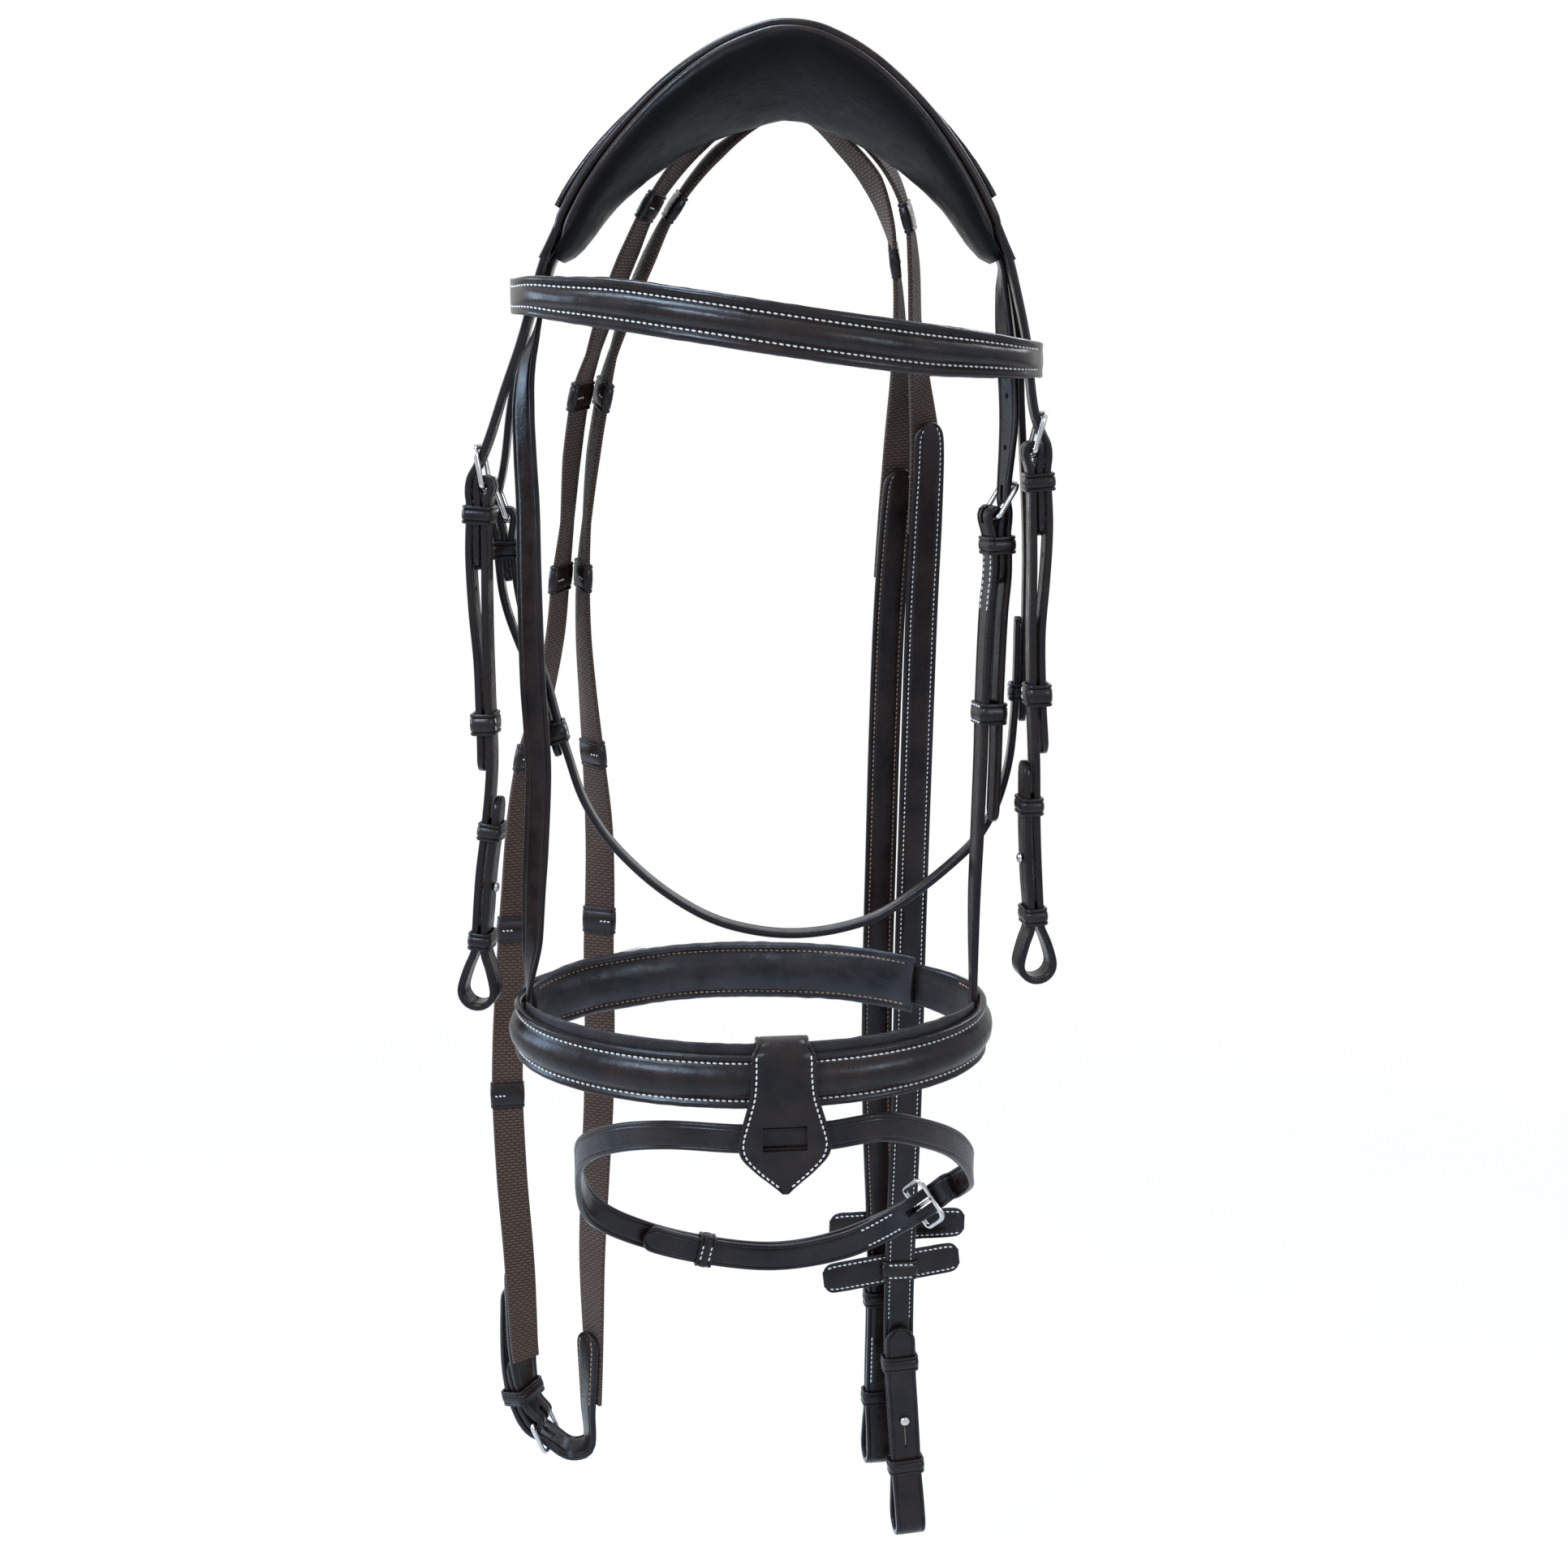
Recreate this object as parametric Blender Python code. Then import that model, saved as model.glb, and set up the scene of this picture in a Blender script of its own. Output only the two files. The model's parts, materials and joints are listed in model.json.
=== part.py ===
"""A full size leather horse bridle with a flash noseband and web reins, hanging from a hook.

The origin is where the reins and the headpiece hang, at the middle of the poll. X runs across
the horse's head, Y runs backwards and Z runs up. Lengths are in metres.
"""
import math

import bpy
from mathutils import Matrix, Vector

# The box that every table of shares is measured in.
SPREAD = 0.300
DEPTH = 0.160
DROP = 0.850

# Air left between pieces that touch.
GAP = 0.0003

# Leather and web.
LEATHER = 0.0034
THIN_LEATHER = 0.0026
WEB = 0.0024
PITCH = LEATHER + 2 * GAP
STEP = 0.028
FINE_STEP = 0.005
BEND_STEPS = 6
# How far a straight facet may lie off its curve.
CHORD = 0.00016
# The most that a face may turn from one station to the next, in degrees.
TWIST = 9.0

# Widths of the straps.
CHEEK_WIDTH = 0.015
SLIP_WIDTH = 0.014
THROAT_WIDTH = 0.011
FLASH_WIDTH = 0.0145
REIN_WIDTH = 0.0175
CHIN_WIDTH = 0.019

# Metal.
WIRE = 0.0013
TONGUE_WIDTH = 0.0022
TONGUE_THICKNESS = 0.0018
FRAME_LENGTH = 0.018
SLOT_WIDTH = TONGUE_WIDTH + 4 * GAP
BUCKLE_ROOM = 0.0014
STUD_NECK = 0.0015
STUD_HEAD = 0.0029
STUD_DOME = 0.0026

# Keepers and runners.
KEEPER_WALL = 0.0014
KEEPER_LENGTH = 0.009
RUNNER_LENGTH = 0.011
SLACK = 0.0004

UP = Vector((0.0, 0.0, 1.0))
FRONT = Vector((0.0, -1.0, 0.0))
BACK = -FRONT
DOWN = -UP


def empty_scene():
    """Remove what the file opened with."""
    for thing in list(bpy.data.objects):
        bpy.data.objects.remove(thing, do_unlink=True)


def new_collection(name):
    """A collection in the scene."""
    made = bpy.data.collections.new(name)
    bpy.context.scene.collection.children.link(made)
    return made


def material(name, colour, roughness, metallic=0.0):
    """A Principled material."""
    made = bpy.data.materials.new(name)
    made.use_nodes = True
    made.diffuse_color = (*colour, 1.0)
    shader = made.node_tree.nodes["Principled BSDF"]
    shader.inputs["Base Color"].default_value = (*colour, 1.0)
    shader.inputs["Roughness"].default_value = roughness
    shader.inputs["Metallic"].default_value = metallic
    return made


LEATHER_COLOUR = (0.012, 0.011, 0.014)
PADDING_COLOUR = (0.007, 0.007, 0.009)
WEB_COLOUR = (0.060, 0.038, 0.030)
STEEL_COLOUR = (0.62, 0.62, 0.60)

LOOKS = {
    "leather": (LEATHER_COLOUR, 0.42, 0.0),
    "padding": (PADDING_COLOUR, 0.55, 0.0),
    "web": (WEB_COLOUR, 0.85, 0.0),
    "steel": (STEEL_COLOUR, 0.25, 1.0),
}


def spot(shares):
    """The place that three shares of the box stand for."""
    return Vector((shares[0] * SPREAD, shares[1] * DEPTH, -shares[2] * DROP))


class Route:
    """A smooth line through places, with a face direction at every length along it.

    across is the direction the strap's width keeps to before its turns, and toward is where
    a positive turn points the face.
    """

    FINE = 10

    def __init__(self, places, turns, across, toward=FRONT):
        self.across = across
        self.toward = toward
        self.points = []
        self.turns = []
        padded = [2 * places[0] - places[1]] + list(places) + [2 * places[-1] - places[-2]]
        for index in range(len(places) - 1):
            corners = padded[index:index + 4]
            for step in range(self.FINE):
                share = step / self.FINE
                self.points.append(self.between(corners, share))
                self.turns.append(turns[index] + share * (turns[index + 1] - turns[index]))
        self.points.append(places[-1].copy())
        self.turns.append(turns[-1])
        self.lengths = [0.0]
        for first, second in zip(self.points, self.points[1:]):
            self.lengths.append(self.lengths[-1] + (second - first).length)
        self.length = self.lengths[-1]
        self.marks = [self.lengths[index * self.FINE] for index in range(len(places))]
        last = len(self.points) - 1
        self.tangents = [
            (self.points[min(index + 1, last)] - self.points[max(index - 1, 0)]).normalized()
            for index in range(last + 1)
        ]

    @staticmethod
    def between(corners, share):
        """A place between the middle two of four corners, on a centripetal spline."""
        knots = [0.0]
        for first, second in zip(corners, corners[1:]):
            knots.append(knots[-1] + math.sqrt((second - first).length))
        now = knots[1] + share * (knots[2] - knots[1])
        level = list(corners)
        for reach in (1, 2, 3):
            merged = []
            for index in range(len(level) - 1):
                if reach == 1:
                    low, high = knots[index], knots[index + 1]
                elif reach == 2:
                    low, high = knots[index], knots[index + 2]
                else:
                    low, high = knots[1], knots[2]
                part = (now - low) / (high - low)
                merged.append(level[index].lerp(level[index + 1], part))
            level = merged
        return level[0]

    def find(self, along):
        """The fine step that a length falls in, and the share of that step."""
        last = len(self.points) - 2
        for index in range(last + 1):
            if along < self.lengths[index + 1] or index == last:
                span = self.lengths[index + 1] - self.lengths[index]
                return index, (along - self.lengths[index]) / span

    def frame(self, along):
        """Centre, direction, face and width direction at a length."""
        index, share = self.find(along)
        centre = self.points[index].lerp(self.points[index + 1], share)
        inside = min(max(share, 0.0), 1.0)
        ahead = self.tangents[index].lerp(self.tangents[index + 1], inside).normalized()
        turn = self.turns[index] + inside * (self.turns[index + 1] - self.turns[index])
        face = self.across.cross(ahead).normalized()
        side = ahead.cross(face)
        if side.dot(self.toward) < 0.0:
            side = -side
        face = math.cos(math.radians(turn)) * face + math.sin(math.radians(turn)) * side
        return centre, ahead, face, ahead.cross(face)

    def place(self, along, out=0.0, aside=0.0):
        """A place given by its length along, its height over the face and its offset aside."""
        centre, _, face, width = self.frame(along)
        return centre + out * face + aside * width


def route_from(rows, across, toward=FRONT):
    """A route from rows of three shares and a turn in degrees."""
    return Route([spot(row) for row in rows], [row[3] for row in rows], across, toward)


def flat_section(width, thickness, rise=0.0):
    """A strap's outline with the edges of its face broken, as pairs of aside and out."""
    half = width / 2
    top = thickness / 2
    cut = 0.32 * thickness
    return [(-half, -top), (half, -top), (half, top - cut), (half - cut, top),
            (-half + cut, top), (-half, top - cut)]


def plain_section(width, thickness, rise=0.0):
    """A woven web's outline."""
    half = width / 2
    top = thickness / 2
    return [(-half, -top), (half, -top), (half, top), (-half, top)]


def crown_section(width, thickness, rise=0.0):
    """The crown's outline, with lines where the straps over and under it lie."""
    half = width / 2
    top = thickness / 2
    cut = 0.32 * thickness
    seat = SLIP_WIDTH / 2 + 2 * GAP
    return [(-half, -top), (-seat, -top), (seat, -top), (half, -top), (half, top - cut),
            (half - cut, top), (seat, top), (-seat, top), (-half + cut, top),
            (-half, top - cut)]


def raised_section(width, thickness, rise):
    """A strap's outline whose middle is raised over a roll."""
    half = width / 2
    top = thickness / 2
    return [(-half, -top), (half, -top), (half, top), (0.34 * width, top),
            (0.22 * width, top + 0.75 * rise), (0.0, top + rise),
            (-0.22 * width, top + 0.75 * rise), (-0.34 * width, top), (-half, top)]


def pad_section(width, thickness, rise=0.0):
    """A cushion's outline: flat where it is sewn down, crowned on the other side."""
    half = width / 2
    return [(half, 0.0), (-half, 0.0),
            (-half, -0.28 * thickness), (-0.86 * half, -0.66 * thickness),
            (-0.5 * half, -0.95 * thickness), (0.0, -thickness),
            (0.5 * half, -0.95 * thickness), (0.86 * half, -0.66 * thickness),
            (half, -0.28 * thickness)]


def grooved_section(width, thickness, rise):
    """The poll pad's outline, with a groove for the sliphead along its top."""
    half = width / 2
    groove = SLIP_WIDTH / 2 + 2 * GAP
    return [(half, 0.0), (groove, 0.0), (groove, -rise), (-groove, -rise), (-groove, 0.0),
            (-half, 0.0), (-half, -0.30 * thickness), (-0.88 * half, -0.66 * thickness),
            (-0.5 * half, -0.93 * thickness), (0.0, -thickness),
            (0.5 * half, -0.93 * thickness), (0.88 * half, -0.66 * thickness),
            (half, -0.30 * thickness)]


def mesh_object(name, points, faces, look, home):
    """A mesh object from places and the faces among them."""
    mesh = bpy.data.meshes.new(name)
    mesh.from_pydata(points, [], faces)
    mesh.update()
    made = bpy.data.objects.new(name, mesh)
    home.objects.link(made)
    mesh.materials.append(material(name + "_look", *LOOKS[look]))
    return made


def loft(name, rings, look, home, closed=False):
    """A closed body through rings of places, capped at its ends or joined round."""
    count = len(rings[0])
    points = [place for ring in rings for place in ring]
    faces = []
    last = len(rings) if closed else len(rings) - 1
    for index in range(last):
        here = index * count
        there = ((index + 1) % len(rings)) * count
        for step in range(count):
            after = (step + 1) % count
            faces.append((here + step, here + after, there + after, there + step))
    if not closed:
        faces.append(tuple(reversed(range(count))))
        faces.append(tuple(range(len(points) - count, len(points))))
    made = mesh_object(name, points, faces, look, home)
    upright(made)
    return made


def upright(made):
    """Point the faces of a closed body outwards."""
    mesh = made.data
    mesh.calc_loop_triangles()
    volume = 0.0
    for triangle in mesh.loop_triangles:
        first, second, third = (mesh.vertices[index].co for index in triangle.vertices)
        volume += first.dot(second.cross(third))
    if volume < 0.0:
        mesh.flip_normals()


def refined(route, stations):
    """Stations with more of them where the route bends or twists."""
    rows = [stations[0]]
    for first, second in zip(stations, stations[1:]):
        span = abs(second[0] - first[0])
        here = route.frame(first[0])
        there = route.frame(second[0])
        bends = here[1].angle(there[1])
        twists = here[2].angle(there[2])
        parts = max(1, math.ceil(math.sqrt(span * bends / (8.0 * CHORD)) - 0.2),
                    math.ceil(math.degrees(twists) / TWIST))
        if span < 2 * LEATHER:
            parts = 1
        for step in range(1, parts + 1):
            share = step / parts
            rows.append(tuple(a + share * (b - a) for a, b in zip(first, second)))
    return rows


def strap(name, route, stations, look, home, section=flat_section, aside=0.0):
    """A strap along stations of length, height, width, thickness and rise."""
    stations = refined(route, stations)
    rings = []
    last = len(stations) - 1
    for index, row in enumerate(stations):
        lead = Vector((0.0, 0.0))
        for first, second in ((index - 1, index), (index, index + 1)):
            if first >= 0 and second <= last:
                lead += Vector((stations[second][0] - stations[first][0],
                                stations[second][1] - stations[first][1])).normalized()
        lead.normalize()
        centre, ahead, face, width = route.frame(row[0])
        centre = centre + row[1] * face + aside * width
        out = lead.x * face - lead.y * ahead
        outline = section(row[2], row[3], row[4] if len(row) > 4 else 0.0)
        rings.append([centre + b * width + d * out for b, d in outline])
    return loft(name, rings, look, home)


def run(start, end, out, width, thickness=LEATHER, rise=0.0, step=STEP):
    """Stations along a stretch at one height over the face."""
    count = max(1, round(abs(end - start) / step))
    return [(start + (end - start) * index / count, out, width, thickness, rise)
            for index in range(count + 1)]


def tip(along, out, width, thickness=LEATHER, onward=1.0):
    """Stations that narrow a strap to its rounded point."""
    reach = 0.5 * width
    return [(along + onward * reach * share, out, width * narrow, thickness, 0.0)
            for share, narrow in ((0.0, 1.0), (0.5, 0.84), (0.85, 0.54), (1.0, 0.26))]


def bend(along, out, radius, start, end, width, thickness=LEATHER, steps=BEND_STEPS):
    """Stations round an arc, with angles in degrees from the direction of the route."""
    stations = []
    for index in range(steps + 1):
        angle = math.radians(start + (end - start) * index / steps)
        stations.append((along + radius * math.cos(angle), out + radius * math.sin(angle),
                         width, thickness, 0.0))
    return stations


# Heights of the layers at a buckle, over the face of the strap that carries it.
FOLD = WIRE + 2 * GAP + LEATHER / 2
BAR_OUT = PITCH / 2
BILLET_AT_BAR = BAR_OUT + FOLD + LEATHER + GAP
BILLET_AT_FRAME = 0.0050
BILLET_OUT = 2 * PITCH
FRAME_OUT = BILLET_AT_FRAME + LEATHER / 2 + 2 * GAP + WIRE
FOLD_REACH = 0.010


def folded_end(bar, chape, width, side=1):
    """Stations from the end of a chape, up to a buckle's bar, round it and on to the main run."""
    stations = tip(bar + chape, side * PITCH, width)[::-1]
    stations += run(bar + 0.6 * chape, bar + FOLD_REACH, side * PITCH, width)
    turns = bend(bar, side * BAR_OUT, FOLD, side * 90.0, side * 270.0, width)
    stations += turns
    stations.append((bar + FOLD_REACH, 0.0, width, LEATHER, 0.0))
    return stations


def billet_at(bar, side=1, lead=0.0):
    """Heights of a billet through a buckle, as pairs of length and height."""
    return [(bar - FRAME_LENGTH - lead, 0.72 * side * BILLET_AT_FRAME),
            (bar - FRAME_LENGTH, side * BILLET_AT_FRAME),
            (bar - 0.5 * FRAME_LENGTH, side * (BILLET_AT_FRAME + BILLET_AT_BAR) / 2),
            (bar - 0.15 * FRAME_LENGTH, side * BILLET_AT_BAR),
            (bar + 0.2 * FRAME_LENGTH, side * BILLET_AT_BAR),
            (bar + FOLD_REACH, side * BILLET_OUT)]


def buckle_axes(route, bar, side):
    """A buckle's bar centre, its length, its direction, its face and its width direction."""
    origin = route.place(bar, side * BAR_OUT)
    far = route.place(bar - FRAME_LENGTH, side * FRAME_OUT)
    outward = far - origin
    reach = outward.length
    outward = outward / reach
    across = route.frame(bar)[3]
    across = (across - across.dot(outward) * outward).normalized()
    face = outward.cross(across)
    if face.dot(route.frame(bar)[2]) * side < 0.0:
        face = -face
    return origin, reach, outward, face, across


def buckle_frame(name, route, bar, width, home, side=1, room=BUCKLE_ROOM):
    """A buckle's frame: a closed loop of wire from its bar to its outer bar."""
    half = width / 2 + room + WIRE
    corner = 0.30 * half
    origin, reach, outward, face, across = buckle_axes(route, bar, side)
    outline = [Vector((0.0, -half)), Vector((0.0, half)), Vector((reach, half)),
               Vector((reach, -half))]
    path = []
    for index, start in enumerate(outline):
        first = start + corner * (outline[index - 1] - start).normalized()
        second = start + corner * (outline[(index + 1) % 4] - start).normalized()
        path += [first, start.lerp((first + second) / 2, 0.45), second]
    rings = []
    for index, here in enumerate(path):
        lead = (path[(index + 1) % len(path)] - path[index - 1]).normalized()
        sideways = Vector((lead.y, -lead.x))
        ring = []
        for step in range(6):
            angle = math.tau * (step + 0.5) / 6
            spread = here + WIRE * math.cos(angle) * sideways
            ring.append(origin + spread.x * outward + spread.y * across
                        + WIRE * math.sin(angle) * face)
        rings.append(ring)
    return loft(name, rings, "steel", home, closed=True)


def buckle_tongue(name, route, bar, home, side=1):
    """A buckle's tongue: hooked round the bar, through the billet, resting on the outer bar."""
    origin, reach, outward, face, across = buckle_axes(route, bar, side)
    hook = WIRE + GAP + TONGUE_THICKNESS / 2
    path = []
    for index in range(9):
        angle = math.radians(340.0 - index * 250.0 / 8)
        path.append(Vector((hook * math.cos(angle), hook * math.sin(angle))))
    path += [Vector((0.5 * reach, hook)), Vector((reach, hook)), Vector((reach + WIRE, hook))]
    rings = []
    last = len(path) - 1
    for index, here in enumerate(path):
        lead = (path[min(index + 1, last)] - path[max(index - 1, 0)]).normalized()
        out = Vector((-lead.y, lead.x))
        taper = 1.0 if index < last else 0.7
        ring = []
        for b, d in ((-1, -1), (1, -1), (1, 1), (-1, 1)):
            flat = here + d * taper * TONGUE_THICKNESS / 2 * out
            ring.append(origin + flat.x * outward + flat.y * face
                        + b * taper * TONGUE_WIDTH / 2 * across)
        rings.append(ring)
    made = loft(name, rings, "steel", home)
    set_origin(made, origin)
    return made


def set_origin(made, origin):
    """Move an object's origin without moving its surface."""
    made.data.transform(Matrix.Translation(-origin))
    made.location = origin


def keeper(name, route, along, low, high, width, home, length=KEEPER_LENGTH,
           thickness=LEATHER, aside=0.0, slack=SLACK, look="leather"):
    """A leather loop round the layers between two heights."""
    centre, ahead, face, across = route.frame(along)
    origin = centre + (low + high) / 2 * face + aside * across
    tall = abs(high - low) / 2 + thickness / 2 + slack
    wide = width / 2 + slack
    cut = 0.3 * KEEPER_WALL
    rings = []
    for start, wall in ((-0.5, 0.0), (-0.5, KEEPER_WALL), (0.5, KEEPER_WALL), (0.5, 0.0)):
        far = wide + wall
        top = tall + wall
        outline = ((far - cut, -top), (far, -top + cut), (far, top - cut), (far - cut, top),
                   (-far + cut, top), (-far, top - cut), (-far, -top + cut), (-far + cut, -top))
        rings.append([origin + start * length * ahead + b * across + d * face
                      for b, d in outline])
    made = loft(name, rings, look, home, closed=True)
    set_origin(made, origin)
    return made


def cutter_box(centre, axes, reaches, cutters):
    """A box for a slot, with pairs of reaches along three axes from a centre."""
    rings = []
    for along in reaches[0]:
        ring = []
        for b, d in ((0, 0), (1, 0), (1, 1), (0, 1)):
            ring.append(centre + along * axes[0] + reaches[1][b] * axes[1]
                        + reaches[2][d] * axes[2])
        rings.append(ring)
    return loft("cutter", rings, "steel", cutters)


def cutter_pin(place, direction, radius, length, cutters):
    """A round cutter for a hole."""
    bpy.ops.mesh.primitive_cylinder_add(vertices=8, radius=radius, depth=length, location=place)
    made = bpy.context.object
    made.rotation_mode = "QUATERNION"
    made.rotation_quaternion = direction.to_track_quat("Z", "Y")
    for home in list(made.users_collection):
        home.objects.unlink(made)
    cutters.objects.link(made)
    return made


def combine(made, others, operation):
    """Cut or join a body with other bodies, and remove those."""
    for other in others:
        change = made.modifiers.new("combine", "BOOLEAN")
        change.operation = operation
        change.solver = "EXACT"
        change.object = other
    bpy.context.view_layer.update()
    graph = bpy.context.evaluated_depsgraph_get()
    mesh = bpy.data.meshes.new_from_object(made.evaluated_get(graph))
    made.modifiers.clear()
    old = made.data
    made.data = mesh
    bpy.data.meshes.remove(old)
    for other in others:
        bpy.data.objects.remove(other, do_unlink=True)


def slot_for_fold(route, bar, cutters, side=1):
    """The slot in a fold that its tongue moves in."""
    origin, reach, outward, face, across = buckle_axes(route, bar, side)
    half = SLOT_WIDTH / 2
    return cutter_box(origin, (outward, across, face),
                      ((-1.6 * FOLD, 2.0 * FOLD), (-half, half), (-2.0 * FOLD, 2.0 * FOLD)),
                      cutters)


def slot_for_billet(route, bar, cutters, side=1):
    """The hole in a billet that the tongue goes through."""
    origin, reach, outward, face, across = buckle_axes(route, bar, side)
    half = SLOT_WIDTH / 2
    return cutter_box(origin, (outward, across, face),
                      ((0.12 * reach, 0.90 * reach), (-half, half), (-FOLD, 3.0 * FOLD)),
                      cutters)


def falling(top, steps):
    """Drops from the origin of features one below another, from a first place down."""
    drops = {}
    for key, step in steps.items():
        top += step
        drops[key] = top
    return drops


def rising(route, steps):
    """Drops from the origin of features one above another, from the foot of a route up."""
    foot = route[-1][2] * DROP
    drops = {}
    for key, step in steps.items():
        foot -= step
        drops[key] = foot
    return drops


# The headpiece.
CROWN_LEATHER = 0.0042
CROWN_STATIONS = 24
COVER_START = 0.082
COVER_END = 0.900
CROWN_END = 0.042
CROWN_MIDDLE = 0.064
CROWN_ROWS_SHARES = [
    (-0.402, 0.0, 0.087, 0.0), (-0.321, 0.0, 0.043, -8.0), (-0.201, 0.0, 0.005, -18.0),
    (-0.095, 0.0, -0.015, -26.0), (0.0, 0.0, -0.023, -29.0), (0.090, 0.0, -0.013, -26.0),
    (0.192, 0.0, 0.011, -18.0), (0.286, 0.0, 0.046, -8.0), (0.356, 0.0, 0.088, 0.0),
]
CHEEK_ASIDE = 0.0105
THROAT_ASIDE = -0.0115
ROOT_IN = 0.018
ROOT_OUT = 0.003
SLIP_UNDER = CROWN_LEATHER / 2 + 2 * GAP + THIN_LEATHER / 2
GROOVE = THIN_LEATHER + 2 * GAP
PAD_THICKNESS = 0.0125
PAD_END = 0.046
PAD_MIDDLE = 0.070
COVER_WIDTH = 0.040
COVER_RISE = 0.0032

# The two sides of the bridle, from the headpiece down.
CHEEK_LEFT_SHARES = [
    (-0.445, -0.056, 0.142, 0.0), (-0.4645, -0.060, 0.165, 0.0), (-0.480, -0.062, 0.186, -2.0),
    (-0.490, -0.062, 0.202, -3.0), (-0.498, -0.062, 0.217, -4.0), (-0.503, -0.062, 0.236, -5.0),
    (-0.505, -0.062, 0.264, -5.0), (-0.506, -0.062, 0.298, -6.0),
    (-0.505, -0.062, 0.340, -6.0), (-0.504, -0.062, 0.380, -7.0),
    (-0.513, -0.062, 0.414, -8.0), (-0.526, -0.062, 0.447, -8.0),
    (-0.534, -0.062, 0.480, -8.0), (-0.541, -0.062, 0.512, -8.0),
    (-0.545, -0.062, 0.540, -8.0),
]
CHEEK_RIGHT_SHARES = [
    (0.377, -0.056, 0.130, 0.0), (0.380, -0.060, 0.152, -1.0), (0.383, -0.062, 0.175, -2.0),
    (0.389, -0.062, 0.195, -3.0), (0.395, -0.062, 0.217, -4.0), (0.399, -0.062, 0.256, -5.0),
    (0.400, -0.062, 0.300, -5.0), (0.403, -0.062, 0.340, -6.0), (0.409, -0.062, 0.374, -8.0),
    (0.412, -0.062, 0.420, -10.0), (0.418, -0.062, 0.458, -10.0), (0.424, -0.062, 0.490, -10.0),
    (0.425, -0.062, 0.530, -10.0),
]
BILLET_FALL = 0.045
BILLET_LOW = PITCH + 2 * GAP
RUNNER_OUT = BILLET_LOW + 4 * GAP
CHAPE_CLEAR = 0.002
CHAPE = 0.034
RETURN_OUT = 0.0050
LOOP_RADIUS = 0.0085
LOOP_STEPS = 7

# Heights, as drops from the origin, of what sits along each cheek: the buckle's bar and its
# keeper from the top, and the rest in steps from the foot of the cheek up.
CHEEK_LEFT_BAR_SHARE = 0.2160
CHEEK_LEFT_FALL = {"bar": 0.0, "keeper": 0.0140}
CHEEK_LEFT_RISE = {"loop": 0.0185, "lower": 0.0265, "stud": 0.0280, "upper": 0.0290,
                   "tip": 0.0180, "billet": 0.0120, "runner": 0.0250}
CHEEK_RIGHT_BAR_SHARE = 0.1959
CHEEK_RIGHT_FALL = {"bar": 0.0, "keeper": 0.0150}
CHEEK_RIGHT_RISE = {"loop": 0.0240, "lower": 0.0255, "stud": 0.0300, "upper": 0.0270,
                    "tip": 0.0230, "billet": 0.0030, "runner": 0.0305}
CHEEK_LEFT_DROPS = {**falling(CHEEK_LEFT_BAR_SHARE * DROP, CHEEK_LEFT_FALL),
                    **rising(CHEEK_LEFT_SHARES, CHEEK_LEFT_RISE)}
CHEEK_RIGHT_DROPS = {**falling(CHEEK_RIGHT_BAR_SHARE * DROP, CHEEK_RIGHT_FALL),
                     **rising(CHEEK_RIGHT_SHARES, CHEEK_RIGHT_RISE)}

# The strap that carries the noseband: its left hanger and its tail on the right.
SLIP_LEFT_SHARES = [
    (-0.4545, 0.0, 0.547, 0.0), (-0.4540, 0.0, 0.527, 4.0), (-0.4515, 0.0, 0.511, 24.0),
    (-0.446, 0.0, 0.492, 48.0), (-0.442, 0.0, 0.462, 60.0), (-0.437, 0.0, 0.437, 66.0),
    (-0.430, 0.0, 0.387, 70.0), (-0.432, 0.0, 0.362, 70.0), (-0.436, 0.0, 0.337, 70.0),
    (-0.438, 0.0, 0.303, 66.0), (-0.439, 0.0, 0.265, 62.0), (-0.439, 0.0, 0.227, 58.0),
    (-0.442, 0.0, 0.198, 55.0), (-0.443, 0.0, 0.170, 52.0), (-0.437, 0.003, 0.148, 38.0),
    (-0.4190, 0.012, 0.127, 10.0), (-0.4050, 0.018, 0.106, -2.0),
]
SLIP_RIGHT_SHARES = [
    (0.3460, 0.015, 0.1035, -14.0), (0.3500, 0.010, 0.124, -26.0),
    (0.3570, 0.004, 0.150, -34.0), (0.3605, 0.0, 0.176, -32.0), (0.358, 0.0, 0.196, -24.0),
]
HANGER_RIGHT_SHARES = [
    (0.348, 0.0, 0.200, -18.0), (0.337, 0.0, 0.217, -18.0), (0.328, 0.0, 0.233, -18.0),
    (0.332, 0.0, 0.250, -18.0), (0.333, 0.0, 0.268, -18.0), (0.328, 0.0, 0.291, -18.0),
    (0.323, 0.0, 0.346, -17.0), (0.322, 0.0, 0.375, -16.0), (0.318, 0.0, 0.427, -14.0),
    (0.315, 0.0, 0.461, -12.0), (0.3145, 0.0, 0.487, -8.0), (0.3150, 0.0, 0.511, -3.0),
    (0.3150, 0.0, 0.528, 0.0), (0.3145, 0.0, 0.546, 0.0),
]
HANGER_BAR_SHARE = 0.2335
HANGER_FALL = {"bar": 0.0, "keeper": 0.0150, "runner": 0.0850, "tip": 0.0565}
HANGER_DROPS = falling(HANGER_BAR_SHARE * DROP, HANGER_FALL)

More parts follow.
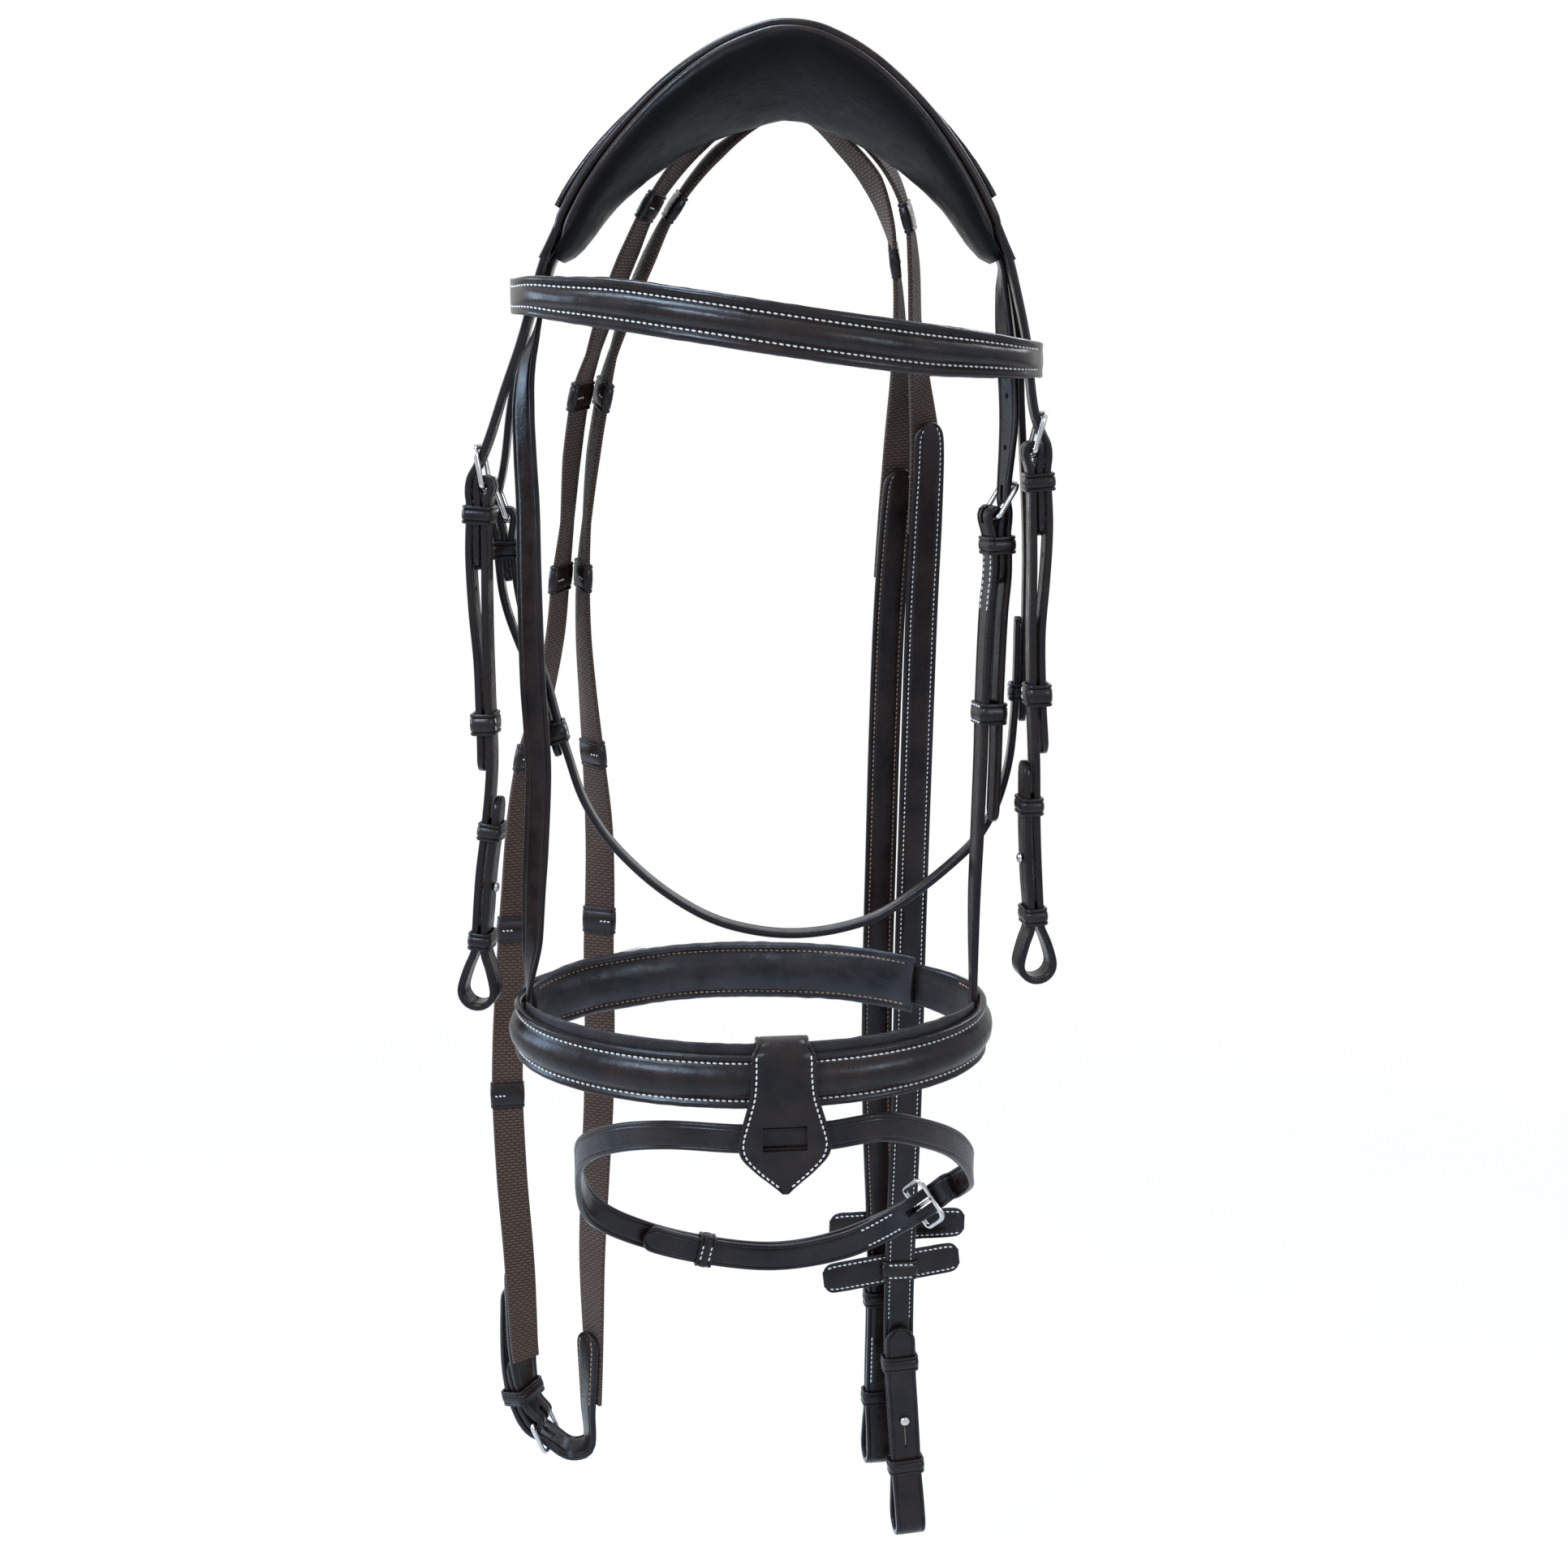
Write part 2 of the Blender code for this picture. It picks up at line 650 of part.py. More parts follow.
# The browband, from the end behind its left loop to the end behind its right loop.
BROW_SHARES = [
    (-0.345, -0.392, 0.109, 0.0), (-0.368, -0.322, 0.108, 0.0), (-0.379, -0.200, 0.107, 0.0),
    (-0.3810, -0.070, 0.107, 0.0), (-0.3810, 0.110, 0.107, 0.0), (-0.392, 0.163, 0.107, 0.0),
    (-0.417, 0.181, 0.107, 0.0), (-0.440, 0.163, 0.107, 0.0), (-0.4500, 0.110, 0.107, 0.0),
    (-0.4500, -0.090, 0.107, 0.0), (-0.440, -0.220, 0.108, 0.0), (-0.409, -0.345, 0.108, 0.0),
    (-0.357, -0.436, 0.110, 0.0), (-0.270, -0.550, 0.113, 0.0), (-0.150, -0.662, 0.119, 0.0),
    (-0.020, -0.704, 0.126, 0.0), (0.100, -0.662, 0.132, 0.0), (0.213, -0.556, 0.137, 0.0),
    (0.307, -0.438, 0.140, 0.0), (0.361, -0.345, 0.142, 0.0), (0.395, -0.220, 0.143, 0.0),
    (0.4030, -0.090, 0.144, 0.0), (0.4030, 0.110, 0.144, 0.0), (0.395, 0.166, 0.144, 0.0),
    (0.373, 0.184, 0.144, 0.0), (0.342, 0.166, 0.144, 0.0), (0.334, 0.110, 0.144, 0.0),
    (0.334, -0.070, 0.144, 0.0), (0.330, -0.200, 0.143, 0.0), (0.314, -0.310, 0.142, 0.0),
    (0.283, -0.392, 0.141, 0.0),
]
BROW_END = 0.0165
BROW_MIDDLE = 0.0235
BROW_RISE = 0.0042
BROW_FRONT_LEFT = 10
BROW_FRONT_RIGHT = 20
BROW_MIDDLE_INDEX = 15
BROW_PAD = 0.0060

# The throatlatch.
THROAT_LEFT_SHARES = [
    (-0.440, 0.080, 0.130, 0.0), (-0.460, 0.100, 0.165, 0.0), (-0.470, 0.118, 0.200, 0.0),
    (-0.4745, 0.125, 0.225, 0.0), (-0.4735, 0.125, 0.245, 0.0), (-0.470, 0.125, 0.264, 0.0),
    (-0.461, 0.125, 0.288, 0.0), (-0.444, 0.125, 0.311, 0.0), (-0.422, 0.125, 0.332, 0.0),
    (-0.401, 0.125, 0.361, 0.0), (-0.385, 0.125, 0.381, 0.0), (-0.361, 0.125, 0.407, 0.0),
    (-0.324, 0.125, 0.430, 0.0), (-0.268, 0.125, 0.452, 0.0), (-0.205, 0.125, 0.470, 0.0),
    (-0.134, 0.125, 0.484, 0.0), (-0.063, 0.125, 0.491, 0.0), (0.008, 0.125, 0.493, 0.0),
    (0.079, 0.125, 0.490, 0.0), (0.150, 0.125, 0.482, 0.0), (0.220, 0.125, 0.466, 0.0),
    (0.275, 0.125, 0.450, 0.0), (0.318, 0.125, 0.435, 0.0), (0.345, 0.125, 0.420, 0.0),
    (0.362, 0.125, 0.405, 0.0), (0.377, 0.125, 0.383, 0.0), (0.384, 0.125, 0.356, 0.0),
    (0.387, 0.125, 0.330, 0.0), (0.3875, 0.125, 0.296, 0.0),
]
THROAT_RIGHT_SHARES = [
    (0.3775, 0.080, 0.130, 0.0), (0.385, 0.105, 0.170, 0.0), (0.393, 0.122, 0.210, 0.0),
    (0.399, 0.125, 0.250, 0.0), (0.400, 0.125, 0.300, 0.0), (0.3985, 0.125, 0.345, 0.0),
    (0.396, 0.125, 0.375, 0.0),
]
THROAT_BAR_SHARE = 0.2360
THROAT_FALL = {"bar": 0.0, "keeper": 0.0165, "runner": 0.0940, "billet": 0.0120}
THROAT_LAP_SHARE = 0.3153
THROAT_LAP_FALL = {"lap_end": 0.0, "lap": 0.0225, "root_end": 0.0155}
THROAT_DROPS = {**falling(THROAT_BAR_SHARE * DROP, THROAT_FALL),
                **falling(THROAT_LAP_SHARE * DROP, THROAT_LAP_FALL)}

# The noseband: an oval seen from above, with its lowest place at the front.
NOSE_MIDDLE_SHARES = (-0.070, 0.0)
NOSE_ACROSS = 0.120
NOSE_ALONG = 0.076
NOSE_DROP_SHARE = 0.5424
NOSE_DROP = NOSE_DROP_SHARE * DROP
NOSE_TILT = 0.0085
NOSE_FRONT = 0.0275
NOSE_SIDE = 0.0260
NOSE_LINING = 0.0326
NOSE_LINING_ASIDE = -0.0020
NOSE_RISE = 0.0040
NOSE_PLACES = 24
NOSE_PAD = 0.0062
CHIN_PAD_HEIGHT = 0.031
CHIN_PAD = 0.0090
CHIN_DIP = 0.016
LAPS = 2

# The flash strap, round from the left by the front.
FLASH_SHARES = [
    (-0.371, -0.062, 0.633, 0.0), (-0.352, -0.190, 0.612, 0.0), (-0.293, -0.330, 0.596, 0.0),
    (-0.205, -0.452, 0.586, 0.0), (0.150, -0.440, 0.582, 0.0), (0.211, -0.345, 0.591, 0.0),
    (0.285, -0.150, 0.613, 0.0), (0.316, 0.025, 0.640, 0.0), (0.291, 0.135, 0.6575, 0.0),
    (0.213, 0.237, 0.6835, 0.0), (0.098, 0.305, 0.708, 0.0), (-0.021, 0.325, 0.718, 0.0),
    (-0.141, 0.312, 0.714, 0.0), (-0.273, 0.250, 0.698, 0.0), (-0.355, 0.125, 0.673, 0.0),
]
FLASH_BAR_SHARE = 0.80
FLASH_FRONT_INDEX = 4
FLASH_FRONT_REACH = 0.022
FLASH_FRONT_OUT = 0.0042
FLASH_FRONT_STEPS = (-1.0, -0.5, 0.0, 0.5, 1.0)
FLASH_BUCKLE_ROOM = 0.0034
FLASH_FRONT_DROP = 0.0273
FLASH_BAR_INDEX = 8
FLASH_CHAPE = 0.026
FLASH_TAIL = 0.166
FLASH_KEEPER = 0.128
TAB_ANGLE = 8.1
TAB_LEATHER = 0.0025
TAB_TOP = 0.026
TAB_WIDE = 0.038
TAB_ROWS = [
    (0.0085, 0.0550, 0.0030), (0.0085, 0.0500, 0.0130), (0.0084, 0.0430, 0.0280),
    (0.0082, 0.0350, 0.0400), (0.0081, 0.0290, 0.0420), (0.0080, 0.0190, 0.0370),
    (0.0077, 0.0060, 0.0300), (0.0076, -0.0060, 0.0280), (0.0070, -0.0150, 0.0275),
    (0.0035, -0.0193, 0.0260), (-0.0030, -0.0204, 0.0260), (-0.0088, -0.0186, 0.0260),
    (-0.0106, -0.0120, 0.0260), (-0.0106, 0.0100, 0.0260), (-0.0080, 0.0176, 0.0255),
    (-0.0026, 0.0203, 0.0250), (-0.0004, 0.0228, 0.0245), (0.0006, 0.0280, 0.0245),
    (0.0006, 0.0345, 0.0240),
]
WINDOW = (0.0195, 0.0350, 0.0220)
WINDOW_OUT = 0.0105
WINDOW_DEPTH = 0.0090

# The reins: the outer one and the inner one, from the buckle that joins them.
REIN_OUTER_SHARES = [
    (-0.4330, 0.675, 0.8825, -18.0), (-0.4606, 0.675, 0.8715, -18.0),
    (-0.4860, 0.675, 0.8610, -20.0), (-0.5060, 0.675, 0.8495, -28.0),
    (-0.5175, 0.675, 0.8320, -42.0), (-0.5225, 0.675, 0.8120, -54.0),
    (-0.5235, 0.675, 0.7850, -64.0), (-0.525, 0.675, 0.747, -75.0),
    (-0.534, 0.675, 0.689, -80.0), (-0.539, 0.675, 0.629, -80.0),
    (-0.536, 0.669, 0.592, -78.0), (-0.528, 0.662, 0.547, -75.0),
    (-0.519, 0.650, 0.500, -66.0), (-0.506, 0.628, 0.435, -50.0),
    (-0.491, 0.605, 0.397, -38.0), (-0.460, 0.575, 0.356, -26.0),
    (-0.436, 0.537, 0.316, -26.0), (-0.423, 0.500, 0.279, -24.0),
    (-0.409, 0.469, 0.243, -14.0), (-0.396, 0.438, 0.202, -24.0),
    (-0.376, 0.403, 0.162, -24.0), (-0.353, 0.366, 0.138, -14.0),
    (-0.324, 0.327, 0.111, -24.0), (-0.286, 0.285, 0.080, -24.0),
    (-0.243, 0.260, 0.049, -14.0), (-0.160, 0.250, 0.014, -22.0), (-0.068, 0.245, -0.008, -8.0),
    (0.0, 0.245, -0.0135, 0.0), (0.055, 0.245, -0.008, 8.0), (0.118, 0.245, 0.008, 22.0),
    (0.178, 0.245, 0.032, 20.0), (0.210, 0.250, 0.060, 10.0), (0.221, 0.280, 0.087, 18.0),
    (0.226, 0.333, 0.123, 20.0), (0.234, 0.394, 0.157, 38.0), (0.242, 0.438, 0.195, 62.0),
    (0.240, 0.475, 0.243, 76.0), (0.235, 0.512, 0.300, 80.0), (0.231, 0.562, 0.380, 80.0),
    (0.227, 0.600, 0.461, 80.0), (0.224, 0.630, 0.530, 80.0), (0.222, 0.650, 0.602, 80.0),
    (0.219, 0.662, 0.660, 80.0), (0.214, 0.675, 0.718, 80.0), (0.210, 0.675, 0.777, 80.0),
    (0.211, 0.675, 0.821, 80.0), (0.218, 0.675, 0.860, 80.0), (0.225, 0.675, 0.900, 80.0),
    (0.232, 0.675, 0.955, 80.0),
]
REIN_INNER_SHARES = [
    (-0.3945, 0.675, 0.8560, 26.0), (-0.3940, 0.675, 0.8320, 34.0),
    (-0.3930, 0.675, 0.7970, 46.0), (-0.390, 0.675, 0.747, 60.0),
    (-0.379, 0.675, 0.689, 72.0),
    (-0.368, 0.672, 0.632, 79.0), (-0.364, 0.668, 0.580, 80.0),
    (-0.364, 0.660, 0.530, 78.0), (-0.361, 0.650, 0.490, 72.0),
    (-0.362, 0.625, 0.446, 62.0), (-0.372, 0.597, 0.399, 44.0),
    (-0.381, 0.570, 0.356, 34.0), (-0.386, 0.531, 0.316, 28.0),
    (-0.384, 0.500, 0.279, 24.0), (-0.375, 0.469, 0.243, 14.0),
    (-0.360, 0.438, 0.202, 24.0), (-0.338, 0.403, 0.162, 24.0),
    (-0.319, 0.366, 0.138, 14.0), (-0.290, 0.327, 0.111, 24.0),
    (-0.253, 0.287, 0.082, 24.0), (-0.208, 0.260, 0.052, 14.0), (-0.132, 0.250, 0.020, 22.0),
    (-0.058, 0.245, 0.002, 8.0), (0.0, 0.245, -0.0035, 0.0), (0.044, 0.248, 0.001, -8.0),
    (0.095, 0.250, 0.016, -24.0), (0.146, 0.255, 0.038, -30.0), (0.177, 0.265, 0.064, -12.0),
    (0.193, 0.302, 0.093, 10.0), (0.200, 0.360, 0.125, 20.0), (0.202, 0.436, 0.160, 38.0),
    (0.196, 0.500, 0.203, 62.0), (0.187, 0.552, 0.250, 76.0), (0.179, 0.600, 0.304, 80.0),
    (0.173, 0.650, 0.382, 80.0), (0.169, 0.688, 0.465, 80.0), (0.166, 0.715, 0.530, 80.0),
    (0.165, 0.738, 0.607, 80.0), (0.169, 0.752, 0.665, 80.0), (0.176, 0.762, 0.724, 80.0),
    (0.180, 0.765, 0.784, 80.0), (0.178, 0.765, 0.843, 80.0), (0.176, 0.765, 0.910, 80.0),
]
REIN_BUCKLE_INDEX = 2
REIN_CHAPE = 0.030
# The inner rein past the buckle, as shares of the frame's length and heights.
REIN_TURN = ((1.25, 0.0042), (1.52, 0.0016), (1.70, -0.0042), (1.69, -0.0110))
REIN_TAB = 0.088
TAB_OUT = -2 * GAP
REIN_LAP = 0.050
REIN_KEEPER = 0.0165
REIN_INNER_REACH = 0.078
REIN_TAIL = 0.080
WEB_OUT = -(LEATHER + WEB) / 2 - 4 * GAP
STOP_LENGTH = 0.013
STOP_RAMP = 0.0020
STOP_WIDTH = 0.0192
STOP_THICKNESS = 0.0052
OUTER_STOP_SHARES = {"left": (0.0518, 0.1647, 0.2788, 0.3965, 0.5141, 0.6294), "right": (0.0588,)}
INNER_STOP_SHARES = {"left": (0.0518, 0.1647, 0.2788, 0.3965, 0.5106), "right": (0.0847,)}
OUTER_STRAP_SHARE = 0.1824
OUTER_FALL = {"strap": 0.0, "web": 0.0600}
OUTER_RISE = {"loop": 0.01675, "lower": 0.0330, "stud": 0.0290, "upper": 0.0350, "tip": 0.0220,
              "stop": 0.0340}
INNER_STRAP_SHARE = 0.2118
INNER_FALL = {"strap": 0.0, "web": 0.0600}
INNER_RISE = {"loop": 0.0140, "lower": 0.0315, "stud": 0.0270, "upper": 0.0350, "tip": 0.0220,
              "stop": 0.0215}
OUTER_DROPS = {**falling(OUTER_STRAP_SHARE * DROP, OUTER_FALL),
               **rising(REIN_OUTER_SHARES, OUTER_RISE)}
INNER_DROPS = {**falling(INNER_STRAP_SHARE * DROP, INNER_FALL),
               **rising(REIN_INNER_SHARES, INNER_RISE)}
# The side of each rein that its returned end lies on: 1 over the face, -1 under the back.
RETURN_SIDE = {"outer": 1, "inner": -1}
MARTINGALE_LENGTH = 0.081
MARTINGALE_HEIGHT = 0.018
# The lean of each martingale stop in degrees, and how far it lies to the right of its rein.
MARTINGALE_TURN = {"outer": 8.0, "inner": -3.0}
MARTINGALE_ASIDE = {"outer": -0.004, "inner": 0.0105}


def stop_ramps(middle):
    """Stations of one leather stop sewn round a web, as lengths, widths and thicknesses."""
    half = STOP_LENGTH / 2
    return [(middle - half - STOP_RAMP, REIN_WIDTH, WEB), (middle - half, STOP_WIDTH,
            STOP_THICKNESS), (middle + half, STOP_WIDTH, STOP_THICKNESS),
            (middle + half + STOP_RAMP, REIN_WIDTH, WEB)]


def web_stations(start, end, stops):
    """Stations of a web with its leather stops."""
    rows = []
    here = start
    for middle in sorted(stops):
        ramps = stop_ramps(middle)
        rows += run(here, ramps[0][0], WEB_OUT, REIN_WIDTH, WEB)[1 if rows else 0:-1]
        for along, width, thickness in ramps:
            rows.append((along, WEB_OUT, width, thickness, 0.0))
        here = ramps[-1][0]
    rows += run(here, end, WEB_OUT, REIN_WIDTH, WEB)[1:]
    return rows


def at_drops(route, drops, after=0.0):
    """Lengths along a route for a table of drops, counted past a length."""
    found = {}
    for key, drop in drops.items():
        found[key] = crossing(route, drop, after)
    return found


def crossing(route, drop, after=0.0, before=None):
    """The length at which a route goes past a height, between two lengths."""
    end = route.length if before is None else before
    for index in range(len(route.points) - 1):
        if route.lengths[index] < after or route.lengths[index + 1] > end:
            continue
        first = route.points[index].z + drop
        second = route.points[index + 1].z + drop
        if first * second <= 0.0 and first != second:
            share = first / (first - second)
            return route.lengths[index] + share * (route.lengths[index + 1]
                                                   - route.lengths[index])
    return end


def bit_loop(marks, width, side=-1):
    """Stations from a lower keeper, round the loop for a ring, and back up to the strap's tip.

    The returned end lies over the face for side 1 and under the back for side -1.
    """
    back = side * RETURN_OUT
    start = marks["lower"] + 0.6 * KEEPER_LENGTH
    flare = start + 0.45 * (marks["loop"] - start)
    rise = 0.55 * side * (LOOP_RADIUS - RETURN_OUT / 2)
    rows = [(start, 0.0, width, LEATHER, 0.0), (flare, -rise, width, LEATHER, 0.0)]
    rows += bend(marks["loop"], back / 2, LOOP_RADIUS, -side * 90.0, side * 90.0, width, LEATHER,
                 LOOP_STEPS)
    rows.append((flare, back + rise, width, LEATHER, 0.0))
    rows += run(start, marks["tip"] + width / 2, back, width)
    rows += tip(marks["tip"] + width / 2, back, width, LEATHER, -1.0)[1:]
    return rows


def stud(name, route, along, home, side=-1):
    """A hook stud whose neck comes through the returned end of a strap."""
    centre, ahead, face, across = route.frame(along)
    base = LEATHER / 2 + GAP
    seat = RETURN_OUT + LEATHER / 2 + GAP
    rings = []
    for radius, out in ((STUD_NECK, base), (STUD_NECK, seat), (STUD_HEAD, seat + GAP),
                        (STUD_HEAD, seat + 0.4 * STUD_DOME), (0.6 * STUD_HEAD,
                                                             seat + STUD_DOME)):
        rings.append([centre + side * out * face
                      + radius * (math.cos(math.tau * step / 8) * ahead
                                  + math.sin(math.tau * step / 8) * across)
                      for step in range(8)])
    return loft(name, rings, "steel", home)


def stud_hole(route, along, cutters, side=-1):
    """The cutter for a stud's hole in the returned end of a strap."""
    face = route.frame(along)[2]
    return cutter_pin(route.place(along, side * RETURN_OUT), face, STUD_NECK + 2 * GAP,
                      2 * LEATHER, cutters)


def build_cheek(side, route, drops, home, cutters):
    """One cheekpiece: strap, buckle, tongue, keepers, runner and hook stud."""
    marks = at_drops(route, drops)
    rows = folded_end(marks["bar"], CHAPE, CHEEK_WIDTH)
    rows += run(marks["bar"] + FOLD_REACH, marks["lower"], 0.0, CHEEK_WIDTH)[1:]
    rows += bit_loop(marks, CHEEK_WIDTH)
    made = strap("cheek_strap_" + side, route, rows, "leather", home)
    combine(made, [slot_for_fold(route, marks["bar"], cutters),
                   stud_hole(route, marks["stud"], cutters)], "DIFFERENCE")
    buckle_frame("cheek_buckle_" + side, route, marks["bar"], CHEEK_WIDTH, home)
    buckle_tongue("cheek_tongue_" + side, route, marks["bar"], home)
    keeper("cheek_keeper_" + side, route, marks["keeper"], 0.0, BILLET_OUT, CHEEK_WIDTH, home)
    keeper("cheek_runner_" + side, route, marks["runner"], 0.0, RUNNER_OUT, CHEEK_WIDTH, home,
           RUNNER_LENGTH)
    keeper("bit_keeper_upper_" + side, route, marks["upper"], 0.0, -RETURN_OUT, CHEEK_WIDTH, home)
    keeper("bit_keeper_lower_" + side, route, marks["lower"], 0.0, -RETURN_OUT, CHEEK_WIDTH, home)
    stud("bit_stud_" + side, route, marks["stud"], home)


def billet_places(route, bar, end, side=1, fall=None, step=STEP):
    """Heights along a route for a billet through its buckle and on to its tip."""
    rows = billet_at(bar, side, 0.6 * FRAME_LENGTH)
    last = rows[-1][0]
    count = max(1, round((end - last) / step))
    for index in range(1, count + 1):
        along = last + (end - last) * index / count
        out = side * BILLET_OUT
        if fall is not None and along > fall[0]:
            share = min((along - fall[0]) / BILLET_FALL, 1.0)
            out += share * (fall[1] - out)
        rows.append((along, out))
    return rows


def side_route(crown, start, inward, aside, rows, across):
    """A route from inside one end of the crown down one side of the bridle."""
    first = crown.place(start + inward * ROOT_IN, 0.0, aside)
    second = crown.place(start + inward * ROOT_OUT, 0.0, aside)
    places = [first, second] + [spot(row) for row in rows]
    turns = [0.0, 0.0] + [row[3] for row in rows]
    return Route(places, turns, across)


def billet(name, route, drops, width, home):
    """A billet of the headpiece, from inside the crown, through its buckle, to its tip."""
    bar = crossing(route, drops["bar"])
    end = crossing(route, drops["billet"])
    rows = [(0.0, 0.0)]
    lead = bar - 1.6 * FRAME_LENGTH
    count = max(2, round(lead / STEP))
    for index in range(1, count):
        along = lead * index / count
        share = max(0.0, (along - 0.4 * lead) / (0.6 * lead))
        rows.append((along, share * 0.72 * BILLET_AT_FRAME))
    clear = bar + CHAPE + width / 2 + CHAPE_CLEAR
    rows += billet_places(route, bar, end - width / 2, 1, (clear, BILLET_LOW))
    stations = [(along, out, width, LEATHER, 0.0) for along, out in rows]
    stations += tip(rows[-1][0], rows[-1][1], width)[1:]
    return strap(name, route, stations, "leather", home)


def build_headpiece(crown, sides, home, cutters):
    """The crown with its four billets in one piece, and its pad and cover."""
    length = crown.length
    rows = []
    for index in range(CROWN_STATIONS + 1):
        share = index / CROWN_STATIONS
        swell = math.sin(math.pi * share) ** 1.5
        width = CROWN_END + (CROWN_MIDDLE - CROWN_END) * swell
        rows.append((share * length, 0.0, width, CROWN_LEATHER, 0.0))
    made = strap("headpiece", crown, rows, "leather", home, crown_section)
    billets = []
    for side, route, drops in sides:
        part = billet("billet", route, drops, CHEEK_WIDTH, cutters)
        combine(part, [slot_for_billet(route, crossing(route, drops["bar"]), cutters)],
                "DIFFERENCE")
        billets.append(part)
    return made, billets


def build():
    """Make every piece."""
    empty_scene()
    home = new_collection("horse_bridle")
    cutters = new_collection("cutters")
    bpy.context.view_layer.update()

    crown = route_from(CROWN_ROWS_SHARES, FRONT)
    cheek_left = side_route(crown, 0.0, 1, CHEEK_ASIDE, CHEEK_LEFT_SHARES, BACK)
    cheek_right = side_route(crown, crown.length, -1, CHEEK_ASIDE, CHEEK_RIGHT_SHARES, FRONT)
    throat = side_route(crown, 0.0, 1, THROAT_ASIDE, THROAT_LEFT_SHARES, BACK)
    throat_right = side_route(crown, crown.length, -1, THROAT_ASIDE, THROAT_RIGHT_SHARES, FRONT)

    # The crown and its billets.
    sides = [("left", cheek_left, CHEEK_LEFT_DROPS), ("right", cheek_right, CHEEK_RIGHT_DROPS)]
    headpiece, billets = build_headpiece(crown, sides, home, cutters)
    throat_bar = crossing(throat, THROAT_DROPS["bar"])
    part = billet("billet", throat, THROAT_DROPS, THROAT_WIDTH, cutters)
    combine(part, [slot_for_billet(throat, throat_bar, cutters)], "DIFFERENCE")
    billets.append(part)
    root_end = crossing(throat_right, THROAT_DROPS["root_end"])
    rows = run(0.0, root_end - THROAT_WIDTH / 2, 0.0, THROAT_WIDTH)
    rows += tip(root_end - THROAT_WIDTH / 2, 0.0, THROAT_WIDTH)[1:]
    billets.append(strap("billet", throat_right, rows, "leather", cutters))
    combine(headpiece, billets, "UNION")

    length = crown.length
    rows = []
    for index in range(CROWN_STATIONS + 1):
        share = min(max(index / CROWN_STATIONS, 0.012), 0.988)
        swell = math.sin(math.pi * share) ** 1.3
        ends = min(1.0, 0.62 + 3.2 * min(index, CROWN_STATIONS - index) / CROWN_STATIONS)
        rows.append((share * length, -CROWN_LEATHER / 2 - 5 * GAP,
                     (PAD_END + (PAD_MIDDLE - PAD_END) * swell) * (0.55 + 0.45 * ends),
                     PAD_THICKNESS * (0.55 + 0.45 * swell) * ends, GROOVE))
    strap("poll_pad", crown, rows, "padding", home, grooved_section)
    cover_out = (CROWN_LEATHER + THIN_LEATHER) / 2 + 4 * GAP
    rows = [(length * min(max(index / CROWN_STATIONS, COVER_START), COVER_END), cover_out,
             COVER_WIDTH, THIN_LEATHER, COVER_RISE) for index in range(1, CROWN_STATIONS)]
    strap("headpiece_cover", crown, rows, "leather", home, raised_section)

    # The cheekpieces.
    for side, route, drops in sides:
        build_cheek(side, route, drops, home, cutters)

    # The throatlatch.
    marks = at_drops(throat, {key: THROAT_DROPS[key] for key in ("bar", "keeper", "runner")})
    rows = folded_end(marks["bar"], 0.8 * CHAPE, THROAT_WIDTH)
    rows += run(marks["bar"] + FOLD_REACH, throat.length - THROAT_WIDTH / 2, 0.0,
                THROAT_WIDTH)[1:]
    rows += tip(throat.length - THROAT_WIDTH / 2, 0.0, THROAT_WIDTH)[1:]
    made = strap("throatlatch_strap", throat, rows, "leather", home)
    combine(made, [slot_for_fold(throat, marks["bar"], cutters)], "DIFFERENCE")
    buckle_frame("throatlatch_buckle", throat, marks["bar"], THROAT_WIDTH, home)
    buckle_tongue("throatlatch_tongue", throat, marks["bar"], home)
    keeper("throatlatch_keeper", throat, marks["keeper"], 0.0, BILLET_OUT, THROAT_WIDTH, home)
    keeper("throatlatch_runner", throat, marks["runner"], 0.0, RUNNER_OUT, THROAT_WIDTH, home,
           RUNNER_LENGTH)
    lap = crossing(throat_right, THROAT_DROPS["lap"])
    keeper("throatlatch_lap_keeper", throat_right, lap, -PITCH, 0.0, THROAT_WIDTH, home)

    # The strap that carries the noseband, and its right hanger.
    hanger = route_from(HANGER_RIGHT_SHARES, FRONT)
    marks = at_drops(hanger, HANGER_DROPS)
    bar = marks["bar"]
    places = [spot(row) for row in SLIP_LEFT_SHARES]
    turns = [row[3] for row in SLIP_LEFT_SHARES]
    for index in range(CROWN_STATIONS + 1):
        along = length * index / CROWN_STATIONS
        places.append(crown.place(along, -SLIP_UNDER))
        position, share = crown.find(along)
        turns.append(crown.turns[position])
    for row in SLIP_RIGHT_SHARES:
        places.append(spot(row))
        turns.append(row[3])
    for along, out in billet_places(hanger, bar, marks["tip"], 1,
                                    (bar + 1.3 * CHAPE, BILLET_OUT), FINE_STEP)[1:]:
        places.append(hanger.place(along, out))
        position, share = hanger.find(along)
        turns.append(hanger.turns[position])
    slip = Route(places, turns, FRONT)
    rows = run(0.0, slip.length - SLIP_WIDTH / 2, 0.0, SLIP_WIDTH, THIN_LEATHER)
    rows += tip(slip.length - SLIP_WIDTH / 2, 0.0, SLIP_WIDTH, THIN_LEATHER)[1:]
    made = strap("sliphead", slip, rows, "leather", home)
    combine(made, [slot_for_billet(hanger, bar, cutters)], "DIFFERENCE")
    rows = folded_end(bar, 0.8 * CHAPE, SLIP_WIDTH)
    rows += run(bar + FOLD_REACH, hanger.length, 0.0, SLIP_WIDTH)[1:]
    made = strap("hanger_strap", hanger, rows, "leather", home)
    combine(made, [slot_for_fold(hanger, bar, cutters)], "DIFFERENCE")
    buckle_frame("hanger_buckle", hanger, bar, SLIP_WIDTH, home)
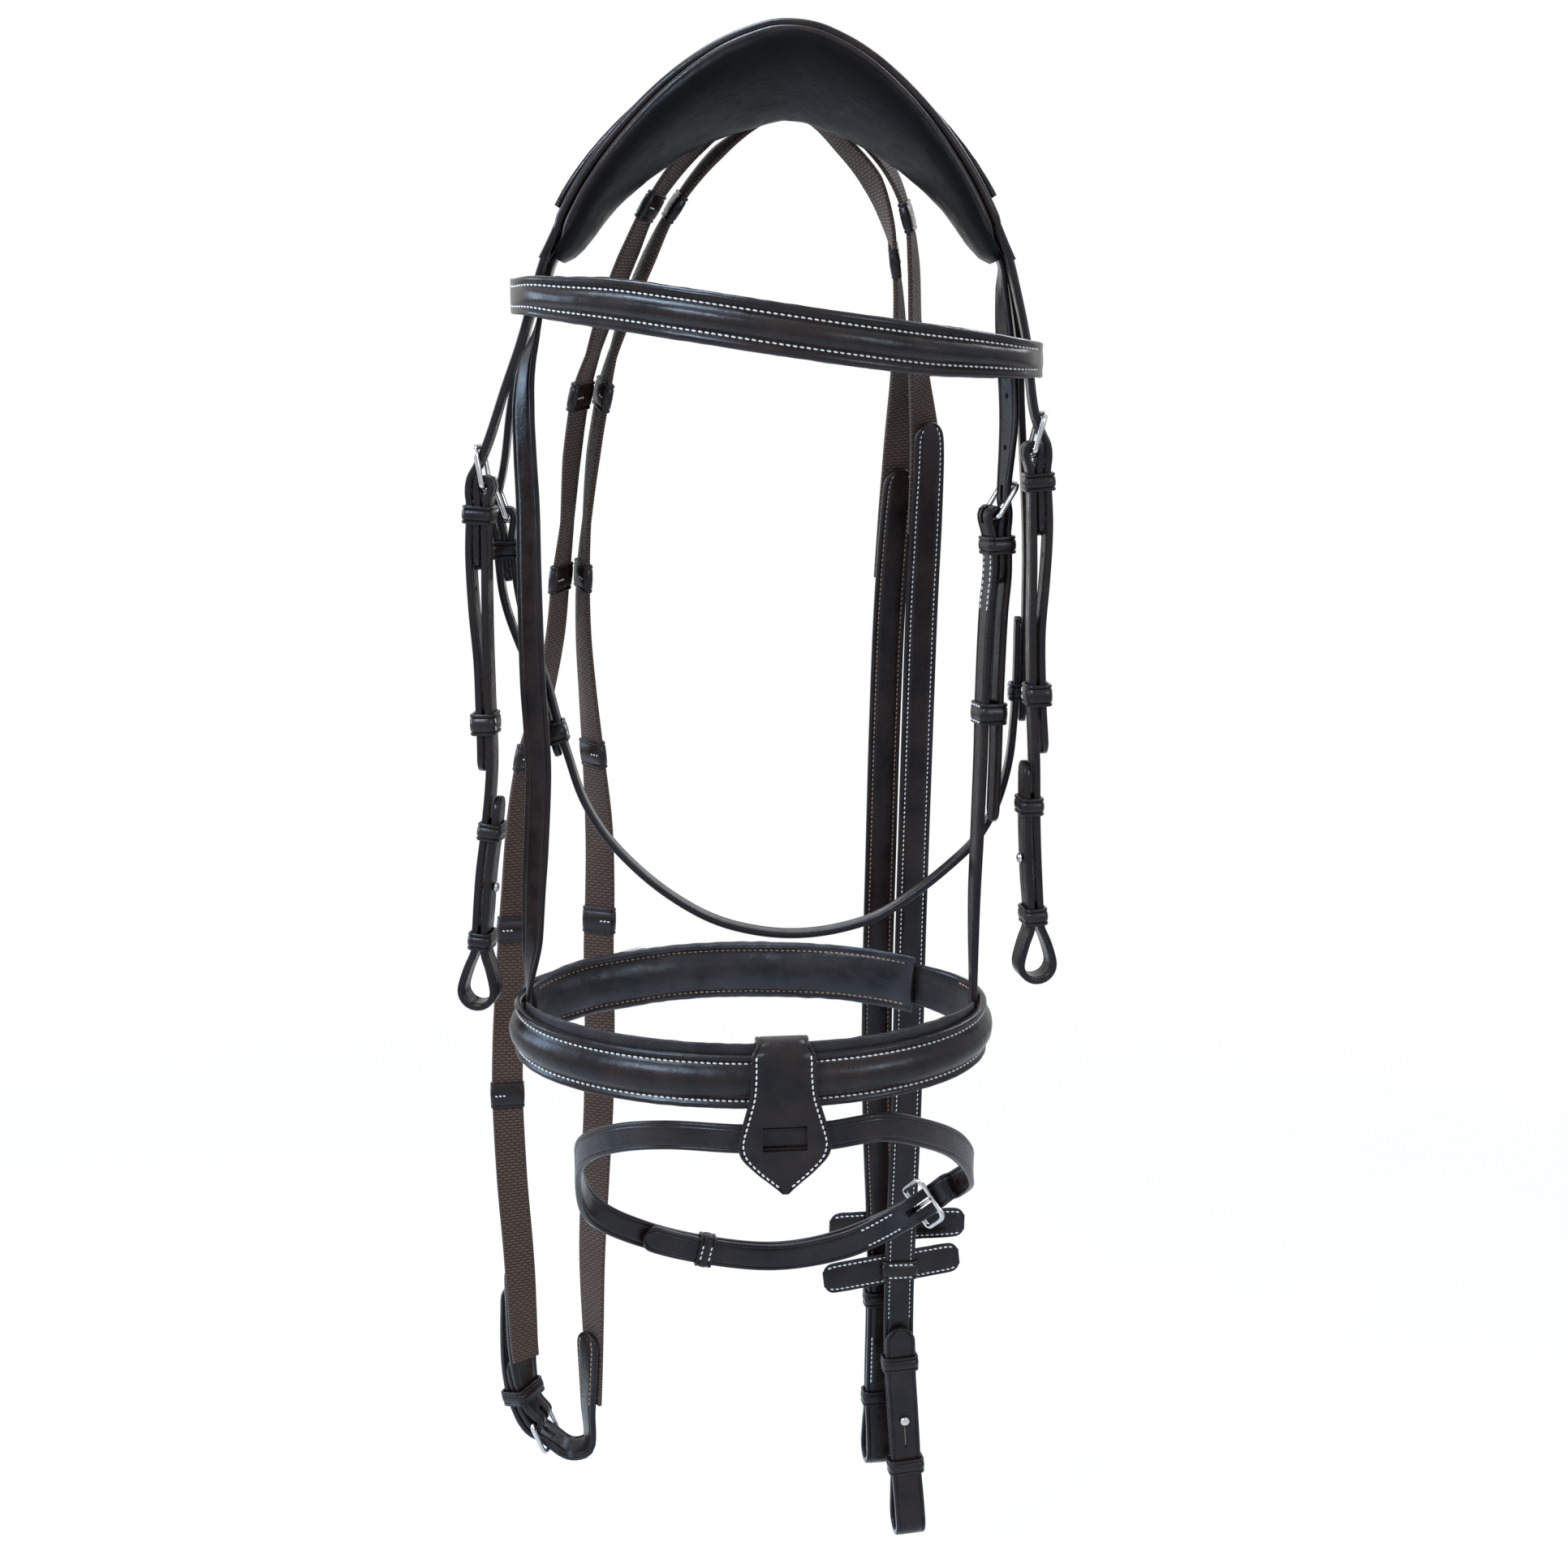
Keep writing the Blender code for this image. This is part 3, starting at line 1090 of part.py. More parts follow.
    buckle_tongue("hanger_tongue", hanger, bar, home)
    keeper("hanger_keeper", hanger, marks["keeper"], 0.0, BILLET_OUT, SLIP_WIDTH, home)
    keeper("hanger_runner", hanger, marks["runner"], 0.0, BILLET_OUT, SLIP_WIDTH, home,
           RUNNER_LENGTH)

    # The browband.
    brow = route_from(BROW_SHARES, DOWN, UP)
    left = brow.marks[BROW_FRONT_LEFT]
    right = brow.marks[BROW_FRONT_RIGHT]
    rows = []
    count = round(brow.length / (0.8 * STEP))
    for index in range(count + 1):
        along = brow.length * index / count
        share = (along - left) / (right - left)
        swell = math.sin(math.pi * share) if 0.0 < share < 1.0 else 0.0
        wide = BROW_END + (BROW_MIDDLE - BROW_END) * min(1.0, 1.35 * swell)
        rows.append((along, 0.0, wide, THIN_LEATHER, BROW_RISE * min(1.0, 2.2 * swell)))
    strap("browband", brow, rows, "leather", home, raised_section)
    rows = []
    count = 18
    for index in range(count + 1):
        share = 0.12 + 0.76 * index / count
        ends = min(1.0, 0.45 + 4.0 * min(index, count - index) / count)
        rows.append((left + share * (right - left), -THIN_LEATHER / 2 - GAP,
                     BROW_MIDDLE * (0.75 + 0.25 * ends), BROW_PAD * ends, 0.0))
    strap("browband_lining", brow, rows, "padding", home, pad_section)

    # The noseband.
    places = []
    for index in range(LAPS * NOSE_PLACES + 1):
        angle = math.tau * index / NOSE_PLACES
        places.append(Vector((NOSE_MIDDLE_SHARES[0] * SPREAD - NOSE_ACROSS * math.sin(angle),
                              NOSE_ALONG * math.cos(angle),
                              -NOSE_DROP + NOSE_TILT * math.cos(angle))))
    nose = Route(places, [0.0] * len(places), DOWN, UP)
    lap = nose.marks[NOSE_PLACES]

    def nose_at(degrees):
        """The length on the first lap at an angle from the front, positive to the right."""
        place = (degrees + 180.0) / 360.0 * NOSE_PLACES
        index = int(place)
        share = place - index
        return nose.marks[index] + share * (nose.marks[index + 1] - nose.marks[index])

    bar = nose_at(-143.0)
    rows = folded_end(bar, 1.2 * CHAPE, CHIN_WIDTH)
    start = bar + FOLD_REACH
    narrow_left = nose_at(-106.0)
    broad_left = nose_at(-84.0)
    broad_right = nose_at(104.0)
    for row in run(start, nose_at(150.0), 0.0, CHIN_WIDTH, LEATHER, 0.0, 0.7 * STEP)[1:]:
        along = row[0]
        grow = min(1.0, max(0.0, (along - narrow_left) / (broad_left - narrow_left)))
        fade = min(1.0, max(0.0, (nose_at(150.0) - along) / (nose_at(150.0) - broad_right)))
        share = min(grow, fade)
        front = math.cos(math.pi * (along - nose_at(0.0)) / lap) ** 2
        wide = CHIN_WIDTH + share * (NOSE_SIDE + (NOSE_FRONT - NOSE_SIDE) * front - CHIN_WIDTH)
        roll = NOSE_RISE * min(1.0, max(0.0, 3.0 * share - 2.0))
        rows.append((along, 0.0, wide, LEATHER, roll))
    last = rows[-1][0]
    gate = bar + lap - 1.6 * FRAME_LENGTH
    rows += run(last, gate, 0.0, CHIN_WIDTH)[1:]
    for along, out in billet_places(nose, bar + lap, nose_at(-112.0) + lap):
        rows.append((along, out, CHIN_WIDTH, LEATHER, 0.0))
    rows += tip(rows[-1][0], rows[-1][1], CHIN_WIDTH)[1:]
    made = strap("noseband_strap", nose, rows, "leather", home, raised_section)
    combine(made, [slot_for_fold(nose, bar, cutters)], "DIFFERENCE")
    combine(made, [slot_for_billet(nose, bar + lap, cutters)], "DIFFERENCE")
    buckle_frame("noseband_buckle", nose, bar, CHIN_WIDTH, home)
    buckle_tongue("noseband_tongue", nose, bar, home)
    rows = []
    count = 16
    for index in range(count + 1):
        ends = min(1.0, 0.45 + 3.5 * min(index, count - index) / count)
        rows.append((nose_at(-79.0 + 158.0 * index / count), -LEATHER / 2 - 2 * GAP,
                     NOSE_LINING * (0.8 + 0.2 * ends), NOSE_PAD * ends, 0.0))
    strap("noseband_lining", nose, rows, "padding", home, pad_section, NOSE_LINING_ASIDE)
    rows = []
    for index in range(count + 1):
        share = index / count
        ends = min(1.0, 0.30 + 4.0 * (1.0 - share))
        thin = 0.32 if share < 0.18 else min(1.0, 0.32 + 5.0 * (share - 0.18))
        along = nose_at(132.0 + 126.0 * share)
        near = abs(along - bar - lap) < CHIN_DIP
        rows.append((along, -(FOLD - BAR_OUT if near else 0.0) - LEATHER / 2 - 2 * GAP,
                     CHIN_PAD_HEIGHT * (0.8 + 0.2 * ends), CHIN_PAD * thin * ends, 0.0))
    strap("chin_pad", nose, rows, "padding", home, pad_section)

    # The flash tab and the flash strap.
    front = nose_at(TAB_ANGLE)
    centre, ahead, face, down = nose.frame(front)
    rows = TAB_ROWS
    places = [centre + out * face + drop * down for out, drop, _ in rows]
    tab = Route(places, [0.0] * len(places), ahead, face)
    stations = [(tab.marks[index], 0.0, rows[index][2], TAB_LEATHER, 0.0)
                for index in range(len(rows))]
    made = strap("flash_tab", tab, stations, "leather", home)
    middle = (WINDOW[0] + WINDOW[1]) / 2
    bpy.ops.mesh.primitive_cube_add(size=1.0, location=centre + WINDOW_OUT * face + middle * down)
    window = bpy.context.object
    window.rotation_mode = "QUATERNION"
    window.rotation_quaternion = Matrix((ahead, face, down)).transposed().to_quaternion()
    window.scale = (WINDOW[2], WINDOW_DEPTH, WINDOW[1] - WINDOW[0])
    combine(made, [window], "DIFFERENCE")

    ring = [spot(row) for row in FLASH_SHARES]
    behind = centre + FLASH_FRONT_OUT * face + FLASH_FRONT_DROP * down
    ring[FLASH_FRONT_INDEX:FLASH_FRONT_INDEX] = [behind + share * FLASH_FRONT_REACH * ahead
                                                 for share in FLASH_FRONT_STEPS]
    places = ring * LAPS + [ring[0]]
    flash = Route(places, [0.0] * len(places), DOWN, UP)
    lap = flash.marks[len(ring)]
    place = FLASH_BAR_INDEX + len(FLASH_FRONT_STEPS)
    bar = flash.marks[place]
    bar += FLASH_BAR_SHARE * (flash.marks[place + 1] - bar)
    rows = folded_end(bar, FLASH_CHAPE, FLASH_WIDTH, -1)
    gate = bar + lap - 1.6 * FRAME_LENGTH
    rows += run(bar + FOLD_REACH, gate, 0.0, FLASH_WIDTH)[1:]
    low = -PITCH - GAP
    tail = billet_places(flash, bar + lap, bar + lap + FLASH_TAIL - FLASH_WIDTH / 2, -1,
                         (bar + lap + FLASH_CHAPE + FLASH_WIDTH / 2, low))
    for along, out in tail:
        rows.append((along, out, FLASH_WIDTH, LEATHER, 0.0))
    rows += tip(rows[-1][0], rows[-1][1], FLASH_WIDTH)[1:]
    made = strap("flash_strap", flash, rows, "leather", home)
    combine(made, [slot_for_fold(flash, bar, cutters, -1)], "DIFFERENCE")
    combine(made, [slot_for_billet(flash, bar + lap, cutters, -1)], "DIFFERENCE")
    buckle_frame("flash_buckle", flash, bar, FLASH_WIDTH, home, -1, FLASH_BUCKLE_ROOM)
    buckle_tongue("flash_tongue", flash, bar, home, -1)
    keeper("flash_keeper", flash, bar + FLASH_KEEPER, 0.0, low, FLASH_WIDTH, home)

    set_origin(bpy.data.objects["noseband_strap"],
               (spot(SLIP_LEFT_SHARES[0]) + spot(HANGER_RIGHT_SHARES[-1])) / 2)
    set_origin(made, behind)
    set_origin(bpy.data.objects["browband"], spot(BROW_SHARES[BROW_MIDDLE_INDEX]))
    build_reins(home, cutters)
    bpy.data.collections.remove(cutters)


def build_reins(home, cutters):
    """Both reins, the buckle that joins them and their stops."""
    outer = route_from(REIN_OUTER_SHARES, FRONT)
    bar = outer.marks[REIN_BUCKLE_INDEX]
    top = crossing_top(outer)
    tail_end = bar + REIN_TAIL
    places = []
    turns = []
    tail = billet_places(outer, bar, tail_end, 1, None, FINE_STEP)
    for along, out in tail[::-1][:-1]:
        lift = 2 * GAP if along > bar - FRAME_LENGTH / 2 else 0.0
        places.append(outer.place(along, out + lift))
        position, share = outer.find(along)
        turns.append(-outer.turns[position])
    for share, out in REIN_TURN:
        places.append(outer.place(bar - share * FRAME_LENGTH, out))
        turns.append(-outer.turns[0])
    for row in REIN_INNER_SHARES:
        places.append(spot(row))
        turns.append(row[3])
    inner = Route(places, turns, FRONT)
    inner_top = crossing_top(inner)

    # The outer rein.
    rows = folded_end(bar, REIN_CHAPE, REIN_WIDTH)
    end = bar + REIN_TAB
    rows += run(bar + FOLD_REACH, end, TAB_OUT, REIN_WIDTH)[1:]
    rows += tip(end, TAB_OUT, REIN_WIDTH)[1:]
    made = strap("rein_outer_tab", outer, rows, "leather", home)
    combine(made, [slot_for_fold(outer, bar, cutters)], "DIFFERENCE")
    build_rein("outer", outer, top, end - REIN_LAP, OUTER_STOP_SHARES, OUTER_DROPS, home, cutters)
    buckle_frame("rein_buckle", outer, bar, REIN_WIDTH, home)
    buckle_tongue("rein_tongue", outer, bar, home)
    keeper("rein_keeper", outer, bar + REIN_KEEPER, 0.0, BILLET_OUT, REIN_WIDTH, home, KEEPER_LENGTH,
           LEATHER, 0.0, 3 * SLACK)

    # The inner rein, whose end goes through the buckle.
    end = inner.marks[len(tail) - 1] + REIN_INNER_REACH
    rows = tip(REIN_WIDTH / 2, 0.0, REIN_WIDTH, LEATHER, -1.0)[::-1]
    rows += run(REIN_WIDTH / 2, end, 0.0, REIN_WIDTH)[1:]
    rows += tip(end, 0.0, REIN_WIDTH)[1:]
    made = strap("rein_inner_billet", inner, rows, "leather", home)
    combine(made, [slot_for_billet(outer, bar, cutters)], "DIFFERENCE")
    build_rein("inner", inner, inner_top, end - 0.7 * REIN_LAP, INNER_STOP_SHARES, INNER_DROPS, home,
               cutters)


def crossing_top(route):
    """The length at which a route is highest."""
    best = max(range(len(route.points)), key=lambda index: route.points[index].z)
    return route.lengths[best]


def build_rein(side, route, top, start, stops, drops, home, cutters):
    """A rein's web with its stops, its leather bit end, stud, keepers and martingale stop."""
    marks = at_drops(route, drops, top)
    middles = [crossing(route, share * DROP, REIN_TAB, top) for share in stops["left"]]
    middles += [crossing(route, share * DROP, top) for share in stops["right"]]
    rows = web_stations(start, marks["web"], middles)
    made = strap("rein_web_" + side, route, rows, "web", home, plain_section)
    set_origin(made, route.place(top, WEB_OUT))
    first = marks["strap"]
    rows = tip(first + REIN_WIDTH / 2, 0.0, REIN_WIDTH, LEATHER, -1.0)[::-1]
    rows += run(first + REIN_WIDTH / 2, marks["lower"], 0.0, REIN_WIDTH)[1:]
    onto = RETURN_SIDE[side]
    rows += bit_loop(marks, REIN_WIDTH, onto)
    made = strap("rein_strap_" + side, route, rows, "leather", home)
    combine(made, [stud_hole(route, marks["stud"], cutters, onto)], "DIFFERENCE")
    stud("rein_stud_" + side, route, marks["stud"], home, onto)
    back = onto * RETURN_OUT
    keeper("rein_bit_keeper_upper_" + side, route, marks["upper"], 0.0, back, REIN_WIDTH, home)
    keeper("rein_bit_keeper_lower_" + side, route, marks["lower"], 0.0, back, REIN_WIDTH, home)
    made = keeper("rein_stop_" + side, route, marks["stop"], 0.0, 0.0, REIN_WIDTH, home,
                  0.6 * MARTINGALE_HEIGHT)
    centre, ahead, face, across = route.frame(marks["stop"])
    lean = math.radians(MARTINGALE_TURN[side])
    along = math.cos(lean) * across + math.sin(lean) * ahead
    behind = centre - (LEATHER / 2 + SLACK + 0.85 * KEEPER_WALL) * face
    behind = behind - MARTINGALE_ASIDE[side] * along
    wide = face.cross(along)
    rings = []
    for share, narrow in ((-0.5, 0.5), (-0.44, 1.0), (0.44, 1.0), (0.5, 0.5)):
        half = narrow * MARTINGALE_HEIGHT / 2
        middle = behind + share * MARTINGALE_LENGTH * along
        rings.append([middle + b * half * wide + d * 0.36 * KEEPER_WALL * face
                      for b, d in ((-1, -1), (1, -1), (1, 1), (-1, 1))])
    wings = loft("wings", rings, "leather", cutters)
    combine(made, [wings], "UNION")


build()
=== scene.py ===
"""The looks of a leather horse bridle with a flash noseband and web reins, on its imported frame.

The origin is where the bridle hangs, X runs across the horse's head, Y backwards and Z up.
Lengths are in metres. The routes and sizes are those of the frame, drawn at a finer step.
"""

import bisect
import json
import math

import bpy
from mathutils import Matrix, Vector, noise


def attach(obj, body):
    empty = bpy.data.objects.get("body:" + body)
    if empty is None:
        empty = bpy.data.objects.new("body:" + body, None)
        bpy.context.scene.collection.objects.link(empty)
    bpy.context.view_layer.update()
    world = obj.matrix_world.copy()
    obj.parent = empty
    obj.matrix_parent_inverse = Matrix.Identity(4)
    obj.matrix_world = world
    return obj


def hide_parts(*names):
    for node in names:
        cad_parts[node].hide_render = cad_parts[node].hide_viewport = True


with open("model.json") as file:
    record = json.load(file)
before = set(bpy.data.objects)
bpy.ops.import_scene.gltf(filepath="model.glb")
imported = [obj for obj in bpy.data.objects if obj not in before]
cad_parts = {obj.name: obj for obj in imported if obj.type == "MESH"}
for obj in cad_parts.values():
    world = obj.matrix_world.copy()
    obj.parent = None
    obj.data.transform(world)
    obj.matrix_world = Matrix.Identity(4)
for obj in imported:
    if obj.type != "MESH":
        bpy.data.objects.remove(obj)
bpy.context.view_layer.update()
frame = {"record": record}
BODY_OF = {node: body for body, nodes in frame["record"]["behaviour"]["bodies"].items()
           for node in nodes}

# The box that every table of shares is measured in.
SPREAD = 0.300
DEPTH = 0.160
DROP = 0.850

# Air left between pieces that touch.
GAP = 0.0003

# Leather and web.
LEATHER = 0.0034
THIN_LEATHER = 0.0026
WEB = 0.0024
PITCH = LEATHER + 2 * GAP
STEP = 0.028
FINE_STEP = 0.005
BEND_STEPS = 6

# Widths of the straps.
CHEEK_WIDTH = 0.015
SLIP_WIDTH = 0.014
THROAT_WIDTH = 0.011
FLASH_WIDTH = 0.0145
REIN_WIDTH = 0.0175
CHIN_WIDTH = 0.019

# Metal.
WIRE = 0.0013
TONGUE_WIDTH = 0.0022
TONGUE_THICKNESS = 0.0018
TONGUE_HOOK = (340.0, 250.0, 24)
TONGUE_PRONG = 14
TONGUE_TAPER = 0.28
TONGUE_POINT = 0.45
FRAME_LENGTH = 0.018
FRAME_FULLER = 0.12
FRAME_ROUNDS = (0.22, 0.22, 0.42, 0.42)
SLOT_WIDTH = TONGUE_WIDTH + 4 * GAP
BUCKLE_ROOM = 0.0014
STUD_NECK = 0.0015
STUD_HEAD = 0.0029
STUD_DOME = 0.0026
STUD_CURVE = ((0.97, 0.4), (0.82, 0.72), (0.5, 0.93), (0.15, 1.0))

# Keepers and runners.
KEEPER_WALL = 0.0014
KEEPER_LENGTH = 0.009
KEEPER_ROUND = 0.0022
RUNNER_LENGTH = 0.011
SLACK = 0.0004
JOIN_ASIDE = 0.62
JOIN_LONG = 0.0026
JOIN_APART = 0.0018

# How fine the visible surfaces are.
RING_STEP = 0.0024
TIP_STEPS = 7
SHARP_EDGE = 48.0
WIRE_SIDES = 12
TONGUE_SIDES = 10
STUD_SIDES = 20
STITCH_SIDES = 5
CURVE_STEPS = 8

# Creases and edges of a strap.
CREASE_IN = 0.0021
CREASE_DEEP = 0.00045
CREASE_HALF = 0.00050

# Thread: each stitch is a thin capsule, given by pairs of place and fullness along it.
SEAM_IN = 0.0027
THREAD = 0.00048
STITCH_PITCH = 0.0030
STITCH_LENGTH = 0.0022
STITCH_SHAPE = ((-0.42, 0.62), (-0.22, 1.0), (0.22, 1.0), (0.42, 0.62))
ROLL_PITCH = 0.0031
ROLL_SUNK = 0.0002
FOLD_ROW = 0.0072
FOLD_ROW_IN = 0.0014
FOLD_STITCH = {"pitch": 0.0026, "length": 0.0025, "radius": 0.00055, "tilt": 0.0}
LAP_SEAM_END = 0.004
# How far the two rows of a keeper lie from its middle.
ROWS_APART = {"lap": 0.0026, "hanger": 0.0040, "flash": 0.0024, "stop": 0.0038}

# Holes, and the slit behind a hook stud.
HOLE = 0.0014
HOLE_REACH = 0.0030
HOLE_PITCH = 0.0210
SLIT_LENGTH = 0.0170
SLIT_HALF = 0.00045

# Web: ribs along it, and the pitches of its weave.
WEB_RIBS = 5
WEB_RIB_DEEP = 0.00012
WEFT_PITCH = 0.0017
WARP_PITCH = 0.0040

# Wrinkles, padded rolls between seams, and quilting.
WRINKLE_SCALE = 160.0
PAD_ROUGH = 0.0004
FLANGE_ROUGH = 0.00018
FLANGE_RISE = 0.0009
SEAM_DIP = 0.024
QUILT_SEAM = 0.74
QUILT_END = 0.005

UP = Vector((0.0, 0.0, 1.0))
FRONT = Vector((0.0, -1.0, 0.0))
BACK = -FRONT
DOWN = -UP


def spot(shares):
    """The place that three shares of the box stand for."""
    return Vector((shares[0] * SPREAD, shares[1] * DEPTH, -shares[2] * DROP))


def turns_of(rows):
    """The turn at each row in degrees: its fourth number, or none where it has only three."""
    return [row[3] if len(row) > 3 else 0.0 for row in rows]


class Route:
    """A smooth line through places, with a face direction at every length along it.

    across is the direction the strap's width keeps to before its turns, and toward is where
    a positive turn points the face.
    """

    FINE = 10

    def __init__(self, places, turns, across, toward=FRONT):
        self.across = across
        self.toward = toward
        self.points = []
        self.turns = []
        padded = [2 * places[0] - places[1]] + list(places) + [2 * places[-1] - places[-2]]
        for index in range(len(places) - 1):
            corners = padded[index:index + 4]
            for step in range(self.FINE):
                share = step / self.FINE
                self.points.append(self.between(corners, share))
                self.turns.append(turns[index] + share * (turns[index + 1] - turns[index]))
        self.points.append(places[-1].copy())
        self.turns.append(turns[-1])
        self.lengths = [0.0]
        for first, second in zip(self.points, self.points[1:]):
            self.lengths.append(self.lengths[-1] + (second - first).length)
        self.length = self.lengths[-1]
        self.marks = [self.lengths[index * self.FINE] for index in range(len(places))]
        last = len(self.points) - 1
        self.tangents = [
            (self.points[min(index + 1, last)] - self.points[max(index - 1, 0)]).normalized()
            for index in range(last + 1)
        ]

    @staticmethod
    def between(corners, share):
        """A place between the middle two of four corners, on a centripetal spline."""
        knots = [0.0]
        for first, second in zip(corners, corners[1:]):
            knots.append(knots[-1] + math.sqrt((second - first).length))
        now = knots[1] + share * (knots[2] - knots[1])
        level = list(corners)
        for reach in (1, 2, 3):
            merged = []
            for index in range(len(level) - 1):
                if reach == 1:
                    low, high = knots[index], knots[index + 1]
                elif reach == 2:
                    low, high = knots[index], knots[index + 2]
                else:
                    low, high = knots[1], knots[2]
                part = (now - low) / (high - low)
                merged.append(level[index].lerp(level[index + 1], part))
            level = merged
        return level[0]

    def find(self, along):
        """The fine step that a length falls in, and the share of that step."""
        index = bisect.bisect_right(self.lengths, along) - 1
        index = min(max(index, 0), len(self.points) - 2)
        span = self.lengths[index + 1] - self.lengths[index]
        return index, (along - self.lengths[index]) / span

    def frame(self, along):
        """Centre, direction, face and width direction at a length."""
        index, share = self.find(along)
        centre = self.points[index].lerp(self.points[index + 1], share)
        inside = min(max(share, 0.0), 1.0)
        ahead = self.tangents[index].lerp(self.tangents[index + 1], inside).normalized()
        turn = self.turns[index] + inside * (self.turns[index + 1] - self.turns[index])
        face = self.across.cross(ahead).normalized()
        side = ahead.cross(face)
        if side.dot(self.toward) < 0.0:
            side = -side
        face = math.cos(math.radians(turn)) * face + math.sin(math.radians(turn)) * side
        return centre, ahead, face, ahead.cross(face)

    def place(self, along, out=0.0, aside=0.0):
        """A place given by its length along, its height over the face and its offset aside."""
        centre, _, face, width = self.frame(along)
        return centre + out * face + aside * width


def route_from(rows, across, toward=FRONT):
    """A route from rows of shares and turns."""
    return Route([spot(row) for row in rows], turns_of(rows), across, toward)


def run(start, end, out, width, thickness=LEATHER, rise=0.0, step=STEP):
    """Stations along a stretch at one height over the face."""
    count = max(1, round(abs(end - start) / step))
    return [(start + (end - start) * index / count, out, width, thickness, rise)
            for index in range(count + 1)]


def tip(along, out, width, thickness=LEATHER, onward=1.0):
    """Stations that narrow a strap to its rounded point."""
    rows = []
    for index in range(TIP_STEPS + 1):
        share = math.sin(math.pi / 2 * index / TIP_STEPS)
        narrow = max(0.14, math.sqrt(1.0 - share * share))
        rows.append((along + onward * 0.5 * width * share, out, width * narrow,
                     thickness * min(1.0, 0.55 + narrow), 0.0))
    return rows


def pointed(rows):
    """The stations of a strap with its rounded point after them."""
    along, out, width, thickness, _ = rows[-1]
    return rows + tip(along, out, width, thickness)[1:]


def level(pairs, width):
    """Stations of one width from pairs of length and height."""
    return [(along, out, width, LEATHER, 0.0) for along, out in pairs]


def bend(along, out, radius, start, end, width, steps=BEND_STEPS):
    """Stations round an arc, with angles in degrees from the direction of the route."""
    angles = [math.radians(start + (end - start) * index / steps) for index in range(steps + 1)]
    return level([(along + radius * math.cos(angle), out + radius * math.sin(angle))
                  for angle in angles], width)


# Heights of the layers at a buckle, over the face of the strap that carries it.
FOLD = WIRE + 2 * GAP + LEATHER / 2
BAR_OUT = PITCH / 2
BILLET_AT_BAR = BAR_OUT + FOLD + LEATHER + GAP
BILLET_AT_FRAME = 0.0050
BILLET_OUT = 2 * PITCH
FRAME_OUT = BILLET_AT_FRAME + LEATHER / 2 + 2 * GAP + WIRE
FOLD_REACH = 0.010
LEAD_IN = 1.6 * FRAME_LENGTH
LEAD_HEIGHT = 0.72 * BILLET_AT_FRAME


def folded_end(bar, chape, width, side=1):
    """Stations from the end of a chape, up to a buckle's bar, round it and on to the main run."""
    stations = tip(bar + chape, side * PITCH, width)[::-1]
    stations += run(bar + 0.6 * chape, bar + FOLD_REACH, side * PITCH, width)
    stations += bend(bar, side * BAR_OUT, FOLD, side * 90.0, side * 270.0, width)
    return stations + level([(bar + FOLD_REACH, 0.0)], width)


def billet_places(bar, end, side=1, fall=None, step=STEP):
    """Pairs of length and height for a billet through its buckle and on to its tip."""
    rows = [(bar - LEAD_IN, side * LEAD_HEIGHT),
            (bar - FRAME_LENGTH, side * BILLET_AT_FRAME),
            (bar - 0.5 * FRAME_LENGTH, side * (BILLET_AT_FRAME + BILLET_AT_BAR) / 2),
            (bar - 0.15 * FRAME_LENGTH, side * BILLET_AT_BAR),
            (bar + 0.2 * FRAME_LENGTH, side * BILLET_AT_BAR),
            (bar + FOLD_REACH, side * BILLET_OUT)]
    last = rows[-1][0]
    count = max(1, round((end - last) / step))
    for index in range(1, count + 1):
        along = last + (end - last) * index / count
        out = side * BILLET_OUT
        if fall is not None and along > fall[0]:
            out += min((along - fall[0]) / BILLET_FALL, 1.0) * (fall[1] - out)
        rows.append((along, out))
    return rows


def buckle_axes(route, bar, side):
    """A buckle's bar centre, its length, its direction, its width direction and its face."""
    origin = route.place(bar, side * BAR_OUT)
    outward = route.place(bar - FRAME_LENGTH, side * FRAME_OUT) - origin
    reach = outward.length
    outward = outward / reach
    _, _, upward, across = route.frame(bar)
    across = (across - across.dot(outward) * outward).normalized()
    face = outward.cross(across)
    if face.dot(upward) * side < 0.0:
        face = -face
    return origin, reach, outward, across, face


def falling(top, steps):
    """Drops from the origin of features one below another, from a first place down."""
    drops = {}
    for key, step in steps.items():
        top += step
        drops[key] = top
    return drops


def rising(route, steps):
    """Drops from the origin of features one above another, from the foot of a route up."""
    foot = route[-1][2] * DROP
    return falling(foot, {key: -step for key, step in steps.items()})


def all_drops(route, bar_share, fall, rise):
    """Drops of what sits along a strap, from its buckle or its top down and from its foot up."""
    return {**falling(bar_share * DROP, fall), **rising(route, rise)}


# The headpiece.
CROWN_LEATHER = 0.0042
CROWN_STATIONS = 24
CROWN_END = 0.042
CROWN_MIDDLE = 0.064
CROWN_NARROW = 0.16
CROWN_TAPER = 12.0
CROWN_ROWS_SHARES = [
    (-0.402, 0.0, 0.087, 0.0), (-0.321, 0.0, 0.043, -8.0), (-0.201, 0.0, 0.005, -18.0),
    (-0.095, 0.0, -0.015, -26.0), (0.0, 0.0, -0.023, -29.0), (0.09, 0.0, -0.013, -26.0),
    (0.192, 0.0, 0.011, -18.0), (0.286, 0.0, 0.046, -8.0), (0.356, 0.0, 0.088, 0.0),
]
CHEEK_ASIDE = 0.0105
THROAT_ASIDE = -0.0115
ROOT_IN = 0.018
ROOT_OUT = 0.003
SLIP_UNDER = CROWN_LEATHER / 2 + 2 * GAP + THIN_LEATHER / 2
GROOVE = THIN_LEATHER + 2 * GAP
PAD_THICKNESS = 0.0125
PAD_END = 0.046
PAD_MIDDLE = 0.070
PAD_STATIONS = 60
PAD_TAPER = 14.0
PAD_FROM = 0.012
PAD_ROOM = 0.010
COVER_START = 0.082
COVER_END = 0.900
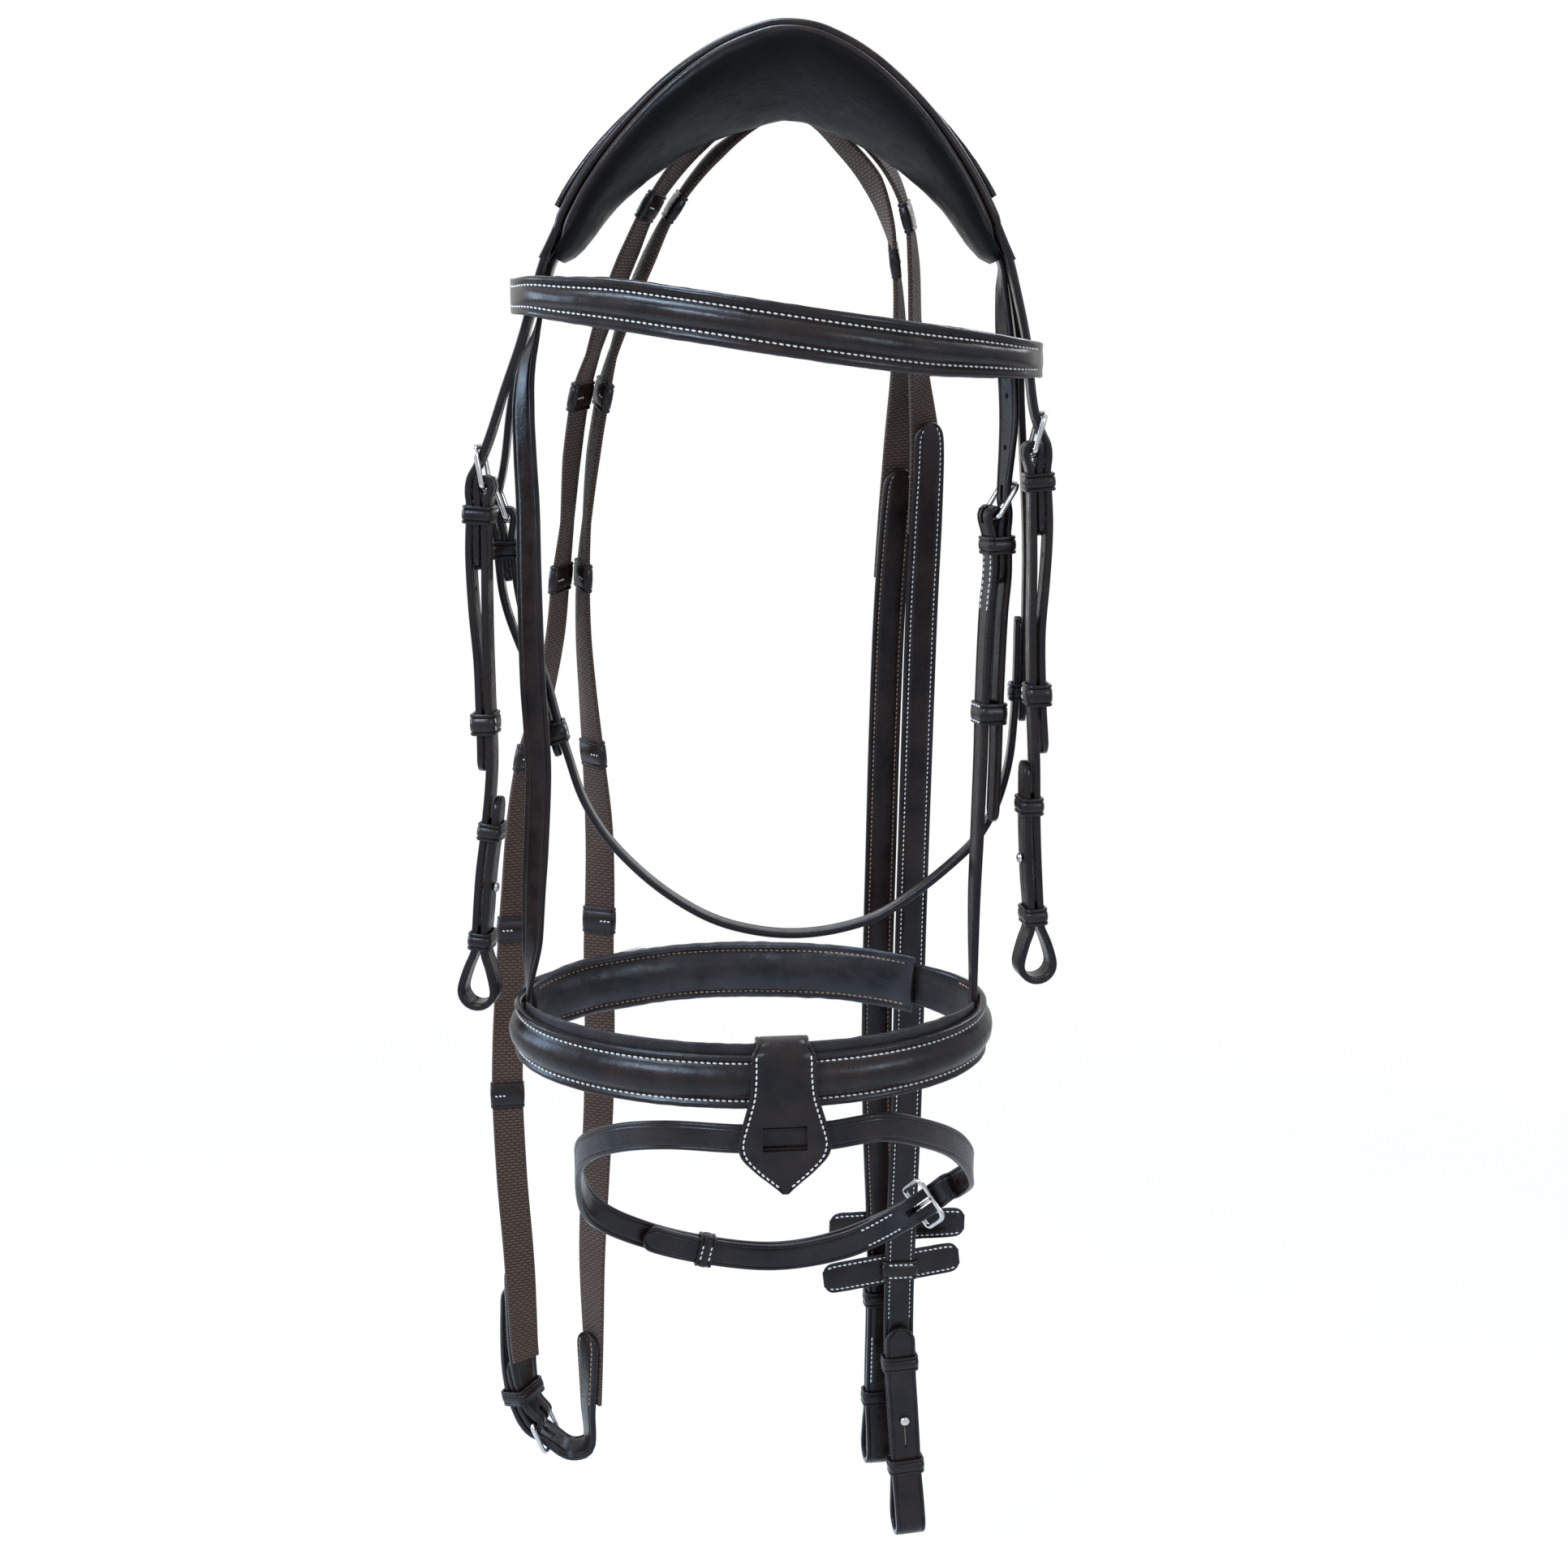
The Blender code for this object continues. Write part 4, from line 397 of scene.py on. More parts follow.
COVER_WIDTH = 0.040
COVER_RISE = 0.0032
COVER_ROLL = 0.36
COVER_FLANGE = 0.0004
# The rolled edges of the crown: name, height over the face, inset and radius.
CROWN_CORDS = (("edge", 0.0003, 0.0010, 0.0024), ("rim", -0.0046, -0.0014, 0.0021))
CORD_SIDES = 12
CORD_TAPER = 30.0

# The two sides of the bridle, from the headpiece down.
CHEEK_SHARES = {"left": [
    (-0.445, -0.056, 0.142, 0.0), (-0.4645, -0.06, 0.165, 0.0), (-0.48, -0.062, 0.186, -2.0),
    (-0.49, -0.062, 0.202, -3.0), (-0.498, -0.062, 0.217, -4.0), (-0.503, -0.062, 0.236, -5.0),
    (-0.505, -0.062, 0.264, -5.0), (-0.506, -0.062, 0.298, -6.0), (-0.505, -0.062, 0.34, -6.0),
    (-0.504, -0.062, 0.38, -7.0), (-0.513, -0.062, 0.414, -8.0), (-0.526, -0.062, 0.447, -8.0),
    (-0.534, -0.062, 0.48, -8.0), (-0.541, -0.062, 0.512, -8.0), (-0.545, -0.062, 0.54, -8.0),
], "right": [
    (0.377, -0.056, 0.13, 0.0), (0.38, -0.06, 0.152, -1.0), (0.383, -0.062, 0.175, -2.0),
    (0.389, -0.062, 0.195, -3.0), (0.395, -0.062, 0.217, -4.0), (0.399, -0.062, 0.256, -5.0),
    (0.4, -0.062, 0.3, -5.0), (0.403, -0.062, 0.34, -6.0), (0.409, -0.062, 0.374, -8.0),
    (0.412, -0.062, 0.42, -10.0), (0.418, -0.062, 0.458, -10.0), (0.424, -0.062, 0.49, -10.0),
    (0.425, -0.062, 0.53, -10.0),
]}
BILLET_FALL = 0.045
BILLET_LOW = PITCH + 2 * GAP
RUNNER_OUT = BILLET_LOW + 4 * GAP
BILLET_HOLES = (0.030, 0.018)
CHAPE_CLEAR = 0.002
CHAPE = 0.034
RETURN_OUT = 0.0050
LOOP_RADIUS = 0.0085
LOOP_STEPS = 7

# What sits along each cheek: the buckle's bar and its keeper from the top down, and the rest
# in steps from the foot of the cheek up.
CHEEK_BAR_SHARES = {"left": 0.2160, "right": 0.1959}
CHEEK_FALL = {"left": {"bar": 0.0, "keeper": 0.0140}, "right": {"bar": 0.0, "keeper": 0.0150}}
CHEEK_RISE = {
    "left": {"loop": 0.0185, "lower": 0.0265, "stud": 0.0280, "upper": 0.0290, "tip": 0.0180,
             "billet": 0.0120, "runner": 0.0250},
    "right": {"loop": 0.0240, "lower": 0.0255, "stud": 0.0300, "upper": 0.0270, "tip": 0.0230,
              "billet": 0.0030, "runner": 0.0305},
}
CHEEK_DROPS = {side: all_drops(CHEEK_SHARES[side], CHEEK_BAR_SHARES[side], CHEEK_FALL[side],
                               CHEEK_RISE[side]) for side in CHEEK_SHARES}

# The strap that carries the noseband: its left hanger and its tail on the right.
SLIP_LEFT_SHARES = [
    (-0.4545, 0.0, 0.547, 0.0), (-0.454, 0.0, 0.527, 4.0), (-0.4515, 0.0, 0.511, 24.0),
    (-0.446, 0.0, 0.492, 48.0), (-0.442, 0.0, 0.462, 60.0), (-0.437, 0.0, 0.437, 66.0),
    (-0.43, 0.0, 0.387, 70.0), (-0.432, 0.0, 0.362, 70.0), (-0.436, 0.0, 0.337, 70.0),
    (-0.438, 0.0, 0.303, 66.0), (-0.439, 0.0, 0.265, 62.0), (-0.439, 0.0, 0.227, 58.0),
    (-0.442, 0.0, 0.198, 55.0), (-0.443, 0.0, 0.17, 52.0), (-0.437, 0.003, 0.148, 38.0),
    (-0.419, 0.012, 0.127, 10.0), (-0.405, 0.018, 0.106, -2.0),
]
SLIP_RIGHT_SHARES = [
    (0.346, 0.015, 0.1035, -14.0), (0.35, 0.01, 0.124, -26.0), (0.357, 0.004, 0.15, -34.0),
    (0.3605, 0.0, 0.176, -32.0), (0.358, 0.0, 0.196, -24.0),
]
SLIP_HOLES = (0.1395, 0.1650)
HANGER_RIGHT_SHARES = [
    (0.348, 0.0, 0.2, -18.0), (0.337, 0.0, 0.217, -18.0), (0.328, 0.0, 0.233, -18.0),
    (0.332, 0.0, 0.25, -18.0), (0.333, 0.0, 0.268, -18.0), (0.328, 0.0, 0.291, -18.0),
    (0.323, 0.0, 0.346, -17.0), (0.322, 0.0, 0.375, -16.0), (0.318, 0.0, 0.427, -14.0),
    (0.315, 0.0, 0.461, -12.0), (0.3145, 0.0, 0.487, -8.0), (0.315, 0.0, 0.511, -3.0),
    (0.315, 0.0, 0.528, 0.0), (0.3145, 0.0, 0.546, 0.0),
]
HANGER_BAR_SHARE = 0.2335
HANGER_FALL = {"bar": 0.0, "keeper": 0.0150, "runner": 0.0850, "tip": 0.0565}
HANGER_DROPS = falling(HANGER_BAR_SHARE * DROP, HANGER_FALL)
HANGER_SEAM_END = 0.048

# The browband, from the end behind its left loop to the end behind its right loop.
BROW_SHARES = [
    (-0.345, -0.392, 0.109), (-0.368, -0.322, 0.108), (-0.379, -0.2, 0.107),
    (-0.381, -0.07, 0.107), (-0.381, 0.11, 0.107), (-0.392, 0.163, 0.107), (-0.417, 0.181, 0.107),
    (-0.44, 0.163, 0.107), (-0.45, 0.11, 0.107), (-0.45, -0.09, 0.107), (-0.44, -0.22, 0.108),
    (-0.409, -0.345, 0.108), (-0.357, -0.436, 0.11), (-0.27, -0.55, 0.113), (-0.15, -0.662, 0.119),
    (-0.02, -0.704, 0.126), (0.1, -0.662, 0.132), (0.213, -0.556, 0.137), (0.307, -0.438, 0.14),
    (0.361, -0.345, 0.142), (0.395, -0.22, 0.143), (0.403, -0.09, 0.144), (0.403, 0.11, 0.144),
    (0.395, 0.166, 0.144), (0.373, 0.184, 0.144), (0.342, 0.166, 0.144), (0.334, 0.11, 0.144),
    (0.334, -0.07, 0.144), (0.33, -0.2, 0.143), (0.314, -0.31, 0.142), (0.283, -0.392, 0.141),
]
BROW_END = 0.0165
BROW_MIDDLE = 0.0235
BROW_RISE = 0.0042
BROW_FRONT_LEFT = 10
BROW_FRONT_RIGHT = 20
BROW_PAD = 0.0060
BROW_PAD_STEPS = 18
BROW_ROLL = 0.250
BROW_SEAM_START = 0.004
BROW_SEAM_END = 0.006

# The throatlatch.
THROAT_LEFT_SHARES = [
    (-0.44, 0.08, 0.13), (-0.46, 0.1, 0.165), (-0.47, 0.118, 0.2), (-0.4745, 0.125, 0.225),
    (-0.4735, 0.125, 0.245), (-0.47, 0.125, 0.264), (-0.461, 0.125, 0.288), (-0.444, 0.125, 0.311),
    (-0.422, 0.125, 0.332), (-0.401, 0.125, 0.361), (-0.385, 0.125, 0.381), (-0.361, 0.125, 0.407),
    (-0.324, 0.125, 0.43), (-0.268, 0.125, 0.452), (-0.205, 0.125, 0.47), (-0.134, 0.125, 0.484),
    (-0.063, 0.125, 0.491), (0.008, 0.125, 0.493), (0.079, 0.125, 0.49), (0.15, 0.125, 0.482),
    (0.22, 0.125, 0.466), (0.275, 0.125, 0.45), (0.318, 0.125, 0.435), (0.345, 0.125, 0.42),
    (0.362, 0.125, 0.405), (0.377, 0.125, 0.383), (0.384, 0.125, 0.356), (0.387, 0.125, 0.33),
    (0.3875, 0.125, 0.296),
]
THROAT_RIGHT_SHARES = [
    (0.3775, 0.08, 0.13), (0.385, 0.105, 0.17), (0.393, 0.122, 0.21), (0.399, 0.125, 0.25),
    (0.4, 0.125, 0.3), (0.3985, 0.125, 0.345), (0.396, 0.125, 0.375),
]
THROAT_BAR_SHARE = 0.2360
THROAT_FALL = {"bar": 0.0, "keeper": 0.0165, "runner": 0.0940, "billet": 0.0120}
THROAT_LAP_SHARE = 0.3153
THROAT_LAP_FALL = {"lap_end": 0.0, "lap": 0.0225, "root_end": 0.0155}
THROAT_DROPS = {**falling(THROAT_BAR_SHARE * DROP, THROAT_FALL),
                **falling(THROAT_LAP_SHARE * DROP, THROAT_LAP_FALL)}

# The noseband: an oval seen from above, with its lowest place at the front. Places on it are
# angles from the front in degrees: its buckle, its point, and where it grows broad and narrow.
NOSE_MIDDLE_SHARES = (-0.070, 0.0)
NOSE_ACROSS = 0.120
NOSE_ALONG = 0.076
NOSE_DROP_SHARE = 0.5424
NOSE_DROP = NOSE_DROP_SHARE * DROP
NOSE_TILT = 0.0085
NOSE_FRONT = 0.0275
NOSE_SIDE = 0.0260
NOSE_LINING = 0.0326
NOSE_LINING_ASIDE = -0.0020
NOSE_RISE = 0.0040
NOSE_ROLL = 0.322
NOSE_PLACES = 24
NOSE_PAD = 0.0062
NOSE_PAD_STEPS = 16
NOSE_BAR_AT = -143.0
NOSE_TIP_AT = -112.0
NOSE_BROAD = (-106.0, -84.0, 104.0, 150.0)
NOSE_SEAM = (-92.0, 112.0)
NOSE_HOLES = (0.024, 0.014)
NOSE_LINING_AT = 79.0
CHIN_PAD_HEIGHT = 0.031
CHIN_PAD = 0.0090
CHIN_PAD_AT = 132.0
CHIN_PAD_SWEEP = 126.0
CHIN_PAD_THIN = 0.32
CHIN_PAD_STEP = 0.18
CHIN_DIP = 0.016
LAPS = 2

# The flash strap, round from the left by the front.
FLASH_SHARES = [
    (-0.371, -0.062, 0.633), (-0.352, -0.19, 0.612), (-0.293, -0.33, 0.596),
    (-0.205, -0.452, 0.586), (0.15, -0.44, 0.582), (0.211, -0.345, 0.591), (0.285, -0.15, 0.613),
    (0.316, 0.025, 0.64), (0.291, 0.135, 0.6575), (0.213, 0.237, 0.6835), (0.098, 0.305, 0.708),
    (-0.021, 0.325, 0.718), (-0.141, 0.312, 0.714), (-0.273, 0.25, 0.698), (-0.355, 0.125, 0.673),
]
FLASH_BAR_SHARE = 0.80
FLASH_FRONT_INDEX = 4
FLASH_FRONT_REACH = 0.022
FLASH_FRONT_OUT = 0.0042
FLASH_FRONT_STEPS = (-1.0, -0.5, 0.0, 0.5, 1.0)
FLASH_BUCKLE_ROOM = 0.0034
FLASH_FRONT_DROP = 0.0273
FLASH_BAR_INDEX = 8
FLASH_CHAPE = 0.026
FLASH_TAIL = 0.166
FLASH_KEEPER = 0.128
FLASH_HOLES = (0.034, 0.054)
FLASH_SEAM_IN = 0.006
FLASH_SEAM_END = 0.034

# The tab over the noseband: rows of height over its face, drop and width, and its window.
TAB_ANGLE = 8.1
TAB_LEATHER = 0.0025
TAB_FRONT = 9
TAB_FULLER = 0.0042
TAB_SEAM_START = 0.0035
TAB_SEAM_END = 8
TAB_SEAM_INSET = 0.0026
TAB_ROWS = [
    (0.0085, 0.055, 0.003), (0.0085, 0.05, 0.013), (0.0084, 0.043, 0.028), (0.0082, 0.035, 0.04),
    (0.0081, 0.029, 0.042), (0.008, 0.019, 0.037), (0.0077, 0.006, 0.03), (0.0076, -0.006, 0.028),
    (0.007, -0.015, 0.0275), (0.0035, -0.0193, 0.026), (-0.003, -0.0204, 0.026),
    (-0.0088, -0.0186, 0.026), (-0.0106, -0.012, 0.026), (-0.0106, 0.01, 0.026),
    (-0.008, 0.0176, 0.0255), (-0.0026, 0.0203, 0.025), (-0.0004, 0.0228, 0.0245),
    (0.0006, 0.028, 0.0245), (0.0006, 0.0345, 0.024),
]
WINDOW = (0.0195, 0.0350, 0.0220)
WINDOW_OUT = 0.0105
WINDOW_DEPTH = 0.0090
WINDOW_RIM = 0.0008

# The reins: the outer one and the inner one, from the buckle that joins them.
REIN_OUTER_SHARES = [
    (-0.433, 0.675, 0.8825, -18.0), (-0.4606, 0.675, 0.8715, -18.0), (-0.486, 0.675, 0.861, -20.0),
    (-0.506, 0.675, 0.8495, -28.0), (-0.5175, 0.675, 0.832, -42.0), (-0.5225, 0.675, 0.812, -54.0),
    (-0.5235, 0.675, 0.785, -64.0), (-0.525, 0.675, 0.747, -75.0), (-0.534, 0.675, 0.689, -80.0),
    (-0.539, 0.675, 0.629, -80.0), (-0.536, 0.669, 0.592, -78.0), (-0.528, 0.662, 0.547, -75.0),
    (-0.519, 0.65, 0.5, -66.0), (-0.506, 0.628, 0.435, -50.0), (-0.491, 0.605, 0.397, -38.0),
    (-0.46, 0.575, 0.356, -26.0), (-0.436, 0.537, 0.316, -26.0), (-0.423, 0.5, 0.279, -24.0),
    (-0.409, 0.469, 0.243, -14.0), (-0.396, 0.438, 0.202, -24.0), (-0.376, 0.403, 0.162, -24.0),
    (-0.353, 0.366, 0.138, -14.0), (-0.324, 0.327, 0.111, -24.0), (-0.286, 0.285, 0.08, -24.0),
    (-0.243, 0.26, 0.049, -14.0), (-0.16, 0.25, 0.014, -22.0), (-0.068, 0.245, -0.008, -8.0),
    (0.0, 0.245, -0.0135, 0.0), (0.055, 0.245, -0.008, 8.0), (0.118, 0.245, 0.008, 22.0),
    (0.178, 0.245, 0.032, 20.0), (0.21, 0.25, 0.06, 10.0), (0.221, 0.28, 0.087, 18.0),
    (0.226, 0.333, 0.123, 20.0), (0.234, 0.394, 0.157, 38.0), (0.242, 0.438, 0.195, 62.0),
    (0.24, 0.475, 0.243, 76.0), (0.235, 0.512, 0.3, 80.0), (0.231, 0.562, 0.38, 80.0),
    (0.227, 0.6, 0.461, 80.0), (0.224, 0.63, 0.53, 80.0), (0.222, 0.65, 0.602, 80.0),
    (0.219, 0.662, 0.66, 80.0), (0.214, 0.675, 0.718, 80.0), (0.21, 0.675, 0.777, 80.0),
    (0.211, 0.675, 0.821, 80.0), (0.218, 0.675, 0.86, 80.0), (0.225, 0.675, 0.9, 80.0),
    (0.232, 0.675, 0.955, 80.0),
]
REIN_INNER_SHARES = [
    (-0.3945, 0.675, 0.856, 26.0), (-0.394, 0.675, 0.832, 34.0), (-0.393, 0.675, 0.797, 46.0),
    (-0.39, 0.675, 0.747, 60.0), (-0.379, 0.675, 0.689, 72.0), (-0.368, 0.672, 0.632, 79.0),
    (-0.364, 0.668, 0.58, 80.0), (-0.364, 0.66, 0.53, 78.0), (-0.361, 0.65, 0.49, 72.0),
    (-0.362, 0.625, 0.446, 62.0), (-0.372, 0.597, 0.399, 44.0), (-0.381, 0.57, 0.356, 34.0),
    (-0.386, 0.531, 0.316, 28.0), (-0.384, 0.5, 0.279, 24.0), (-0.375, 0.469, 0.243, 14.0),
    (-0.36, 0.438, 0.202, 24.0), (-0.338, 0.403, 0.162, 24.0), (-0.319, 0.366, 0.138, 14.0),
    (-0.29, 0.327, 0.111, 24.0), (-0.253, 0.287, 0.082, 24.0), (-0.208, 0.26, 0.052, 14.0),
    (-0.132, 0.25, 0.02, 22.0), (-0.058, 0.245, 0.002, 8.0), (0.0, 0.245, -0.0035, 0.0),
    (0.044, 0.248, 0.001, -8.0), (0.095, 0.25, 0.016, -24.0), (0.146, 0.255, 0.038, -30.0),
    (0.177, 0.265, 0.064, -12.0), (0.193, 0.302, 0.093, 10.0), (0.2, 0.36, 0.125, 20.0),
    (0.202, 0.436, 0.16, 38.0), (0.196, 0.5, 0.203, 62.0), (0.187, 0.552, 0.25, 76.0),
    (0.179, 0.6, 0.304, 80.0), (0.173, 0.65, 0.382, 80.0), (0.169, 0.688, 0.465, 80.0),
    (0.166, 0.715, 0.53, 80.0), (0.165, 0.738, 0.607, 80.0), (0.169, 0.752, 0.665, 80.0),
    (0.176, 0.762, 0.724, 80.0), (0.18, 0.765, 0.784, 80.0), (0.178, 0.765, 0.843, 80.0),
    (0.176, 0.765, 0.91, 80.0),
]
REIN_BUCKLE_INDEX = 2
REIN_CHAPE = 0.030
# The inner rein past the buckle, as shares of the frame's length and heights.
REIN_TURN = ((1.25, 0.0042), (1.52, 0.0016), (1.70, -0.0042), (1.69, -0.0110))
REIN_TAB = 0.088
TAB_OUT = -2 * GAP
REIN_LAP = 0.050
REIN_KEEPER = 0.0165
REIN_INNER_REACH = 0.078
REIN_TAIL = 0.080
WEB_OUT = -(LEATHER + WEB) / 2 - 4 * GAP
STOP_LENGTH = 0.013
STOP_RAMP = 0.0020
STOP_WIDTH = 0.0192
STOP_THICKNESS = 0.0052
SLEEVE_WALL = 0.0011
SLEEVE_ROW = 0.22
SLEEVE_PITCH = 0.0022
SLEEVE_STITCH = 0.0017
# The leather stops of each rein, on its left run and on its right run.
STOP_SHARES = {"outer": ((0.0518, 0.1647, 0.2788, 0.3965, 0.5141, 0.6294), (0.0588,)),
               "inner": ((0.0518, 0.1647, 0.2788, 0.3965, 0.5106), (0.0847,))}
STRAP_FALL = {"strap": 0.0, "web": 0.0600}
OUTER_STRAP_SHARE = 0.1824
OUTER_RISE = {"loop": 0.01675, "lower": 0.0330, "stud": 0.0290, "upper": 0.0350, "tip": 0.0220,
              "stop": 0.0340}
INNER_STRAP_SHARE = 0.2118
INNER_RISE = {"loop": 0.0140, "lower": 0.0315, "stud": 0.0270, "upper": 0.0350, "tip": 0.0220,
              "stop": 0.0215}
REIN_DROPS = {"outer": all_drops(REIN_OUTER_SHARES, OUTER_STRAP_SHARE, STRAP_FALL, OUTER_RISE),
              "inner": all_drops(REIN_INNER_SHARES, INNER_STRAP_SHARE, STRAP_FALL, INNER_RISE)}
REIN_THREADS = {"outer": "white", "inner": "tan"}
REIN_STITCH = {"pitch": 0.0027, "length": 0.0019, "radius": 0.00038, "lift": -0.00020}
REIN_SEAM_IN = 0.0032
STUD_SEAM = (0.012, 0.010)
# The side of each rein that its returned end lies on: 1 over the face, -1 under the back.
RETURN_SIDE = {"outer": 1, "inner": -1}

# The martingale stops: each one's lean in degrees, and how far it lies to the right of its rein.
MARTINGALE_LENGTH = 0.081
MARTINGALE_HEIGHT = 0.018
MARTINGALE_TURN = {"outer": 8.0, "inner": -3.0}
MARTINGALE_ASIDE = {"outer": -0.004, "inner": 0.0105}
WING_THICKNESS = 0.0011
WING_RISE = 0.0008
WING_ROLL = 0.34
WING_BACK = 0.0007
WING_TIP = 0.35 * MARTINGALE_HEIGHT
WING_SEAM = 0.04
WING_SEAM_IN = 0.003
WING_ROW_IN = 0.0040
WING_ROW_SHORT = 0.0034


def crossing(route, drop, after=0.0, before=None):
    """The length at which a route goes past a height, between two lengths."""
    end = route.length if before is None else before
    for index in range(len(route.points) - 1):
        low, high = route.lengths[index:index + 2]
        if low < after or high > end:
            continue
        first = route.points[index].z + drop
        second = route.points[index + 1].z + drop
        if first * second <= 0.0 and first != second:
            return low + first / (first - second) * (high - low)
    return end


def at_drops(route, drops, after=0.0):
    """Lengths along a route for a table of drops, counted past a length."""
    return {key: crossing(route, drop, after) for key, drop in drops.items()}


def top_of(route):
    """The length at which a route is highest."""
    return route.lengths[max(range(len(route.points)), key=lambda index: route.points[index].z)]


def side_route(crown, start, inward, aside, rows, across):
    """A route from inside one end of the crown down one side of the bridle."""
    places = [crown.place(start + inward * reach, 0.0, aside) for reach in (ROOT_IN, ROOT_OUT)]
    return Route(places + [spot(row) for row in rows], [0.0, 0.0] + turns_of(rows), across)


def bit_loop(marks, width, side=-1):
    """Stations from a lower keeper, round the loop for a ring, and back up to the strap's tip.

    The returned end lies over the face for side 1 and under the back for side -1.
    """
    back = side * RETURN_OUT
    start = marks["lower"] + 0.6 * KEEPER_LENGTH
    flare = start + 0.45 * (marks["loop"] - start)
    rise = 0.55 * side * (LOOP_RADIUS - RETURN_OUT / 2)
    end = marks["tip"] + width / 2
    rows = level([(start, 0.0), (flare, -rise)], width)
    rows += bend(marks["loop"], back / 2, LOOP_RADIUS, -side * 90.0, side * 90.0, width,
                 LOOP_STEPS)
    rows += level([(flare, back + rise)], width) + run(start, end, back, width)
    return rows + tip(end, back, width, LEATHER, -1.0)[1:]


# Materials.
def add_node(tree, kind, values=None, **settings):
    """A node with settings and with the values or links of its inputs."""
    made = tree.nodes.new(kind)
    for key, value in settings.items():
        setattr(made, key, value)
    for key, value in (values or {}).items():
        if isinstance(value, bpy.types.NodeSocket):
            tree.links.new(value, made.inputs[key])
        else:
            made.inputs[key].default_value = value
    return made


class Shader:
    """A node material with the shorthand that the looks below need."""

    def __init__(self, name, **inputs):
        self.material = bpy.data.materials.new(name)
        self.material.use_nodes = True
        self.tree = self.material.node_tree
        self.surface = self.tree.nodes["Principled BSDF"]
        for key, value in inputs.items():
            self.surface.inputs[key.replace("_", " ")].default_value = value

    def node(self, kind, values=None, **settings):
        """Add a node to the material."""
        return add_node(self.tree, kind, values, **settings)

    def maths(self, operation, first, second=0.0):
        """The result of one sum on numbers or links."""
        return self.node("ShaderNodeMath", {0: first, 1: second}, operation=operation).outputs[0]

    def places(self):
        """Places on the object itself, so that the pattern moves with it."""
        return self.node("ShaderNodeTexCoord").outputs["Object"]

    def noise(self, scale, detail=3.0, roughness=0.55):
        """A cloudy pattern."""
        return self.node("ShaderNodeTexNoise", {
            "Vector": self.places(), "Scale": scale, "Detail": detail, "Roughness": roughness,
        }).outputs["Fac"]

    def ramp(self, factor, low, high):
        """The middle part of a share mapped on to a span of values."""
        return self.node("ShaderNodeMapRange", {
            "Value": factor, "From Min": 0.3, "From Max": 0.7, "To Min": low, "To Max": high,
        }).outputs["Result"]

    def mix(self, factor, first, second):
        """A colour between two."""
        return self.node("ShaderNodeMix", {"Factor": factor, 6: first, 7: second},
                         data_type="RGBA").outputs[2]

    def bump(self, height, strength, distance, under=None):
        """A bump, over another one where that is given."""
        values = {"Height": height, "Strength": strength, "Distance": distance}
        if under is not None:
            values["Normal"] = under
        return self.node("ShaderNodeBump", values).outputs["Normal"]

    def join(self, output, name):
        """Link a result to the surface."""
        self.tree.links.new(output, self.surface.inputs[name])


def leather(name, light, dark, gloss, grain, crumple, shine):
    """Finished leather: cloudy colour, worn edges, fine pebbles and pores over soft creases."""
    look = Shader(name, Specular_IOR_Level=shine, Specular_Tint=SHEEN_COLOUR)
    colour = look.mix(look.ramp(look.noise(46.0, 4.0), 0.0, 1.0), dark, light)
    edge = look.node("ShaderNodeAttribute", attribute_name="edge").outputs["Fac"]
    wear = look.maths("MULTIPLY", edge, look.ramp(look.noise(380.0), 0.15, 0.85))
    look.join(look.mix(wear, colour, EDGE_COLOUR), "Base Color")
    rough = look.ramp(look.noise(120.0), gloss - 0.05, gloss + 0.08)
    look.join(look.maths("SUBTRACT", rough, look.maths("MULTIPLY", edge, 0.10)), "Roughness")
    cells = look.node("ShaderNodeTexVoronoi", {"Vector": look.places(), "Scale": 1150.0},
                      feature="DISTANCE_TO_EDGE").outputs["Distance"]
    normal = look.bump(look.noise(95.0, 5.0, 0.6), crumple, 0.0011)
    normal = look.bump(look.noise(520.0, 4.0, 0.65), grain, 0.00045, normal)
    normal = look.bump(look.maths("MINIMUM", cells, 0.22), 0.55 * grain, 0.00035, normal)
    look.join(normal, "Normal")
    return look.material


def woven(name, light, dark):
    """A close weave: bumps of weft over warp in rows that are set off from one another."""
    look = Shader(name, Roughness=0.82, Sheen_Weight=0.18, Sheen_Roughness=0.45,
                  Specular_IOR_Level=0.30)

    def times(first, second):
        """The product of two numbers or links."""
        return look.maths("MULTIPLY", first, second)

    lengths = look.node("ShaderNodeUVMap", uv_map="lengths").outputs["UV"]
    parts = look.node("ShaderNodeSeparateXYZ", {"Vector": lengths}).outputs
    row = look.maths("DIVIDE", parts["Y"], 100 * WEFT_PITCH)
    column = look.maths("DIVIDE", parts["X"], 100 * WARP_PITCH)
    shift = times(look.maths("FLOORED_MODULO", look.maths("FLOOR", row), 2.0), 0.5)
    column = look.maths("ADD", column, shift)
    weft, warp = (look.maths("ABSOLUTE", look.maths("SINE", times(wave, math.pi)))
                  for wave in (row, column))
    high = times(look.maths("POWER", weft, 1.1), look.maths("POWER", warp, 0.5))
    fuzz = look.noise(1400.0, 2.0)
    # The colour follows the height of the weave, from the yarn's brown on the bumps to near black
    # between them: painted shade in the grooves, with random tone over it.
    groove_shade_and_tone = times(times(high, look.ramp(fuzz, 0.65, 1.15)), look.ramp(look.noise(60.0), 0.82, 1.0))
    look.join(look.mix(groove_shade_and_tone, dark, light), "Base Color")
    look.join(look.bump(fuzz, 0.35, 0.0002, look.bump(high, 0.85, 0.0006)), "Normal")
    return look.material


def thread_look(name, light, dark):
    """Waxed thread with a fine twist."""
    look = Shader(name, Roughness=0.55, Sheen_Weight=0.1)
    look.join(look.mix(look.ramp(look.noise(900.0), 0.0, 1.0), dark, light), "Base Color")
    look.join(look.bump(look.noise(3200.0), 0.3, 0.0001), "Normal")
    return look.material


